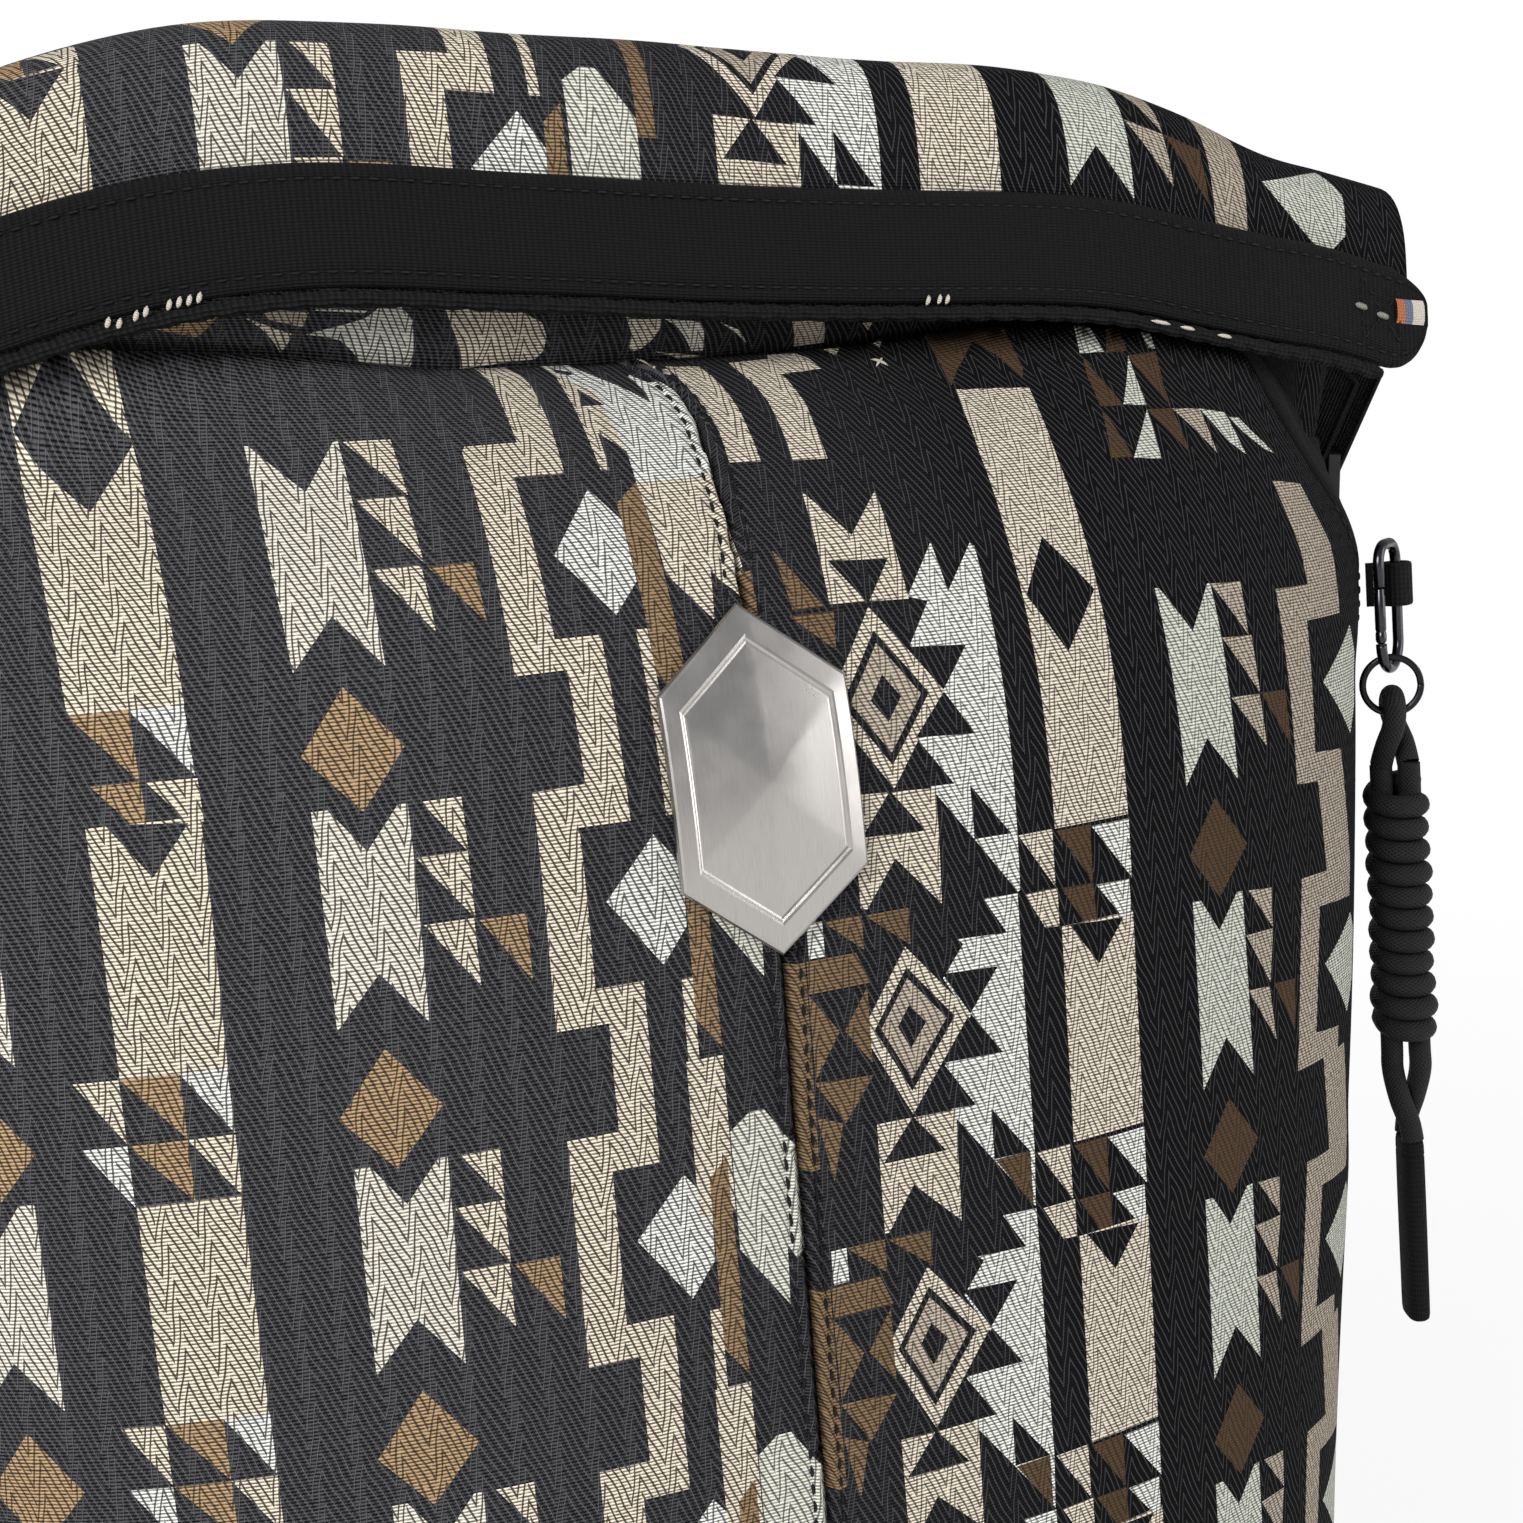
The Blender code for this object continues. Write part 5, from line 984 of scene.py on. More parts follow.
# Stepped band with its half diamonds
shape(
    "cream", (-23.5, 307), (-21.8, 303), (-20.9, 299.5), (-21, 287), (-21.8, 276.3), (-30.4, 276.4),
    (-30.8, 246.4), (-23.2, 246.2), (-23.2, 216), (-31.7, 216.1), (-31.7, 189.7), (-38.7, 189.7),
    (-38.5, 222.6), (-29.8, 222.8), (-29.8, 241.2), (-38.3, 241.2), (-37.4, 283), (-36.7, 284),
    (-27.8, 284), (-27.5, 299.5), (-28.3, 305), (-29.2, 307),
)
shape(
    "cream", (-23.6, 189.7), (-23.6, 158.9), (-31.7, 158.9), (-31.7, 132.4), (-38.7, 132.4), (-38.7, 165.4),
    (-30, 165.4), (-30, 183.7), (-38.7, 183.7), (-38.7, 189.7), again=True,
)
shape("white", (-27.7, 260.6), (-18.8, 272.6), (-14.9, 265.9), (-15.2, 254.5), (-19.9, 249.2))
shape("white", (-28.6, 203.6), (-19.7, 213.3), (-15.3, 207.4), (-15.6, 197.5), (-20, 191.8), again=True)
box("cream", -17.2, 246.4, -15.3, 216)
box("cream", -17.2, 189, -15.3, 175, again=True)
box("cream", -17.6, 175, -11.2, 148, again=True)
shape("brown", (-14.8, 269.2), (-10.2, 273.2), (-10.4, 233), (-15.3, 238.6))
shape("brown", (-15.3, 211.7), (-12, 215), (-11.2, 176.4), (-15.3, 181.8), again=True)

# Left of the centre seam
shape(
    "white", (-17.8, 307.5), (-12.8, 307.5), (-10.8, 304.5), (-7.5, 300.5), (-4, 295.5), (-1.5, 291.5),
    (-1.3, 295), (-2.8, 300.5), (-2.3, 301), (0, 298), (1.4, 297), (3.3, 294.5), (4.4, 289), (4.5, 283),
    (4.2, 273), (-10.2, 273), (-9.8, 280), (-13.4, 285), (-14, 276.2), (-15.5, 276.3), (-15.3, 292),
    (-15.5, 302), (-17, 306),
)
shape(
    "cream", (-17, 306), (-15, 303), (-13, 300), (-10.2, 296.5), (-10.2, 289), (-9.8, 280), (-13.4, 285),
    (-14, 276.2), (-15.5, 276.3), (-15.3, 292), (-15.5, 302),
)
shape("black", (-13, 298), (-9.8, 292.3), (-13.8, 292.5))
shape("black", (-15.6, 305.3), (-12, 303.4), (-12.6, 302.6), (-15, 303.4))
shape("cream", (-10.2, 273), (4.2, 273), (3.4, 255), (1.8, 249), (-2.1, 255), (-3.6, 246.4), (-9.9, 255))
shape(
    "sage", (-11, 219), (-7.4, 221.7), (-4.8, 221.7), (1.2, 213), (1.2, 195), (-1, 195), (-2.5, 197.5),
    (-2.9, 187), (-11, 198.4), again=True,
)
box("brown", 1.3, 254, 4.5, 210)
box("brown", 1.3, 188, 4.5, 152, again=True)

# Right of the centre seam
shape(
    "cream", (5.3, 303.8), (11.5, 303), (12.5, 299.5), (13.3, 293), (13.5, 287), (13, 275), (7.3, 275.5),
    (8, 283), (7.3, 292), (6, 300),
)
shape(
    "cream", (17.3, 303.5), (25, 303.3), (25.5, 305), (31, 304.8), (32.8, 302.5), (33.8, 298.8),
    (25.3, 297.5), (25.8, 294), (26.3, 288), (25.8, 283), (25.3, 274.3), (18.8, 274.5), (19.3, 282),
    (19.5, 289.5), (18.8, 296), (17.5, 302),
)
shape("cream", (0.4, 306.5), (1.5, 305), (3.5, 303.5), (5.3, 302.5), (5.4, 299.6), (3.4, 299.6), (2.1, 302))
shape("cream", (36.8, 305), (38.3, 302.5), (40, 304.8))
shape("cream", (46.8, 304.5), (47.5, 302.8), (49.5, 305.5))
shape("cream", (18.2, 267.8), (24.6, 258.5), (31.7, 266.6), (32, 246), (17.2, 246.7))
shape("black", (18.9, 254.3), (30, 253.5), (24.2, 245.9))
shape("brown", (9.4, 257.3), (16.1, 246.4), (10.4, 246.4))
shape("brown", (9.5, 245.4), (17.6, 245.4), (16.6, 238.8))
shape(
    "white", (31.9, 246.4), (39, 255.6), (39.8, 246.4), (46.6, 254.7), (47.3, 254), (46.6, 193.5),
    (46.1, 193.2), (30.5, 213.6), (29, 222), (35.2, 229.7), (30.3, 238), (35.5, 245.2),
)
shape(
    "white", (33.3, 187), (43.4, 186.4), (39, 193.2), (46, 192.9), (46.4, 146.2), (45.9, 136),
    (30.3, 156.3), (28.8, 164.7), (35, 172.4), (30.1, 180.7), (34.5, 186), again=True,
)


def medallion(middle, top, right_tip, low, left_tip, again=False):
    """A diamond with plain nested diamonds inside it."""
    centre = (middle, right_tip[1])
    corners = np.array([(middle, top), right_tip, (middle - 0.6, low), left_tip])
    for colour, size in (("cream", 1.0), ("black", 0.74), ("tan", 0.60), ("black", 0.26)):
        shape(colour, *(centre + (corners - centre) * size).tolist(), again=again)


medallion(24.1, 245.4, (35.2, 229.7), 214.6, (13.0, 229.7))
medallion(23.2, 187.5, (35.0, 173.7), 158.0, (14.0, 174.2), again=True)
shape("black", (30, 237.8), (41.1, 236.9), (35.2, 229.8))
shape("black", (35.2, 229.5), (28.6, 222.5), (40.2, 221.7))
shape("cream", (15.4, 214.6), (31.3, 213.6), (30.8, 193.7), (22.5, 202.9), (16.6, 195.1), (15.4, 195.4))
shape("black", (29, 222), (23.3, 214.4), (35, 213.8))
shape("black", (22.6, 214.4), (16.6, 207.3), (28.7, 206.7))
shape("black", (38, 213.1), (38, 203.8), (45.5, 203.6))
shape(
    "cream", (15.6, 157.6), (31.0, 157.1), (30.6, 137), (21.8, 145.5), (16.4, 138), (15.6, 138), again=True,
)
shape("black", (30, 181.5), (41.1, 180.8), (35, 173.5), again=True)
shape("black", (35.2, 173.3), (29.3, 165.8), (41.1, 165.4), again=True)
shape("black", (29.3, 165.4), (24.3, 157.6), (35, 157.1), again=True)
shape("black", (22.5, 157.6), (16.3, 150.4), (28.6, 150.2), again=True)
shape("black", (38, 155.8), (38, 146.5), (45.5, 146.3), again=True)
box("white", 5.3, 194.4, 8.2, 188.4, again=True)
corner("brown", 8.3, 194.3, 15.5, 188.3, again=True)
corner("brown", 16.1, 194.1, 24.3, 187.6, again=True)
shape("brown", (4.8, 188), (14, 188), (16.2, 182.5), (4.8, 182.5), again=True)
shape("brown", (4.7, 182.3), (9.9, 175.1), (5.0, 167.5), again=True)
shape("brown", (15.6, 181.8), (10.9, 175), (15.6, 168.5), again=True)
shape("brown", (4.7, 167), (15.6, 166.3), (9.9, 159), again=True)
shape("brown", (4.7, 161), (9.3, 159), (7, 149), again=True)

# Broad column at the right, with its corner triangles
shape(
    "cream", (57.2, 288.8), (72.1, 286.7), (71.4, 279.8), (70.6, 269.2), (70.6, 255), (70.9, 203),
    (54.6, 203), (54.4, 255.3), (55, 272), (56.1, 282),
)
shape("black", (61.6, 254.3), (69.9, 243.5), (61.6, 233.1), (55.2, 244))
shape(
    "brown", (57.5, 305.3), (57.5, 297), (56.9, 290), (60, 294.2), (66.1, 300), (69.4, 295.9),
    (71.9, 289.2), (73.3, 292), (73.6, 298.7), (73.9, 307), (58, 307),
)
box("cream", 54.9, 185.6, 70.9, 145.8, again=True)
box("black", 46.8, 203, 71, 185.4, again=True)
corner("cream", 46.9, 203, 54, 192.7, again=True)
corner("brown", 54.9, 202.5, 62.2, 192.2, again=True)
corner("white", 62.5, 202.2, 71, 191.5, again=True)
shape("cream", (47.5, 192.5), (54.4, 192.5), (54.4, 185.6), (51.4, 185.8), again=True)
shape("brown", (55.3, 192.2), (62.3, 192), (62.5, 185.4), (59.7, 185.4), again=True)
shape("white", (62.9, 191.5), (70.4, 191.3), (70.5, 184.6), (68.6, 184.5), again=True)
shape("black", (56.6, 185.4), (62.6, 177.2), (68.6, 184.5), again=True)
corner("brown", 38.2, 146.3, 45.5, 136.2, again=True)

# Sage bar with swallowtails, its diamonds and triangles
shape(
    "sage", (83.6, 242.1), (84.6, 242), (90.9, 233.3), (96.7, 241.5), (97.5, 241.5), (98.1, 231.2),
    (99, 204.9), (91.4, 213.6), (85.3, 205.7),
)
shape(
    "sage", (85.5, 184.2), (87.6, 184), (92.1, 177.5), (97.3, 183.7), (98.9, 183.7), (99.2, 175),
    (100.2, 147.8), (92.8, 156.8), (86.2, 148.1), again=True,
)
shape("brown", (92.4, 202.4), (100.8, 192.4), (92.6, 183.7), (85.2, 192.7))
shape("brown", (93, 144.9), (101, 135), (93, 126.2), (85.6, 135.3), again=True)
shape("tan", (97.6, 241.4), (105.7, 240.9), (105.6, 230.9))
shape("tan", (98.3, 231.2), (106.4, 230.7), (107.1, 219.8))
shape("tan", (98.8, 220.1), (107, 219.6), (108, 209.6))
shape("brown", (107.3, 219.8), (114.9, 219.3), (115.9, 208.4))
shape("tan", (100.7, 183.4), (107.5, 182.6), (107.5, 175), again=True)
shape("tan", (99.5, 175), (107.6, 174.7), (106.2, 164.5), again=True)
shape("tan", (99.5, 164.4), (105.9, 163.7), (107.6, 152.8), again=True)
shape("brown", (107.3, 163.9), (114.4, 163.3), (114, 153.3), again=True)

# Stepped band at the right side
shape(
    "tan", (121.6, 259.2), (132, 257.8), (139.6, 244.5), (139.6, 231), (124.9, 231.2), (124.4, 205.8),
    (136.3, 204.6), (141.5, 180.8), (140.6, 174), (124.4, 175.4), (122, 150.4), (132.8, 149),
    (132.5, 144.5), (114.7, 144.5), (117.8, 182.3), (127.9, 181.8), (125.1, 200), (117.3, 200.8),
    (115.7, 238.3), (126.8, 238), (126.3, 244.5),
)
STEPS = (
    (125, 201.8), (136.5, 201.8), (141.5, 180.8), (140.6, 174), (124.4, 175.4), (122, 150.4), (133, 149),
    (133, 144.5), (115, 144.5), (117.8, 182.3), (127.9, 181.8),
)
for turn in range(1, 5):
    shape("tan", *[(u, v - turn * REPEAT) for u, v in STEPS])
shape("sage", (129.2, 218.8), (145.3, 227.9), (149, 222), (148, 212), (142.9, 206.5))
shape("sage", (126.3, 163.3), (141.5, 170.4), (145, 166), (144, 156), (138.8, 150.2), again=True)

# Rows of triangles at the upper right
shape("sage", (88.1, 306.5), (90.8, 306.5), (91.9, 291.7), (86.7, 292.6), (88.3, 297.6))
shape("brown", (98.3, 300.9), (97.2, 290.9), (92.2, 291.4))
shape("sage", (101.7, 300.3), (105.3, 299.8), (104.4, 295.3), (103.9, 289.9), (102.5, 290.3), (101.4, 297))
shape("brown", (86.9, 291.7), (90.3, 279.2), (85, 279.8), (85.8, 287.6))
shape("sage", (96.9, 290), (95.6, 278.7), (90.3, 279.5))
shape("brown", (96.9, 290), (103.9, 289.5), (102.2, 283.1), (101.4, 277.8))
shape("brown", (85, 279.2), (87.5, 267.8), (82.5, 268.1))
shape("sage", (95.3, 277.8), (93.9, 266.7), (87.5, 267.6))
shape("brown", (95.3, 277.8), (101.4, 277.3), (101.4, 267))
shape("tan", (101.4, 277.3), (108.1, 276.4), (108.3, 266.4))
shape("sage", (108.1, 276.4), (114.4, 274.8), (116.1, 265.3), (112.2, 268.7))
shape("sage", (115, 273.7), (117.8, 273.4), (120, 270.3), (125, 264.8), (122.2, 265.9), (117.8, 269.8))
shape("sage", (80.6, 307.5), (82.8, 307.5), (82.5, 303.7), (81.4, 304.8))

# Cloth meshes

CLEAR_ROUND_EDGES = 0.7


def inside(points, outline):
    """Which points lie in an outline."""
    x, y = points[:, 0], points[:, 1]
    hit = np.zeros(len(points), bool)
    for (x0, y0), (x1, y1) in zip(outline, outline[1:] + outline[:1]):
        if y0 == y1:
            continue
        cross = ((y0 > y) != (y1 > y)) & (x < (x1 - x0) * (y - y0) / (y1 - y0) + x0)
        hit ^= cross
    return hit


def along_edges(points, closed=True, step=2.0):
    """The edges of an outline, cut into short lengths."""
    ends = list(zip(points, points[1:] + points[:1] if closed else points[1:]))
    cuts = []
    for (x0, y0), (x1, y1) in ends:
        count = max(1, int(round(sqrt((x1 - x0) ** 2 + (y1 - y0) ** 2) / step)))
        cuts += [(x0 + (x1 - x0) * i / count, y0 + (y1 - y0) * i / count) for i in range(count)]
    if not closed:
        cuts.append(points[-1])
    return cuts


def woven_sheet(region, shapes, spacing, extra=(), lines=()):
    """Triangles over a region of flat cloth, with every colour's edge a real edge of the mesh."""
    outline = along_edges(region, step=spacing)
    chains = [(outline, True)]
    low = np.min(region, axis=0)
    high = np.max(region, axis=0)
    used = []
    for colour, points in shapes:
        us, vs = [p[0] for p in points], [p[1] for p in points]
        if max(us) < low[0] or min(us) > high[0] or max(vs) < low[1] or min(vs) > high[1]:
            continue
        used.append((colour, points))
        chains.append((along_edges(list(points), step=spacing), True))
    for line in lines:
        chains.append((along_edges(list(line), closed=False, step=spacing), False))
    verts, edges = [], []
    for chain, closed in chains:
        first = len(verts)
        verts += chain
        count = len(chain)
        edges += [(first + i, first + (i + 1) % count) for i in range(count if closed else count - 1)]
    fixed = np.array(verts)
    us, vs = np.meshgrid(np.arange(low[0], high[0], spacing), np.arange(low[1], high[1], spacing))
    us = us + np.where(np.arange(us.shape[0]) % 2, spacing / 2, 0.0)[:, None]
    loose = np.stack([us.ravel(), vs.ravel()], -1)
    if len(extra):
        loose = np.concatenate([loose, np.asarray(extra)])
    loose = loose[inside(loose, region)]
    taken = set(map(tuple, np.floor(fixed / CLEAR_ROUND_EDGES).astype(int)))
    near = [(a, b) for a in (-1, 0, 1) for b in (-1, 0, 1)]
    cells = np.floor(loose / CLEAR_ROUND_EDGES).astype(int)
    keep = [not any((i + a, j + b) in taken for a, b in near) for i, j in cells]
    loose = loose[np.array(keep, bool)]
    everything = [Vector(p) for p in np.concatenate([fixed, loose])]
    out = delaunay_2d_cdt(everything, edges, [], 0, 1e-5, False)
    points = np.array([tuple(p) for p in out[0]])
    faces = np.array([f for f in out[2]])
    middles = points[faces].mean(axis=1)
    within = inside(middles, region)
    faces, middles = faces[within], middles[within]
    colours = np.zeros(len(faces), int)
    for colour, outline_points in used:
        colours[inside(middles, list(outline_points))] = CLOTHS.index(colour)
    return points, faces, colours


def compact(faces):
    """Which points some faces use, and the faces numbered by them."""
    used, places = np.unique(faces, return_inverse=True)
    return used, places.reshape(faces.shape)


def with_flange(points, normals, faces, colours, lay, depth):
    """Adds a turned-in edge all round a sheet, so that no raw border shows."""
    counts = {}
    for index, face in enumerate(faces):
        for a, b in ((face[0], face[1]), (face[1], face[2]), (face[2], face[0])):
            counts.setdefault((min(a, b), max(a, b)), []).append((a, b, index))
    rim = [items[0] for items in counts.values() if len(items) == 1]
    inner = {}
    more_points, more_lay, more_faces, more_colours = [], [], [], []
    for a, b, index in rim:
        for p in (a, b):
            if p not in inner:
                inner[p] = len(points) + len(more_points)
                more_points.append(points[p] - normals[p] * depth)
                more_lay.append(lay[p] + (depth * 700, 0))
        more_faces += [(b, a, inner[a]), (b, inner[a], inner[b])]
        more_colours += [colours[index]] * 2
    return (
        np.concatenate([points, more_points]),
        [tuple(f) for f in faces.tolist()] + more_faces,
        list(colours) + more_colours,
        np.concatenate([lay, more_lay]),
    )


def cloth_piece(name, points, normals, faces, colours, lay, depth, **tie):
    """A sheet of patterned cloth, all its triangles facing out and its edges turned in."""
    a, b, c = (points[faces[:, i]] for i in range(3))
    turned = (np.cross(b - a, c - a) * normals[faces[:, 0]]).sum(-1) < 0
    faces[turned] = faces[turned][:, ::-1]
    points, faces, colours, lay = with_flange(points, normals, faces, colours, lay, depth)
    piece(name, points, faces, CLOTHS, lay, indices=colours, **tie)


# Front cloth

SEAM_LINE = (
    (LOWEST_V, 1.3), (225, 1.3), (248, 2.2), (262, 3.5), (281, 4.7), (287, 5.0), (294, 4.2), (298.5, 2.6),
    (302, 1.0), (308, -0.8),
)
SEAM_ROW_LEFT = -2.7
SEAM_ROW_RIGHT = 2.3
STITCH_PITCH = 0.0033
SEAM_GRID = (-4.6, -3.8, -3.2, -2.7, -2.2, -1.6, -1.0, -0.5, 0.5, 1.0, 1.8, 2.3, 2.8, 3.4, 4.2)
SEAM_GRID_STEP = 1.1
FRONT_SPACING = 2.1


def seam_u(v):
    """Where the centre seam runs."""
    return smooth_value(SEAM_LINE, v)


def bell(x, width):
    """A smooth hill of height 1."""
    return np.exp(-((x / width) ** 2))


def front_relief(u, v, angle, z):
    """How far the cloth stands out of the plain body surface, in millimetres."""
    d = u - seam_u(v)
    # Both panels roll in at the centre seam, and each stitch beside it pulls a dimple
    relief = 0.75 * bell(d + 1.5, 1.2) + 0.65 * bell(d - 1.3, 1.1)
    relief = relief - 2.6 * bell(d, 0.42)
    pulse = 0.5 + 0.5 * np.cos(2 * pi * v / (STITCH_PITCH * 1000))
    for row in (SEAM_ROW_LEFT, SEAM_ROW_RIGHT):
        relief = relief - (0.30 + 0.35 * pulse) * bell(d - row, 0.5)
    # Puckers along the seam, soft waves all over and small folds under the mouth
    relief = relief + 0.18 * bump_wave(u, v * 3.0, 3, 9.0) * bell(d, 9.0)
    relief = relief + 0.55 * bump_wave(u, v, 5, 42.0)
    top = np.clip((mouth_z(angle) - z) * 1000, 0, 60)
    fold = bump_wave(u, v * 0.35, 11, 7.0)
    relief = relief + 0.6 * fold * bell(top, 14.0) * np.clip(top / 3, 0.15, 1)
    # The rolled edge at the side seams, and the foot's edge
    edge = np.minimum(angle - side_seam_angle(z), 180 - side_seam_angle(z) - angle)
    relief = relief - 0.8 * np.clip(1 - edge / 1.6, 0, 1) ** 2 + 0.35 * bell(edge - 3.2, 1.4)
    low = np.clip(1 - (z - FOOT_Z) * 1000 / 5, 0, 1)
    return relief - 0.8 * low**2 - waist(angle, z)


def on_front(u, v, angle, z, lift):
    """Places on the front cloth, a little lifted, and their outward directions."""
    normal = skin_normal(angle, z)
    return skin(angle, z) + normal * (front_relief(u, v, angle, z) * MM + lift)[:, None], normal


def front_region():
    """The front cloth's outline in flat millimetres."""
    zs = np.linspace(FOOT_Z + 0.0001, 0.4, 220)
    right_side, left_side = [], []
    for z in zs:
        a = side_seam_angle(z) + 0.25
        if z < mouth_z(a):
            right_side.append((a, z))
            left_side.append((180 - a, z))
    top = []
    for a in np.linspace(right_side[-1][0], left_side[-1][0], 150):
        top.append((a, mouth_z(a)))
    low = [(a, FOOT_Z + 0.0001) for a in np.linspace(left_side[0][0], right_side[0][0], 90)[1:-1]]
    ring = np.array(right_side + top[1:-1] + left_side[::-1] + low)
    u, v = chart.flat(ring[:, 0], ring[:, 1])
    return [tuple(p) for p in np.stack([u, v], -1)]


def front_cloth():
    """Both front panels, cut from one sheet along the centre seam."""
    region = front_region()
    seam = [(float(seam_u(v)), v) for v in np.arange(LOWEST_V + 3, 306.5, 1.5)]
    heights = np.arange(LOWEST_V + 2, 307, SEAM_GRID_STEP)
    near = [(float(seam_u(v)) + d, v) for v in heights for d in SEAM_GRID]
    points, faces, colours = woven_sheet(region, SHAPES, FRONT_SPACING, near, [seam])
    angle, z = chart.find(points[:, 0], points[:, 1])
    placed, normals = on_front(points[:, 0], points[:, 1], angle, z, 0.0)
    middles = points[faces].mean(axis=1)
    right_half = middles[:, 0] > seam_u(middles[:, 1])
    for word, chosen in (("left", ~right_half), ("right", right_half)):
        used, small = compact(faces[chosen])
        sheet = (placed[used], normals[used], small, colours[chosen], points[used], CLOTH_THICKNESS)
        cloth_piece("front_cloth_" + word, *sheet, nodes=("front_panel_" + word,))


front_cloth()

# Body cloth around the front

SIDE_SPAN = 110
BACK_SPAN = 200
FRONT_SEAM_LAP = 0.12
BACK_SEAM_LAP = 0.5
# The base's rim: height, and how far it lies inside the foot's outline in millimetres
BASE_RIM = (
    (0.0, 1.3), (0.0003, 0.5), (0.0009, 0.1), (0.0015, 0.0), (0.0021, 0.1), (0.0027, 0.5), (0.0030, 1.3),
)


def cloth_grid(name, node, start, end, columns, rows, relief, material):
    """A panel between two seams with its edges turned in. The seams are functions from height to angle."""
    shares = np.linspace(0, 1, columns)
    heights = np.linspace(0, 1, rows)
    share, row = np.meshgrid(shares, heights)
    top = mouth_z(start(MOUTH_Z) + (end(MOUTH_Z) - start(MOUTH_Z)) * share)
    z = FOOT_Z + (top - FOOT_Z) * row
    angle = start(z) + (end(z) - start(z)) * share
    normals = skin_normal(angle, z)
    plain = skin(angle, z)
    points = plain + normals * (relief(share, angle, z) * MM)[..., None]
    starts = plain[:1], plain[:, :1]
    upward, around = (np.linalg.norm(np.diff(plain, axis=i, prepend=starts[i]), axis=-1) for i in (0, 1))
    lay = np.stack([np.cumsum(around, axis=1) * 1000, np.cumsum(upward, axis=0) * 1000], -1)
    inner = points - normals * CLOTH_THICKNESS
    ring_points = np.zeros((rows + 2, columns + 2, 3))
    ring_lay = np.zeros((rows + 2, columns + 2, 2))
    ring_points[1:-1, 1:-1], ring_lay[1:-1, 1:-1] = points, lay
    for block, source in ((ring_points, inner), (ring_lay, lay)):
        block[0, 1:-1], block[-1, 1:-1] = source[0], source[-1]
        block[1:-1, 0], block[1:-1, -1] = source[:, 0], source[:, -1]
        for corner_place in ((0, 0), (0, -1), (-1, 0), (-1, -1)):
            block[corner_place] = source[corner_place]
    faces = grid_faces(rows + 2, columns + 2, flip=end(MOUTH_Z) < start(MOUTH_Z))
    piece(name, ring_points.reshape(-1, 3), faces, material, ring_lay.reshape(-1, 2), nodes=(node,))


def side_relief(share, angle, z):
    """Rolled edges at both seams, soft wrinkles, a strap's dent and a dip at the foot, in millimetres."""
    span = SIDE_SPAN * share
    relief = 0.5 * bell(span - 3.5, 1.6) - 0.9 * np.clip(1 - span / 1.4, 0, 1) ** 2
    relief = relief + 0.4 * bell(span - (SIDE_SPAN - 4), 2.0)
    relief = relief - 0.9 * np.clip(1 - (SIDE_SPAN - span) / 1.4, 0, 1) ** 2
    relief = relief + 0.5 * bump_wave(span, z * 1000, 21, 38.0)
    top = np.clip((mouth_z(angle) - z) * 1000, 0, 60)
    relief = relief + 0.6 * bump_wave(span, z * 320, 23, 6.0) * bell(top, 18.0)
    relief = relief - waist(angle, z) - 0.5 * bell((share - 0.55) * SIDE_SPAN, 14.0)
    return relief - 1.2 * np.clip(1 - top / 4, 0, 1) ** 2 - 0.8 * np.clip(1 - (z - FOOT_Z) * 200, 0, 1) ** 2


def back_relief(share, angle, z):
    """Soft waves, with edges turned in at the seams and at the mouth, in millimetres."""
    span = (share - 0.5) * BACK_SPAN
    relief = 0.25 * bump_wave(span, z * 1000, 31, 30.0)
    relief = relief - 0.9 * np.clip(1 - (BACK_SPAN / 2 - abs(span)) / 1.6, 0, 1) ** 2
    top = np.clip((mouth_z(angle) - z) * 1000, 0, 60)
    return relief - 0.3 - 1.0 * np.clip(1 - top / 4, 0, 1) ** 2


def body_cloth():
    """The side gussets, the back and the base."""
    for word, side in SIDES:
        cloth_grid(
            "side_cloth_" + word, "side_panel_" + word,
            lambda z: 90 - side * (90 - side_seam_angle(z) + FRONT_SEAM_LAP),
            lambda z: 90 - side * (90 - BACK_SEAM_ANGLE - BACK_SEAM_LAP),
            90, 260, side_relief, "gusset",
        )
    cloth_grid(
        "back_cloth", "back_panel",
        lambda z: BACK_SEAM_ANGLE - BACK_SEAM_LAP + 0 * z,
        lambda z: -180 - BACK_SEAM_ANGLE + BACK_SEAM_LAP + 0 * z,
        160, 240, back_relief, "mesh",
    )
    angles = np.concatenate([np.linspace(0, 180, 97)[:-1], np.linspace(-180, 0, 97)[:-1]])
    rim = skin(angles, FOOT_Z)
    normals = skin_normal(angles, 0.02)
    rings = np.array([(rim - normals * inset * MM) * (1, 1, 0) + UP * z for z, inset in BASE_RIM])
    lay = np.stack([rings[..., 0] * 1000, rings[..., 1] * 1000 + rings[..., 2] * 1000], -1)
    faces = tube_faces(*rings.shape[:2])
    piece("base_cloth", rings.reshape(-1, 3), faces, "gusset", lay.reshape(-1, 2), nodes=("base_panel",))


SEAM_STITCH = (STITCH_PITCH, 0.0024, 0.00034)
SIDE_STITCH = (STITCH_PITCH, 0.0024, 0.00030)
CROSS_PLACE = (45.5, 298.5)
CROSS_REACH = 1.3
CROSS_STITCH = (0.0034, 0.00028)
SIDE_ROW_ANGLE = 2.2
SIDE_ROW_Z = (0.010, 0.366)


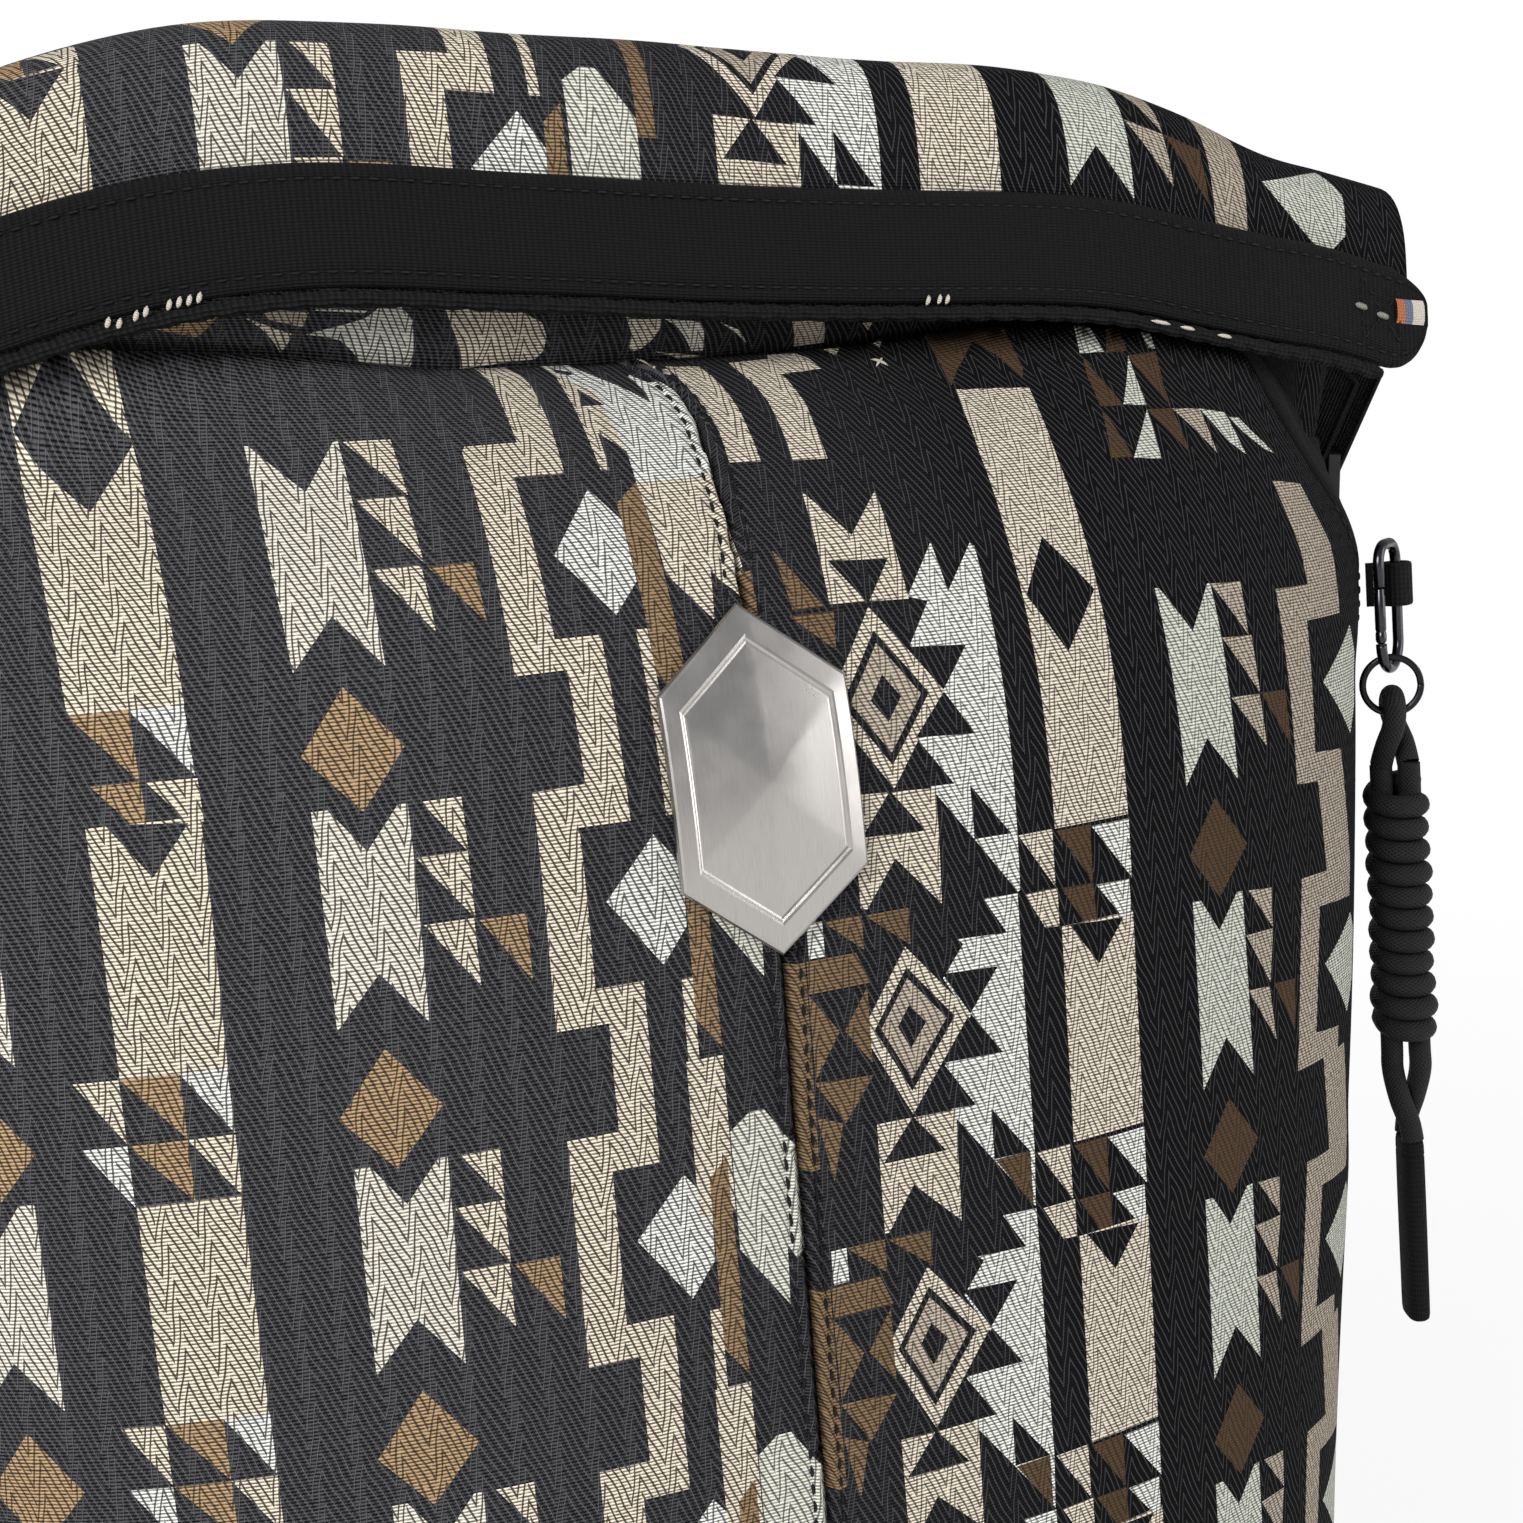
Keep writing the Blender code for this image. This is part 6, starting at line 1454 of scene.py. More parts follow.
def seam_stitches():
    """The topstitching beside the centre seam and inside both side seams, and one small cross."""
    vs = np.arange(LOWEST_V + 6, 305.0, 1.0)
    for word, offset in (("left", SEAM_ROW_LEFT), ("right", SEAM_ROW_RIGHT)):
        us = seam_u(vs) + offset
        path, normal = on_front(us, vs, *chart.find(us, vs), 0.00025)
        stitch_row("seam_stitches_" + word, path, normal, *SEAM_STITCH, "front_panel_" + word)
    for word, side in SIDES:
        zs = np.arange(*SIDE_ROW_Z, 0.001)
        angle = 90 - side * (90 - side_seam_angle(zs) - SIDE_ROW_ANGLE)
        path, normal = on_front(*chart.flat(angle, zs), angle, zs, 0.0001)
        stitch_row("side_stitches_" + word, path, normal, *SIDE_STITCH, "front_panel_" + word)
    cross = []
    for turn in (1, -1):
        us = CROSS_PLACE[0] + CROSS_REACH * np.array([-1, 1])
        vs = CROSS_PLACE[1] + CROSS_REACH * np.array([-turn, turn])
        ends, normal = on_front(us, vs, *chart.find(us, vs), 0.00015)
        cross += stitch_parts([ends.mean(axis=0)], [unit(ends[1] - ends[0])], [normal[0]], *CROSS_STITCH)
    joined("cross_stitch", cross, "thread_pale", "front_panel_right")


# Roll

TUCK = 0.0012
ROLL_AROUND = 125
ROLL_CLOTH_DROP = 190
ROLL_STEPS = 721
ROLL_SPACING = 2.2
ROLL_INSET = 0.0004


def lip_edge(x):
    """The height of the band's lower edge."""
    return smooth_value(LIP_EDGE, x)


def roll_scale(x):
    """The roll's thickness, a little less at its ends."""
    return 1 - ROLL_END_TAPER * (np.abs(x) / ROLL_HALF_LENGTH) ** 4


def roll_point(x, angle, depth):
    """A point of the roll's section at x, at an angle from the back, a depth inside its outside."""
    c, s = np.cos(np.radians(angle)), np.sin(np.radians(angle))
    power = 2 / ROLL_SQUARENESS
    y = np.sign(c) * np.abs(c) ** power * (ROLL_HALF_DEPTH * roll_scale(x) - depth)
    z = np.sign(s) * np.abs(s) ** power * (ROLL_HALF_HEIGHT * roll_scale(x) - depth)
    centre = smooth_value(ROLL_FOOT, x) + ROLL_OVER_LIP + ROLL_HALF_HEIGHT * roll_scale(x)
    return np.stack([x + 0 * y, ROLL_MIDDLE_Y + SHIFT_Y + y, centre + z], -1)


def roll_puff(x, arc):
    """How far the rolled cloth puckers outwards, by the place along the roll and millimetres round it."""
    wrinkle = 0.35 * bump_wave(x * 1000, arc, 41, 26.0) + 0.25 * bump_wave(x * 1000, arc * 0.3, 43, 7.0)
    return wrinkle * MM * np.clip((ROLL_HALF_LENGTH - abs(x)) * 60, 0, 1)


def rolled_cloth():
    """The neck's cloth rolled up, its turns showing at both ends, with the woven pattern outside."""
    xs = ROLL_HALF_LENGTH * np.sin(np.linspace(-pi / 2, pi / 2, 150))
    turns = np.linspace(0, ROLL_TURNS, 150)
    layer = ROLL_LAYER + ROLL_LAYER_GAP
    grid_x, grid_t = np.meshgrid(xs, turns, indexing="ij")
    arc = grid_t * ROLL_AROUND
    puff = roll_puff(grid_x, arc)
    angle = ROLL_START_ANGLE - 360 * grid_t
    outside = roll_point(grid_x, angle, grid_t * layer - puff + ROLL_INSET)
    inside = roll_point(grid_x, angle, grid_t * layer + ROLL_LAYER - puff)
    rings = np.concatenate([outside, inside[:, ::-1]], axis=1)
    count = rings.shape[1]
    lay_y = np.concatenate([arc, arc[:, ::-1] + 3], axis=1)
    lay = np.stack([np.broadcast_to(xs[:, None] * 1000, lay_y.shape), lay_y], -1)
    faces = grid_faces(len(xs), count, closed=True)
    for first in (0, (len(xs) - 1) * count):
        for i in range(len(turns) - 1):
            quad = (first + i, first + i + 1, first + count - 2 - i, first + count - 1 - i)
            faces.append(quad if first == 0 else quad[::-1])
    piece("rolled_core", rings.reshape(-1, 3), faces, "black", lay.reshape(-1, 2), nodes=("rolled_top",))

    shares = np.linspace(0, 1, ROLL_STEPS)
    ring = roll_point(np.zeros(ROLL_STEPS), ROLL_START_ANGLE - 360 * shares, layer * shares)
    round_it = lengths_along(ring)
    reach = (ROLL_HALF_LENGTH - ROLL_INSET) * 1000
    region = [(-reach, 1.0), (reach, 1.0), (reach, round_it[-1] - 1), (-reach, round_it[-1] - 1)]
    raised = [(colour, [(u, v - ROLL_CLOTH_DROP) for u, v in outline]) for colour, outline in SHAPES]
    points, faces, colours = woven_sheet(region, raised, ROLL_SPACING)
    share = np.interp(points[:, 1], round_it, shares)
    x = points[:, 0] / 1000
    angle = ROLL_START_ANGLE - 360 * share
    placed = roll_point(x, angle, share * layer - roll_puff(x, share * ROLL_AROUND))
    normals = unit(placed - roll_point(x, angle, share * layer + 0.004))
    cloth_piece("rolled_cloth", placed, normals, faces, colours, points, TUCK, slot="rolled_top")


# Band

# The band's section: depth and height as shares of its thickness and of half its height
LIP_PROFILE = (
    (0.0, -1.0), (0.0, -0.5), (0.0, 0.0), (0.0, 0.5), (0.0, 1.0), (0.35, 1.0), (0.6, 0.975), (0.8, 0.93),
    (0.93, 0.88), (1.0, 0.80), (1.03, 0.76), (0.93, 0.73), (1.03, 0.70), (1.04, 0.4), (1.05, 0.1),
    (1.04, -0.2), (1.03, -0.5), (1.02, -0.72), (0.93, -0.75), (1.02, -0.78), (0.97, -0.9), (0.8, -0.97),
    (0.5, -1.0),
)
BAND_ROWS = (("upper", 0.73), ("lower", -0.75))
BAND_STITCH = (0.0030, 0.0022, 0.00030)
# The box sewn at the band's right end: the x of each line's ends, and their shares of half the height
BAND_BOX = (
    (0.149, 0.149, -0.6, 0.6), (0.158, 0.158, -0.5, 0.5), (0.149, 0.158, -0.6, 0.5),
    (0.149, 0.158, 0.6, -0.5),
)
BOX_DASH = (0.0018, 0.00026)
SAGE_DASH = (0.0034, 0.00062)
THREAD_DASH = (0.0019, 0.00042)
BAND_DASHES = ((0.1014, 0.0048), (0.1073, 0.0036), (0.1156, 0.0036))
SAGE_DASHES = ((0.1485, 0.0100), (0.1538, 0.0096))
END_TAB_X = (0.1572, 0.1642)
END_TAB_STRIPES = (0, 0, 1, 1, 2, 2, 2)
ROPE_PITCH = 5.2
ROPE_LOBES = 0.26
# Pale threads on the rope: x, and how high up its front they lie
ROPE_THREADS = (
    (-0.1340, 0.4), (-0.0905, 0.9), (-0.0888, 0.5), (-0.0861, 0.9), (-0.0845, 1.1), (-0.0808, 1.3),
    (-0.0792, 1.4), (-0.0776, 1.4), (-0.0760, 1.5), (0.0527, 1.5), (0.0550, 1.6), (0.0566, 1.6),
)


def lip_back(x):
    """The y of the band's back, on the roll."""
    return ROLL_MIDDLE_Y + SHIFT_Y - ROLL_HALF_DEPTH * roll_scale(x) - GAP


def lip_reach(x):
    """Half the band's height, rounded off at its ends."""
    share = np.abs(x) / (ROLL_HALF_LENGTH + LIP_OVERHANG)
    return LIP_HEIGHT / 2 * (0.35 + 0.65 * np.sqrt(np.clip((1 - share) / 0.05, 0, 1)))


def lip_low(x):
    """The band's lower edge, rounded up at its ends."""
    share = np.clip((np.abs(x) / (ROLL_HALF_LENGTH + LIP_OVERHANG) - 0.945) / 0.055, 0, 1)
    return lip_edge(x) + LIP_HEIGHT / 2 * (1 - np.sqrt(np.clip(1 - share**2, 0.03, 1)))


def on_band(x, depth, height):
    """A point at x, some depth in front of the band's back and at a height."""
    return np.stack(np.broadcast_arrays(x, lip_back(x) - depth, height), -1)


def band_height(x, share):
    """The height on the band at a share of half its height."""
    return lip_edge(x) + LIP_HEIGHT / 2 + lip_reach(x) * share


def dash(place, way, length, radius):
    """One stitch on the band's front."""
    return stitch_parts([place], [unit(np.array(way))], [FORWARD], length, radius)


def band_cloth(half):
    """The band itself, with two stitched grooves."""
    xs = half * np.sin(np.linspace(-pi / 2, pi / 2, 260))
    near, far = lip_back(xs), lip_back(xs) - LIP_THICKNESS
    middle, reach = lip_edge(xs) + LIP_HEIGHT / 2, lip_reach(xs)
    wave = 0.00015 * bump_wave(xs * 1000, 0 * xs, 51, 12.0)
    below = middle - lip_low(xs)
    rings = []
    for d, h in LIP_PROFILE:
        y, z = near + (far - near) * d + wave * (d > 0.9), middle + (reach if h > 0 else below) * h
        rings.append(np.stack([xs, y, z], -1))
    rings = np.stack(rings, axis=1)
    lay = np.stack(np.broadcast_arrays(lengths_along(rings[130])[None], xs[:, None] * 1000), -1)
    faces = tube_faces(*rings.shape[:2])
    piece("band_cloth", rings.reshape(-1, 3), faces, "twill", lay.reshape(-1, 2), nodes=("lip_band",))


def band_marks(run):
    """The band's stitching, its plain woven dashes and the small tab at its right end."""
    for word, share in BAND_ROWS:
        path = on_band(run, LIP_THICKNESS, band_height(run, share))
        stitch_row("band_stitches_" + word, path, FORWARD, *BAND_STITCH, "lip_band")
    parts = []
    for x0, x1, h0, h1 in BAND_BOX:
        for t in np.linspace(0.06, 0.94, 6):
            x = x0 + (x1 - x0) * t
            place = on_band(x, LIP_THICKNESS * 1.03, band_height(x, h0 + (h1 - h0) * t))
            parts += dash(place, (x1 - x0, 0.0, (h1 - h0) * LIP_HEIGHT / 2), *BOX_DASH)
    joined("band_box_stitches", parts, "thread", "lip_band")
    parts = []
    for x, length in BAND_DASHES:
        low = lip_edge(x) - GAP - LIP_BINDING_RADIUS * 0.7
        rise = float(lip_edge(x + 0.002) - lip_edge(x - 0.002))
        place = on_band(x, LIP_THICKNESS / 2 + LIP_BINDING_RADIUS, low)
        parts += dash(place, (0.004, 0.0, rise), length * 0.9, 0.00038)
    joined("band_dashes", parts, "thread_pale", "lip_binding")
    parts = []
    for x, height in SAGE_DASHES:
        place = on_band(x, LIP_THICKNESS * 1.05, lip_edge(x) + height)
        parts += dash(place, (0.92, 0.0, -0.35), *SAGE_DASH)
    joined("band_sage_dashes", parts, "thread_sage", "lip_band")
    x, row = np.meshgrid(np.linspace(*END_TAB_X, 8), np.linspace(-1, 1, 6))
    bulge = 0.0005 * (1 - row**4) + 0.0001
    points = on_band(x, LIP_THICKNESS * 1.04 + bulge, lip_edge(x) + 0.0112 + 0.0024 * row)
    lay = np.stack([x * 1000, row * 2.4], -1).reshape(-1, 2)
    tie = {"indices": END_TAB_STRIPES * 5, "slot": "lip_band"}
    kinds = ("tab_rust", "tab_slate", "thread_pale")
    piece("band_end_tab", points.reshape(-1, 3), grid_faces(6, 8), kinds, lay, **tie)


def band_rope(run):
    """The rope-like lower edge, with some pale threads on it."""
    rope = on_band(run, LIP_THICKNESS / 2, lip_low(run) - GAP - LIP_BINDING_RADIUS)[8:-8]
    rope = read_along(np.linspace(rope[0, 0], rope[-1, 0], 1500), rope[:, 0], rope)
    spin = lengths_along(rope) * 2 * pi / ROPE_PITCH
    turn = np.linspace(0, 2 * pi, 17)[:-1]
    bulge = np.abs(np.cos(turn[None] - spin[:, None] / 2))
    lobes = LIP_BINDING_RADIUS * (1 - ROPE_LOBES + ROPE_LOBES * bulge)
    section = np.stack([lobes * np.cos(turn), lobes * np.sin(turn)], -1)
    swept("band_rope", rope, REARWARD, section, "cordage", "bag", ("lip_binding",))
    parts = []
    for x, lift in ROPE_THREADS:
        height = lip_edge(x) - GAP - LIP_BINDING_RADIUS * (1 - lift)
        place = on_band(x, LIP_THICKNESS / 2 + LIP_BINDING_RADIUS * 0.88, height)
        parts += dash(place, (0.35, 0.0, 0.9), *THREAD_DASH)
    joined("rope_threads", parts, "thread_pale", "lip_binding")


def band():
    """The stiff band along the roll and everything on it."""
    half = ROLL_HALF_LENGTH + LIP_OVERHANG
    run = np.linspace(-half * 0.965, half * 0.965, 400)
    band_cloth(half)
    band_marks(run)
    band_rope(run)


# Collar

COLLAR_TUCK = 0.003
COLLAR_INSET = 0.0030
COLLAR_CORNER_INSET = 0.0048
COLLAR_TOP_Y = -0.010
COLLAR_TOP_HALF_DEPTH = 0.010
COLLAR_BULGE = 0.0030
COLLAR_FOLD = 0.0011
COLLAR_TUCK_SHARE = 0.08


def roll_underside(x):
    """The height of the roll's lowest turn."""
    turns = (ROLL_START_ANGLE + 360 - 270) / 360
    return roll_point(x, 270, turns * (ROLL_LAYER + ROLL_LAYER_GAP))[..., 2]


def collar_point(angle, share):
    """The gathered neck at an angle, from its tucked lower edge, share 0, to the roll, share 1."""
    mouth = mouth_z(angle)
    low = skin(angle, mouth)
    normal = skin_normal(angle, mouth)
    flat = unit(normal * (1, 1, 0))
    corner = np.sin(np.radians(2 * angle)) ** 2
    low = low - flat * (COLLAR_INSET + COLLAR_CORNER_INSET * corner + waist(angle, mouth) * MM)[..., None]
    wide = np.clip(np.abs(low[..., 0]) / TOP_HALF_WIDTH, 0, 1)
    half = COLLAR_TOP_HALF_DEPTH * (1 - wide**6) + 0.002
    high_y = COLLAR_TOP_Y + SHIFT_Y + np.where(np.sin(np.radians(angle)) > 0, -half, half)
    high = np.stack([low[..., 0] * 0.985, high_y, roll_underside(low[..., 0]) - GAP], -1)
    rise = np.clip((share - COLLAR_TUCK_SHARE) / 0.92, 0, 1)
    point = low + (high - low) * rise[..., None]
    point[..., 2] -= COLLAR_TUCK * np.clip(1 - share / COLLAR_TUCK_SHARE, 0, 1)
    full = np.abs(np.sin(np.radians(angle)))
    out = COLLAR_BULGE * np.sin(pi * np.clip(rise, 0, 1) ** 0.7) * full
    x = low[..., 0] * 1000
    gather = bump_wave(x, rise * 6, 61, 9.0) + 0.6 * bump_wave(x, rise * 4, 63, 4.5)
    out = out + COLLAR_FOLD * gather * full * np.sin(pi * rise) ** 0.6
    return point + flat * out[..., None]


COLLAR_HEIGHT = 22.0
COLLAR_SPACING = 1.7
ring_angles = np.arange(-90.0, 270.5, 0.5)
ring_places = skin(ring_angles, mouth_z(ring_angles))
ring_arc = lengths_along(ring_places)
ring_arc = np.interp(90.0, ring_angles, ring_arc) - ring_arc
COLLAR_SHAPES = (
    ("brown", ((-83.5, 10.8), (-71.3, 11.2), (-74.2, 7), (-75.3, 5.8), (-83.2, 8.4))),
    ("cream", (
        (-67.5, 10.2), (-64.7, 8.8), (-62, 7.6), (-59.4, 6.8), (-60.1, 4.4),
        (-61, 3), (-62.5, 5.2), (-64.7, 7.8),
    )),
    ("tan", ((-64.6, 11.6), (-56.2, 11.2), (-57.5, 8.2), (-63.2, 9.4))),
    ("sage", ((-55.1, 12.1), (-47, 11.7), (-47.6, 11.2), (-55.1, 11.5))),
    ("sage", (
        (-56.9, 6.8), (-54.1, 7.8), (-50.7, 9), (-47.7, 10.2), (-46.7, 10.9), (-44.5, 12.8), (-41.1, 13),
        (-39.3, 10.4), (-39.1, 6.8), (-38.6, 1.8), (-47.4, 2.4), (-49.2, 4.2), (-51.4, 6), (-54, 6.6),
    )),
    ("cream", (
        (-33.1, 13.4), (-21.8, 13.4), (-18.5, 11.8), (-16.1, 10.2), (-15.4, 7.6), (-15.8, 4.8),
        (-17.2, 3.2), (-22.7, 2.8), (-30.2, 2), (-31.4, 7.2), (-32.3, 9.8),
    )),
    ("cream", (
        (-0.9, 11.4), (0, 10.6), (5.8, 10.4), (5.4, 8.2), (3.9, 5.8), (1.8, 4),
        (0.3, 3.8), (-0.3, 5), (0, 7.6),
    )),
    ("ivory", (
        (6.4, 10.4), (11.2, 9.8), (13.1, 9.4), (13.7, 7.4), (14.1, 2.8), (11.8, 3), (9.8, 6.6), (8.4, 8.8),
    )),
    ("tan", ((4.9, 3.4), (12, 2.2), (15.6, 1.5), (15, 0.9), (10.2, 1.5))),
    ("ivory", ((16.9, 9.2), (20.8, 7.2), (22.5, 4), (19.9, 6.8))),
    ("tan", ((30.7, 9.2), (37.4, 8.2), (38.1, 2.6), (32.2, 2.2))),
    ("tan", ((45.4, 7), (47.6, 6.8), (46.9, 4.6))),
)


def collar():
    """The gathered neck with its glimpses of the woven pattern."""
    left, right_end = ring_arc[-1], ring_arc[0]
    region = [(left, 0.0), (right_end, 0.0), (right_end, COLLAR_HEIGHT), (left, COLLAR_HEIGHT)]
    points, faces, colours = woven_sheet(region, COLLAR_SHAPES, COLLAR_SPACING)
    angle = np.interp(points[:, 0], ring_arc[::-1], ring_angles[::-1])
    share = points[:, 1] / COLLAR_HEIGHT
    placed = collar_point(angle, share)
    normals = unit(skin_normal(angle, mouth_z(angle)) * (1, 1, 0))
    cloth_piece("collar_cloth", placed, normals, faces, colours, points, TUCK, nodes=("neck_collar",))


# Badge

BADGE_REST = 0.0004 + CLOTH_GAP
# The plate's section from its back's rim to its middle: size as a share, and height
BADGE_LEVELS = (
    (0.97, 0.0), (1.0, 0.0003), (1.0, 0.0011), (0.985, 0.0016), (0.965, 0.0019), (0.82, 0.0023),
    (0.80, 0.0022), (0.785, 0.0019), (0.77, 0.0018), (0.75, 0.0019), (0.50, 0.0024), (0.25, 0.0030),
    (0.02, 0.0032),
)


def badge():
    """A plain six-sided plate with a bevelled frame and a brushed middle."""
    shoulder = BADGE_HALF_HEIGHT * 0.55
    corners = [(0.0, -BADGE_HALF_HEIGHT), (BADGE_HALF_WIDTH, -shoulder), (BADGE_HALF_WIDTH, shoulder)]
    corners += [(-x, -z) for x, z in corners]
    outline = np.array(along_edges(corners, step=0.0022))
    x, z = outline.T
    rings = [front_point(x * s, BADGE_Z + z * s, np.full(len(x), BADGE_REST + h)) for s, h in BADGE_LEVELS]
    lay = np.concatenate([outline * s * 1000 for s, _ in BADGE_LEVELS])
    faces = tube_faces(len(rings), len(x))
    plate = piece("badge_face", np.concatenate(rings), faces, "nickel", lay, nodes=("badge_plate",))
    plate.data.set_sharp_from_angle(angle=radians(9))


# Straps and pads

WEB_WIDTH = 0.020
WEB_THICKNESS = 0.0014
BUCKLE_THICKNESS = 0.0072
MALE_THICKNESS = 0.0030
MALE_BODY = 0.0200
MALE_BAR = 0.0030
FEMALE_LENGTH = 0.0220
FEMALE_BAR = 0.0026
SIDE_BUCKLE_Y = 0.012
SIDE_BUCKLE_MOUTH_Z = 0.354
ROLL_TAB_DRIFT = 0.016
SIDE_STRAP_FOOT_Z = 0.026
LOOP_OFFSET = MALE_THICKNESS / 2 + 0.00035 + WEB_THICKNESS / 2
PAD_THICKNESS = 0.012
PAD_PUFF = 0.0022
PAD_VOXEL = 0.0030
PAD_PRESSURE = 4
PAD_FRAMES = 20
PAD_RIM = 0.004
PAD_CHANNELS = (0.36, -0.36)
PAD_CHANNEL_HALF_WIDTH = 0.0030
STRAP_STITCH = (0.0032, 0.0023, 0.00030)
BOX_STITCH = (0.0019, 0.00026)
BOX_STITCH_PITCH = 0.0027
PAD_PIPING_RADIUS = 0.0012
STRAP_PIPING_RADIUS = 0.0011
PADS = (
    ("back_pad_right", 0.056, 0.242, 0.046, 0.112),
    ("back_pad_left", -0.056, 0.242, 0.046, 0.112),
    ("back_pad_lower", 0.0, 0.090, 0.095, 0.032),
)
STRAP_THICKNESS = 0.011
STRAP_TOP_HALF_WIDTH = 0.031
STRAP_END_HALF_WIDTH = 0.022
STRAP_ROOT_X = 0.060
STRAP_ROOT_Z = 0.366
STRAP_RUN_X = 0.081
STRAP_RUN_Y = 0.113
STRAP_RUN_HIGH_Z = 0.338
STRAP_RUN_LOW_Z = 0.262
STRAP_STRAIGHT = 0.028
STRAP_END = (0.106, 0.088, 0.152)
HANDLE_HALF_SPAN = 0.036
HANDLE_Z = 0.388
HANDLE_REACH = 0.026
HANDLE_WIDTH = 0.018
HANDLE_THICKNESS = 0.003
HANDLE_STITCH = (0.0030, 0.0021, 0.00030)
LOCK_THICKNESS = 0.0032
LOCK_HEIGHT = 0.022
LOCK_BAR = 0.003
ANCHOR_Z = 0.036
ANCHOR_X = 0.090
TAIL_DROP = 0.070
STERNUM_Z = 0.300
# The webbing's turn round a ladder lock's bar: way along it, and share of its lift
LOCK_TURN = ((0.0010, -1.0), (0.0002, -0.8), (-0.0002, -0.4), (-0.0002, 0.4), (0.0002, 0.8), (0.0010, 1.0))
RAIL_HEAD_Y = STRAP_RUN_Y + STRAP_THICKNESS / 2 + 2 * GAP + 0.0008 + 0.0012 + 0.0020
SLIDER_HALF = 0.0020 + 0.0003 + 0.0018


def placer(origin, across, along, out):
    """A function that turns (across, along, out) into the row frame."""
    return lambda a, b, c: origin + across * a + along * b + out * c


def loop_path(place, bar, towards, length, tail, drift=0.0):
    """A strap that comes from far off, turns round a bar and goes back."""
    shares = 1 - np.linspace(0, 0.9, 8)
    path = [place(-drift * t, bar + towards * length * t, LOOP_OFFSET) for t in shares]
    path.append(place(0.0, bar + towards * 0.001, LOOP_OFFSET))
    for i in range(1, 12):
        turn = pi * i / 12
        path.append(place(0.0, bar - towards * LOOP_OFFSET * 0.62 * sin(turn), LOOP_OFFSET * cos(turn)))
    path.append(place(0.0, bar + towards * 0.001, -LOOP_OFFSET))
    for t in np.linspace(0.1, 1.0, 10):
        path.append(place(-drift * tail / length * t, bar + towards * tail * t, -LOOP_OFFSET))
    return np.array(path)


def box_stitches(name, centre, across, along, out, width, height, slot, body="bag"):
    """A box of stitches with a cross in it, as sewn where a strap is fixed."""
    corners = [(-1, -1), (1, -1), (1, 1), (-1, 1)]
    lines = list(zip(corners, corners[1:] + corners[:1])) + [((-1, -1), (1, 1)), ((1, -1), (-1, 1))]
    parts = []
    for (a0, b0), (a1, b1) in lines:
        start = centre + across * a0 * width / 2 + along * b0 * height / 2
        end = centre + across * a1 * width / 2 + along * b1 * height / 2
        count = max(2, int(np.linalg.norm(end - start) / BOX_STITCH_PITCH))
        for i in range(count):
            spot = start + (end - start) * (i + 0.5) / count
            parts += stitch_parts([spot], [unit(end - start)], [out], *BOX_STITCH)
    return joined(name, parts, "thread", slot, body)


def side_frame(side):
    """A side buckle's mouth: its middle, the ways along and out of it, and a placer there."""
    up = unit(np.array([(TOP_HALF_WIDTH - BASE_HALF_WIDTH) / DOME_TOP_Z, 0.0, 1.0]))
    along = np.array([side * up[0], 0.0, up[2]])
    out = np.array([side * up[2], 0.0, -up[0]])
    reach = float(half_width(SIDE_BUCKLE_MOUTH_Z)) + BUCKLE_THICKNESS / 2 + 2 * GAP
    origin = np.array([side * reach, SIDE_BUCKLE_Y + SHIFT_Y, SIDE_BUCKLE_MOUTH_Z])
    return origin, along, out, placer(origin, REARWARD, along, out)


def side_straps():
    """The strap at each end of the roll, and the webbing down each side."""
    section = strap_section(WEB_WIDTH, WEB_THICKNESS)
    for word, side in SIDES:
        origin, along, out, place = side_frame(side)
        bar = MALE_BODY - MALE_BAR
        top = float(roll_underside(np.array(side * (abs(origin[0]) + 0.004)))) - 4 * GAP
        length = top - (SIDE_BUCKLE_MOUTH_Z + bar)
        path = loop_path(place, bar, 1, length, length * 0.9, ROLL_TAB_DRIFT)
        swept("roll_strap_" + word, path, REARWARD, section, "webbing", nodes=("roll_tab_" + word,))
        bar = -FEMALE_LENGTH + FEMALE_BAR
        length = SIDE_BUCKLE_MOUTH_Z + bar - SIDE_STRAP_FOOT_Z
        path = loop_path(place, bar, -1, 0.030, length)
        strap = "side_strap_" + word
        swept("side_web_" + word, path, REARWARD, section, "webbing", nodes=(strap,))
        ways = (REARWARD, along, out, WEB_WIDTH - 0.005)
        spot = place(0.0, bar - 0.022, LOOP_OFFSET + WEB_THICKNESS / 2)
        box_stitches("side_web_box_" + word, spot, *ways, 0.011, strap)
        spot = place(0.0, bar - length + 0.010, -LOOP_OFFSET + WEB_THICKNESS / 2)
        box_stitches("side_foot_box_" + word, spot, *ways, 0.013, strap)


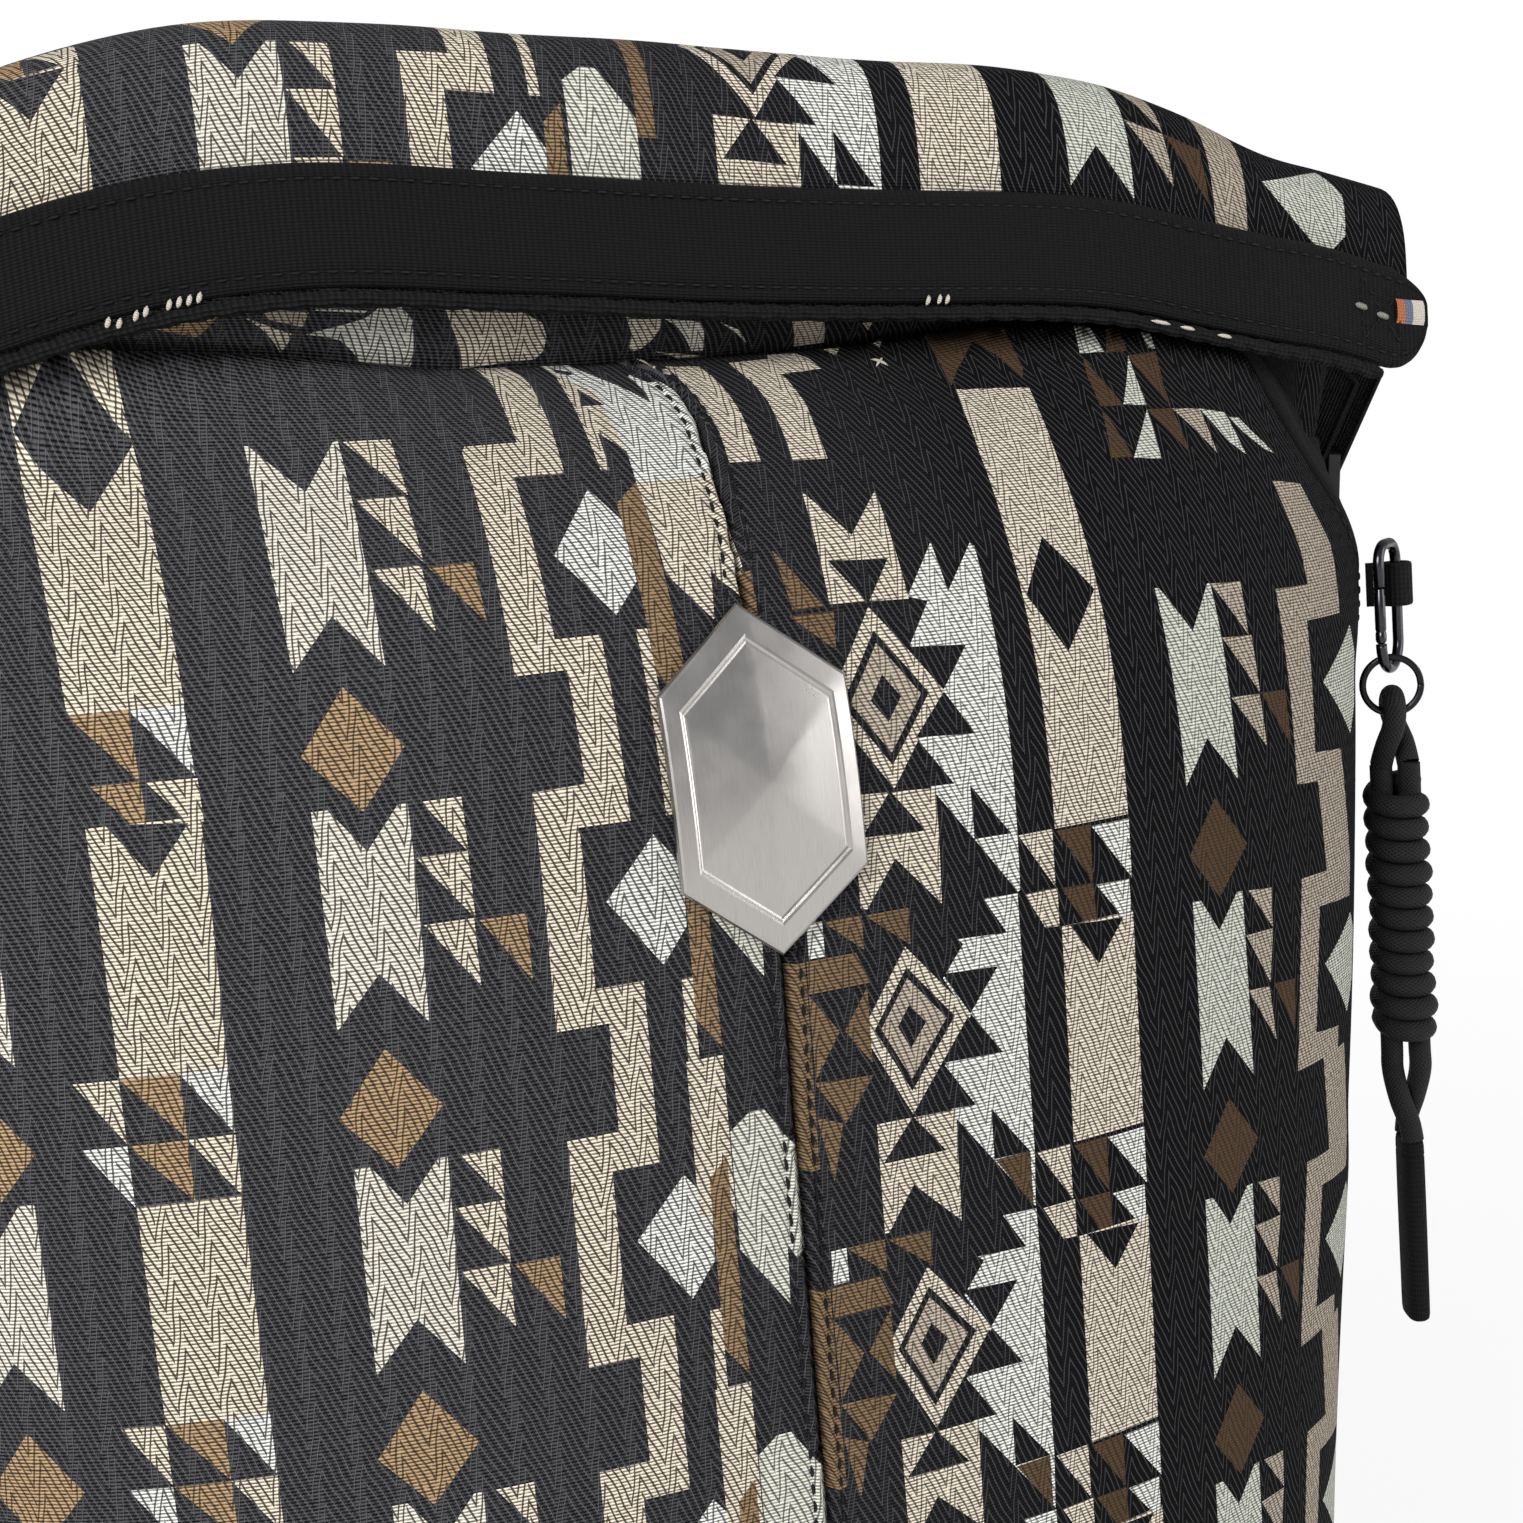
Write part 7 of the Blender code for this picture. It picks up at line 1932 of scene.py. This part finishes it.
def strap_route(side, steps):
    """The middle line of a shoulder strap, from the back's top to its ladder lock."""
    root = back_point(STRAP_ROOT_X, STRAP_ROOT_Z - STRAP_THICKNESS)
    start = float(root[1]) - SHIFT_Y + CLOTH_GAP
    middle = (STRAP_RUN_HIGH_Z + STRAP_RUN_LOW_Z) / 2
    end_x, end_y, end_z = STRAP_END
    points = [
        (STRAP_ROOT_X, start, STRAP_ROOT_Z),
        (STRAP_ROOT_X + 0.001, start + 0.016, STRAP_ROOT_Z + 0.001),
        (STRAP_ROOT_X + 0.012, STRAP_RUN_Y - 0.012, STRAP_RUN_HIGH_Z + 0.018),
        (STRAP_RUN_X, STRAP_RUN_Y, STRAP_RUN_HIGH_Z),
        (STRAP_RUN_X, STRAP_RUN_Y, middle + STRAP_STRAIGHT),
        (STRAP_RUN_X, STRAP_RUN_Y, middle - STRAP_STRAIGHT),
        (STRAP_RUN_X, STRAP_RUN_Y, STRAP_RUN_LOW_Z),
        (STRAP_RUN_X + 0.007, STRAP_RUN_Y - 0.005, STRAP_RUN_LOW_Z - 0.040),
        (end_x - 0.008, end_y + 0.010, end_z + 0.030),
        (end_x, end_y, end_z),
    ]
    return smooth_path([(side * x, y + SHIFT_Y, z) for x, y, z in points], steps)


def shoulder_straps():
    """Padded straps: woven cloth outside, mesh inside, piping and a row of stitches along both edges."""
    for word, side in SIDES:
        node = "shoulder_strap_" + word
        path = strap_route(side, 14)
        rows = len(path)
        share = np.linspace(0, 1, rows)
        half = STRAP_TOP_HALF_WIDTH + (STRAP_END_HALF_WIDTH - STRAP_TOP_HALF_WIDTH) * share
        ends = np.sqrt(np.clip(1 - (np.abs(2 * share - 1)) ** 24, 0.20, 1))
        thick = (STRAP_THICKNESS / 2 - 0.0002) * ends
        t = np.linspace(0, 2 * pi, 49)[:-1]
        c, s = np.cos(t), np.sin(t)
        flat_x = np.sign(c) * np.abs(c) ** 0.55
        flat_y = np.sign(s) * np.abs(s) ** 0.85 * (1 - 0.16 * bell(np.abs(flat_x) - 0.86, 0.035))
        section = np.stack([half[:, None] * flat_x * 0.985, thick[:, None] * flat_y], -1)
        rings = sweep(path, ACROSS, section, level=True)
        _, across, out = frames_along(path, ACROSS, level=True)
        front_is_out = out[rows // 2][1] > 0
        outward = np.tile(np.roll(s, -1) + s > 0, rows - 1)
        indices = [0 if flag == front_is_out else 1 for flag in outward] + [0, 0]
        around = half[:, None] * 1000 * np.cumsum(np.full(len(t), 2.2 / len(t)))[None]
        lay = np.stack(np.broadcast_arrays(around, lengths_along(path)[:, None]), -1).reshape(-1, 2)
        faces, kinds = tube_faces(rows, len(t)), ("twill", "mesh")
        strap = piece(
            "padded_strap_" + word, rings.reshape(-1, 3), faces, kinds, lay, nodes=(node,), indices=indices
        )
        sign = 1 if front_is_out else -1
        for edge_word, edge in (("inner", -1), ("outer", 1)):
            ending = word + "_" + edge_word
            line = path + across * (edge * (half - 0.0008))[:, None]
            pipe = round_section(STRAP_PIPING_RADIUS, 10)
            swept("strap_piping_" + ending, line[2:-2], REARWARD, pipe, "webbing", slot=node)
            row = path + across * (edge * half * 0.86)[:, None] + out * (sign * thick * 0.74)[:, None]
            stitch_row("strap_stitches_" + ending, row[4:-4], sign * out[4:-4], *STRAP_STITCH, node)


def lower_straps():
    """The webbing from the base through each ladder lock, its anchor tab and the boxes that sew them down."""
    slot = (LOCK_HEIGHT - 3 * LOCK_BAR) / 2
    section = strap_section(WEB_WIDTH, WEB_THICKNESS)
    for word, side in SIDES:
        route = strap_route(side, 2)
        along = unit(route[-1] - route[-2])
        across = unit(ACROSS - ACROSS.dot(along) * along)
        out = np.cross(along, across)
        out = out if out[1] > 0 else -out
        place = placer(route[-1] + along * GAP, across, along, out)
        bar = 1.5 * LOCK_BAR + slot
        lift = LOCK_THICKNESS / 2 + GAP + WEB_THICKNESS / 2
        anchor = back_point(side * ANCHOR_X, ANCHOR_Z, 2 * WEB_THICKNESS + 2 * CLOTH_GAP)
        under = place(0.0, LOCK_HEIGHT + 0.004, -lift)
        bow = np.array([0.0, 0.006, 0.0])
        knots = [anchor, *(anchor + (under - anchor) * share + bow for share in (0.33, 0.66)), under]
        path = list(smooth_path(knots, 10))
        half = LOCK_BAR / 2 + 2 * GAP + WEB_THICKNESS / 2
        path += [place(0.0, bar - half + b, lift * c) for b, c in LOCK_TURN]
        path.append(place(0.0, LOCK_HEIGHT + 0.004, lift + 0.001))
        last = path[-1]
        for t in np.linspace(0.1, 1, 10):
            drift = (side * 0.0035 * min(t, 0.5 + t * 0.4), 0.002 * min(1, 2 * t), -TAIL_DROP * t)
            path.append(last + np.array(drift))
        swept("lower_web_" + word, path, across, section, "webbing", nodes=("strap_webbing_" + word,))
        node = "strap_anchor_" + word
        zs = np.linspace(ANCHOR_Z - 0.010, ANCHOR_Z + 0.004, 8)
        tab = back_point(np.full(8, side * ANCHOR_X), zs, np.full(8, CLOTH_GAP + WEB_THICKNESS / 2))
        wide = strap_section(WEB_WIDTH * 1.19, WEB_THICKNESS)
        swept("anchor_tab_" + word, tab, ACROSS, wide, "webbing", nodes=(node,))
        spot = back_point(side * ANCHOR_X, ANCHOR_Z - 0.0035, CLOTH_GAP + WEB_THICKNESS)
        box_stitches("anchor_box_" + word, spot, ACROSS, UP, REARWARD, WEB_WIDTH - 0.003, 0.009, node)


def handle():
    """The grab handle, a thick strap with a row of stitches along both edges."""
    near = float(back_point(HANDLE_HALF_SPAN, HANDLE_Z - HANDLE_WIDTH / 2)[1]) + GAP
    knots = [(-1.0, 0.0), (-0.90, 0.006), (-0.62, HANDLE_REACH * 0.80), (0.0, HANDLE_REACH)]
    knots += [(-a, b) for a, b in knots[2::-1]]
    path = smooth_path([(HANDLE_HALF_SPAN * a, near + b, HANDLE_Z) for a, b in knots], 10)
    section = strap_section(HANDLE_WIDTH, HANDLE_THICKNESS, 0.6, 7)
    swept("carry_handle", path, UP, section, "webbing", nodes=("grab_handle",))
    _, across, out = frames_along(path, UP)
    sign = 1 if out[len(out) // 2][1] > 0 else -1
    for word, edge in (("upper", 1), ("lower", -1)):
        row = path + across * edge * HANDLE_WIDTH * 0.36 + out * sign * HANDLE_THICKNESS / 2
        stitch_row("handle_stitches_" + word, row[3:-3], sign * out[3:-3], *HANDLE_STITCH, "grab_handle")


def blown_up(thing):
    """Lets a pad swell a little as cloth under pressure."""
    before = read_points(thing)
    cloth = thing.modifiers.new("cloth", "CLOTH")
    cloth.settings.use_pressure = True
    cloth.settings.uniform_pressure_force = PAD_PRESSURE
    cloth.settings.effector_weights.gravity = 0
    cloth.point_cache.frame_end = PAD_FRAMES
    for number in range(1, PAD_FRAMES + 1):
        scene.frame_set(number)
    apply_all(thing)
    scene.frame_set(1)
    move = read_points(thing) - before
    far = np.linalg.norm(move, axis=-1, keepdims=True)
    write_points(thing, before + move * np.minimum(1, PAD_PUFF / np.maximum(far, 1e-9)))


def pad(name, centre_x, centre_z, half_x, half_z):
    """A foam pad: blown up as cloth from its plain solid, then sewn down along two channels."""
    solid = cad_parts[name]
    mesh = bpy.data.meshes.new_from_object(solid)
    mesh.transform(solid.matrix_world)
    thing = bpy.data.objects.new(name + "_cloth", mesh)
    scene.collection.objects.link(thing)
    mesh.materials.clear()
    mesh.materials.append(M["mesh"])
    remesh = thing.modifiers.new("remesh", "REMESH")
    remesh.mode = "VOXEL"
    remesh.voxel_size = PAD_VOXEL
    apply_all(thing)
    blown_up(thing)
    smooth = thing.modifiers.new("smooth", "SUBSURF")
    smooth.levels = smooth.render_levels = 1
    apply_all(thing)
    points = read_points(thing)
    u = (points[:, 0] - centre_x) / half_x
    v = (points[:, 2] - centre_z) / half_z
    surface = back_point(points[:, 0], points[:, 2])[:, 1]
    out = points[:, 1] - surface
    channels = np.maximum(*(bell(v - level, PAD_CHANNEL_HALF_WIDTH / half_z) for level in PAD_CHANNELS))
    rim = np.clip(1 - (1 - np.maximum(abs(u), abs(v))) * min(half_x, half_z) / PAD_RIM, 0, 1)
    full = PAD_THICKNESS - 0.0004 * (1 + bump_wave(points[:, 0] * 1000, points[:, 2] * 1000, 71, 14.0))
    out = np.clip(out, CLOTH_GAP * 0.6, full)
    out = np.where(out > 0.003, out * (1 - 0.40 * channels * (1 - rim)), out)
    points[:, 1] = surface + out
    write_points(thing, points)
    set_lay(thing.data, points[:, [0, 2]] * 1000)
    thing.data.polygons.foreach_set("use_smooth", [True] * len(thing.data.polygons))
    thing.data.update()
    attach(thing, "bag")
    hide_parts(name)
    t = np.linspace(-1, 1, 60)[:-1]
    one = np.ones_like(t)
    ring = np.concatenate([np.stack(edge, -1) for edge in ((t, -one), (one, t), (-t, one), (-one, -t))])
    pull = 1 - 0.10 * (ring[:, 0] * ring[:, 1]) ** 4
    x, z = centre_x + ring[:, 0] * half_x * pull, centre_z + ring[:, 1] * half_z * pull
    line = back_point(x, z, np.full(len(x), 0.0018))
    line = np.concatenate([line, line[:2]])
    swept(name + "_piping", line, REARWARD, round_section(PAD_PIPING_RADIUS, 10), "webbing", slot=name)
    for number, level in enumerate(PAD_CHANNELS):
        xs = centre_x + np.linspace(-0.88, 0.88, 60) * half_x
        row = back_point(xs, np.full(60, centre_z + level * half_z), np.full(60, PAD_THICKNESS * 0.585))
        stitch_row(name + "_channel_" + str(number), row, REARWARD, *STRAP_STITCH, name)


def apply_all(thing):
    """Turns a piece's modifiers into its mesh."""
    graph = bpy.context.evaluated_depsgraph_get()
    done = bpy.data.meshes.new_from_object(thing.evaluated_get(graph))
    thing.modifiers.clear()
    thing.data = done


def read_points(thing):
    """A mesh's points as rows."""
    points = np.zeros(len(thing.data.vertices) * 3)
    thing.data.vertices.foreach_get("co", points)
    return points.reshape(-1, 3)


def write_points(thing, points):
    """Gives a mesh new points."""
    thing.data.vertices.foreach_set("co", points.astype(np.float32).ravel())
    thing.data.update()


def sternum_strap():
    """The chest strap's two webbings, each looped through its half of the buckle."""
    centre = np.array([0.0, RAIL_HEAD_Y + SHIFT_Y, STERNUM_Z])
    place = placer(centre, UP, ACROSS, REARWARD)
    section = strap_section(WEB_WIDTH, WEB_THICKNESS)
    for word, side in SIDES:
        web = "sternum_web_" + word
        bar = MALE_BODY - MALE_BAR if side > 0 else -FEMALE_LENGTH + FEMALE_BAR
        length = STRAP_RUN_X - SLIDER_HALF - GAP - abs(bar)
        path = loop_path(place, bar, side, length, 0.026)
        swept("chest_web_" + word, path, UP, section, "webbing", "sternum_strap", (web,))
        spot = place(0.0, bar + side * 0.020, LOOP_OFFSET + WEB_THICKNESS / 2)
        ways = (UP, ACROSS, REARWARD, WEB_WIDTH - 0.005, 0.009)
        box_stitches("chest_box_" + word, spot, *ways, web, "sternum_strap")


FINISHES = {
    "lining_plain": ("lining",),
    "board": ("frame_sheet", "base_board", "badge_backing"),
    "rail": ("sternum_rail_left", "sternum_rail_right"),
    "plastic": (
        "side_buckle_male_left", "side_buckle_male_right", "side_buckle_female_left",
        "side_buckle_female_right", "ladder_lock_left", "ladder_lock_right", "sternum_slider_left",
        "sternum_slider_right", "sternum_buckle_male", "sternum_buckle_female",
    ),
}


def cad_finishes():
    """Better materials on the solids that keep their own shape."""
    for key, nodes in FINISHES.items():
        for node in nodes:
            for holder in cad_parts[node].material_slots:
                holder.material = M[key]


body_cloth()
seam_stitches()
collar()
rolled_cloth()
band()
badge()
side_straps()
shoulder_straps()
lower_straps()
handle()
for pad_sizes in PADS:
    pad(*pad_sizes)
sternum_strap()
cad_finishes()

# Floor, backdrop and light

FLOOR_GLOW = 0.86
FLOOR_FADE_FROM = 0.35
FLOOR_FADE_TO = 1.4
FLOOR_REACH = 40
# Name, place, what it points at, width in metres, power in watts
LIGHTS = (
    ("key", (-1.05, -0.95, 1.05), (-0.02, -0.05, 0.30), 0.75, 25.0),
    ("fill", (1.15, -0.75, 0.6), (0.0, -0.05, 0.30), 1.0, 8.0),
    ("rim", (0.2, 1.2, 1.0), (0.0, 0.0, 0.35), 0.8, 6.0),
)
ROOM_COLOUR = (0.86, 0.88, 0.92, 1.0)
ROOM_STRENGTH = 0.42


def pale_floor():
    """A matt pale floor that looks nearly white to the camera and in reflections, and quite white far off."""
    data = bpy.data.meshes.new("floor")
    corners = [(x * FLOOR_REACH, y * FLOOR_REACH, 0) for x, y in ((-1, -1), (1, -1), (1, 1), (-1, 1))]
    data.from_pydata(corners, [], [(0, 1, 2, 3)])
    material, tree, shader = nodes_of("floor_pale", (0.86, 0.86, 0.86), 0.75, specular=0.2)
    g = Graph(tree)
    ray = g.add("ShaderNodeLightPath")
    glow = g.add("ShaderNodeEmission")
    glow.inputs["Strength"].default_value = 1.0
    straight = g.math("MAXIMUM", ray.outputs["Is Camera Ray"], ray.outputs["Is Glossy Ray"])
    straight = g.math("MAXIMUM", straight, ray.outputs["Is Transmission Ray"])
    reach = g.add("ShaderNodeVectorMath", operation="LENGTH")
    g.feed(reach.inputs[0], g.add("ShaderNodeTexCoord").outputs["Object"])
    white = g.range(reach.outputs["Value"], FLOOR_FADE_FROM, FLOOR_FADE_TO, FLOOR_GLOW, 1.0)
    blend = g.add("ShaderNodeMixShader")
    share = g.math("MULTIPLY", straight, white)
    for socket, value in zip(blend.inputs, (share, shader.outputs[0], glow.outputs[0])):
        g.feed(socket, value)
    g.feed(tree.nodes["Material Output"].inputs["Surface"], blend.outputs[0])
    data.materials.append(material)
    floor = bpy.data.objects.new("floor", data)
    scene.collection.objects.link(floor)


def area_light(name, place, target, size, power):
    """A round soft lamp that points at a place."""
    data = bpy.data.lights.new(name, "AREA")
    data.shape = "DISK"
    data.size = size
    data.energy = power
    lamp = bpy.data.objects.new(name, data)
    scene.collection.objects.link(lamp)
    lamp.location = place
    lamp.rotation_euler = (Vector(target) - Vector(place)).to_track_quat("-Z", "Y").to_euler()


def soft_room():
    """A soft even light from all round, white where the camera looks at it."""
    world = scene.world or bpy.data.worlds.new("world")
    scene.world = world
    world.use_nodes = True
    world.node_tree.nodes.clear()
    g = Graph(world.node_tree)
    room, backdrop = g.add("ShaderNodeBackground"), g.add("ShaderNodeBackground")
    for node, colour, strength in ((room, ROOM_COLOUR, ROOM_STRENGTH), (backdrop, (1.0, 1.0, 1.0, 1.0), 1.0)):
        node.inputs["Color"].default_value = colour
        node.inputs["Strength"].default_value = strength
    choose = g.add("ShaderNodeMixShader")
    seen = g.add("ShaderNodeLightPath").outputs["Is Camera Ray"]
    for socket, value in zip(choose.inputs, (seen, room.outputs[0], backdrop.outputs[0])):
        g.feed(socket, value)
    g.feed(g.add("ShaderNodeOutputWorld").inputs["Surface"], choose.outputs[0])


pale_floor()
for light in LIGHTS:
    area_light(*light)
soft_room()
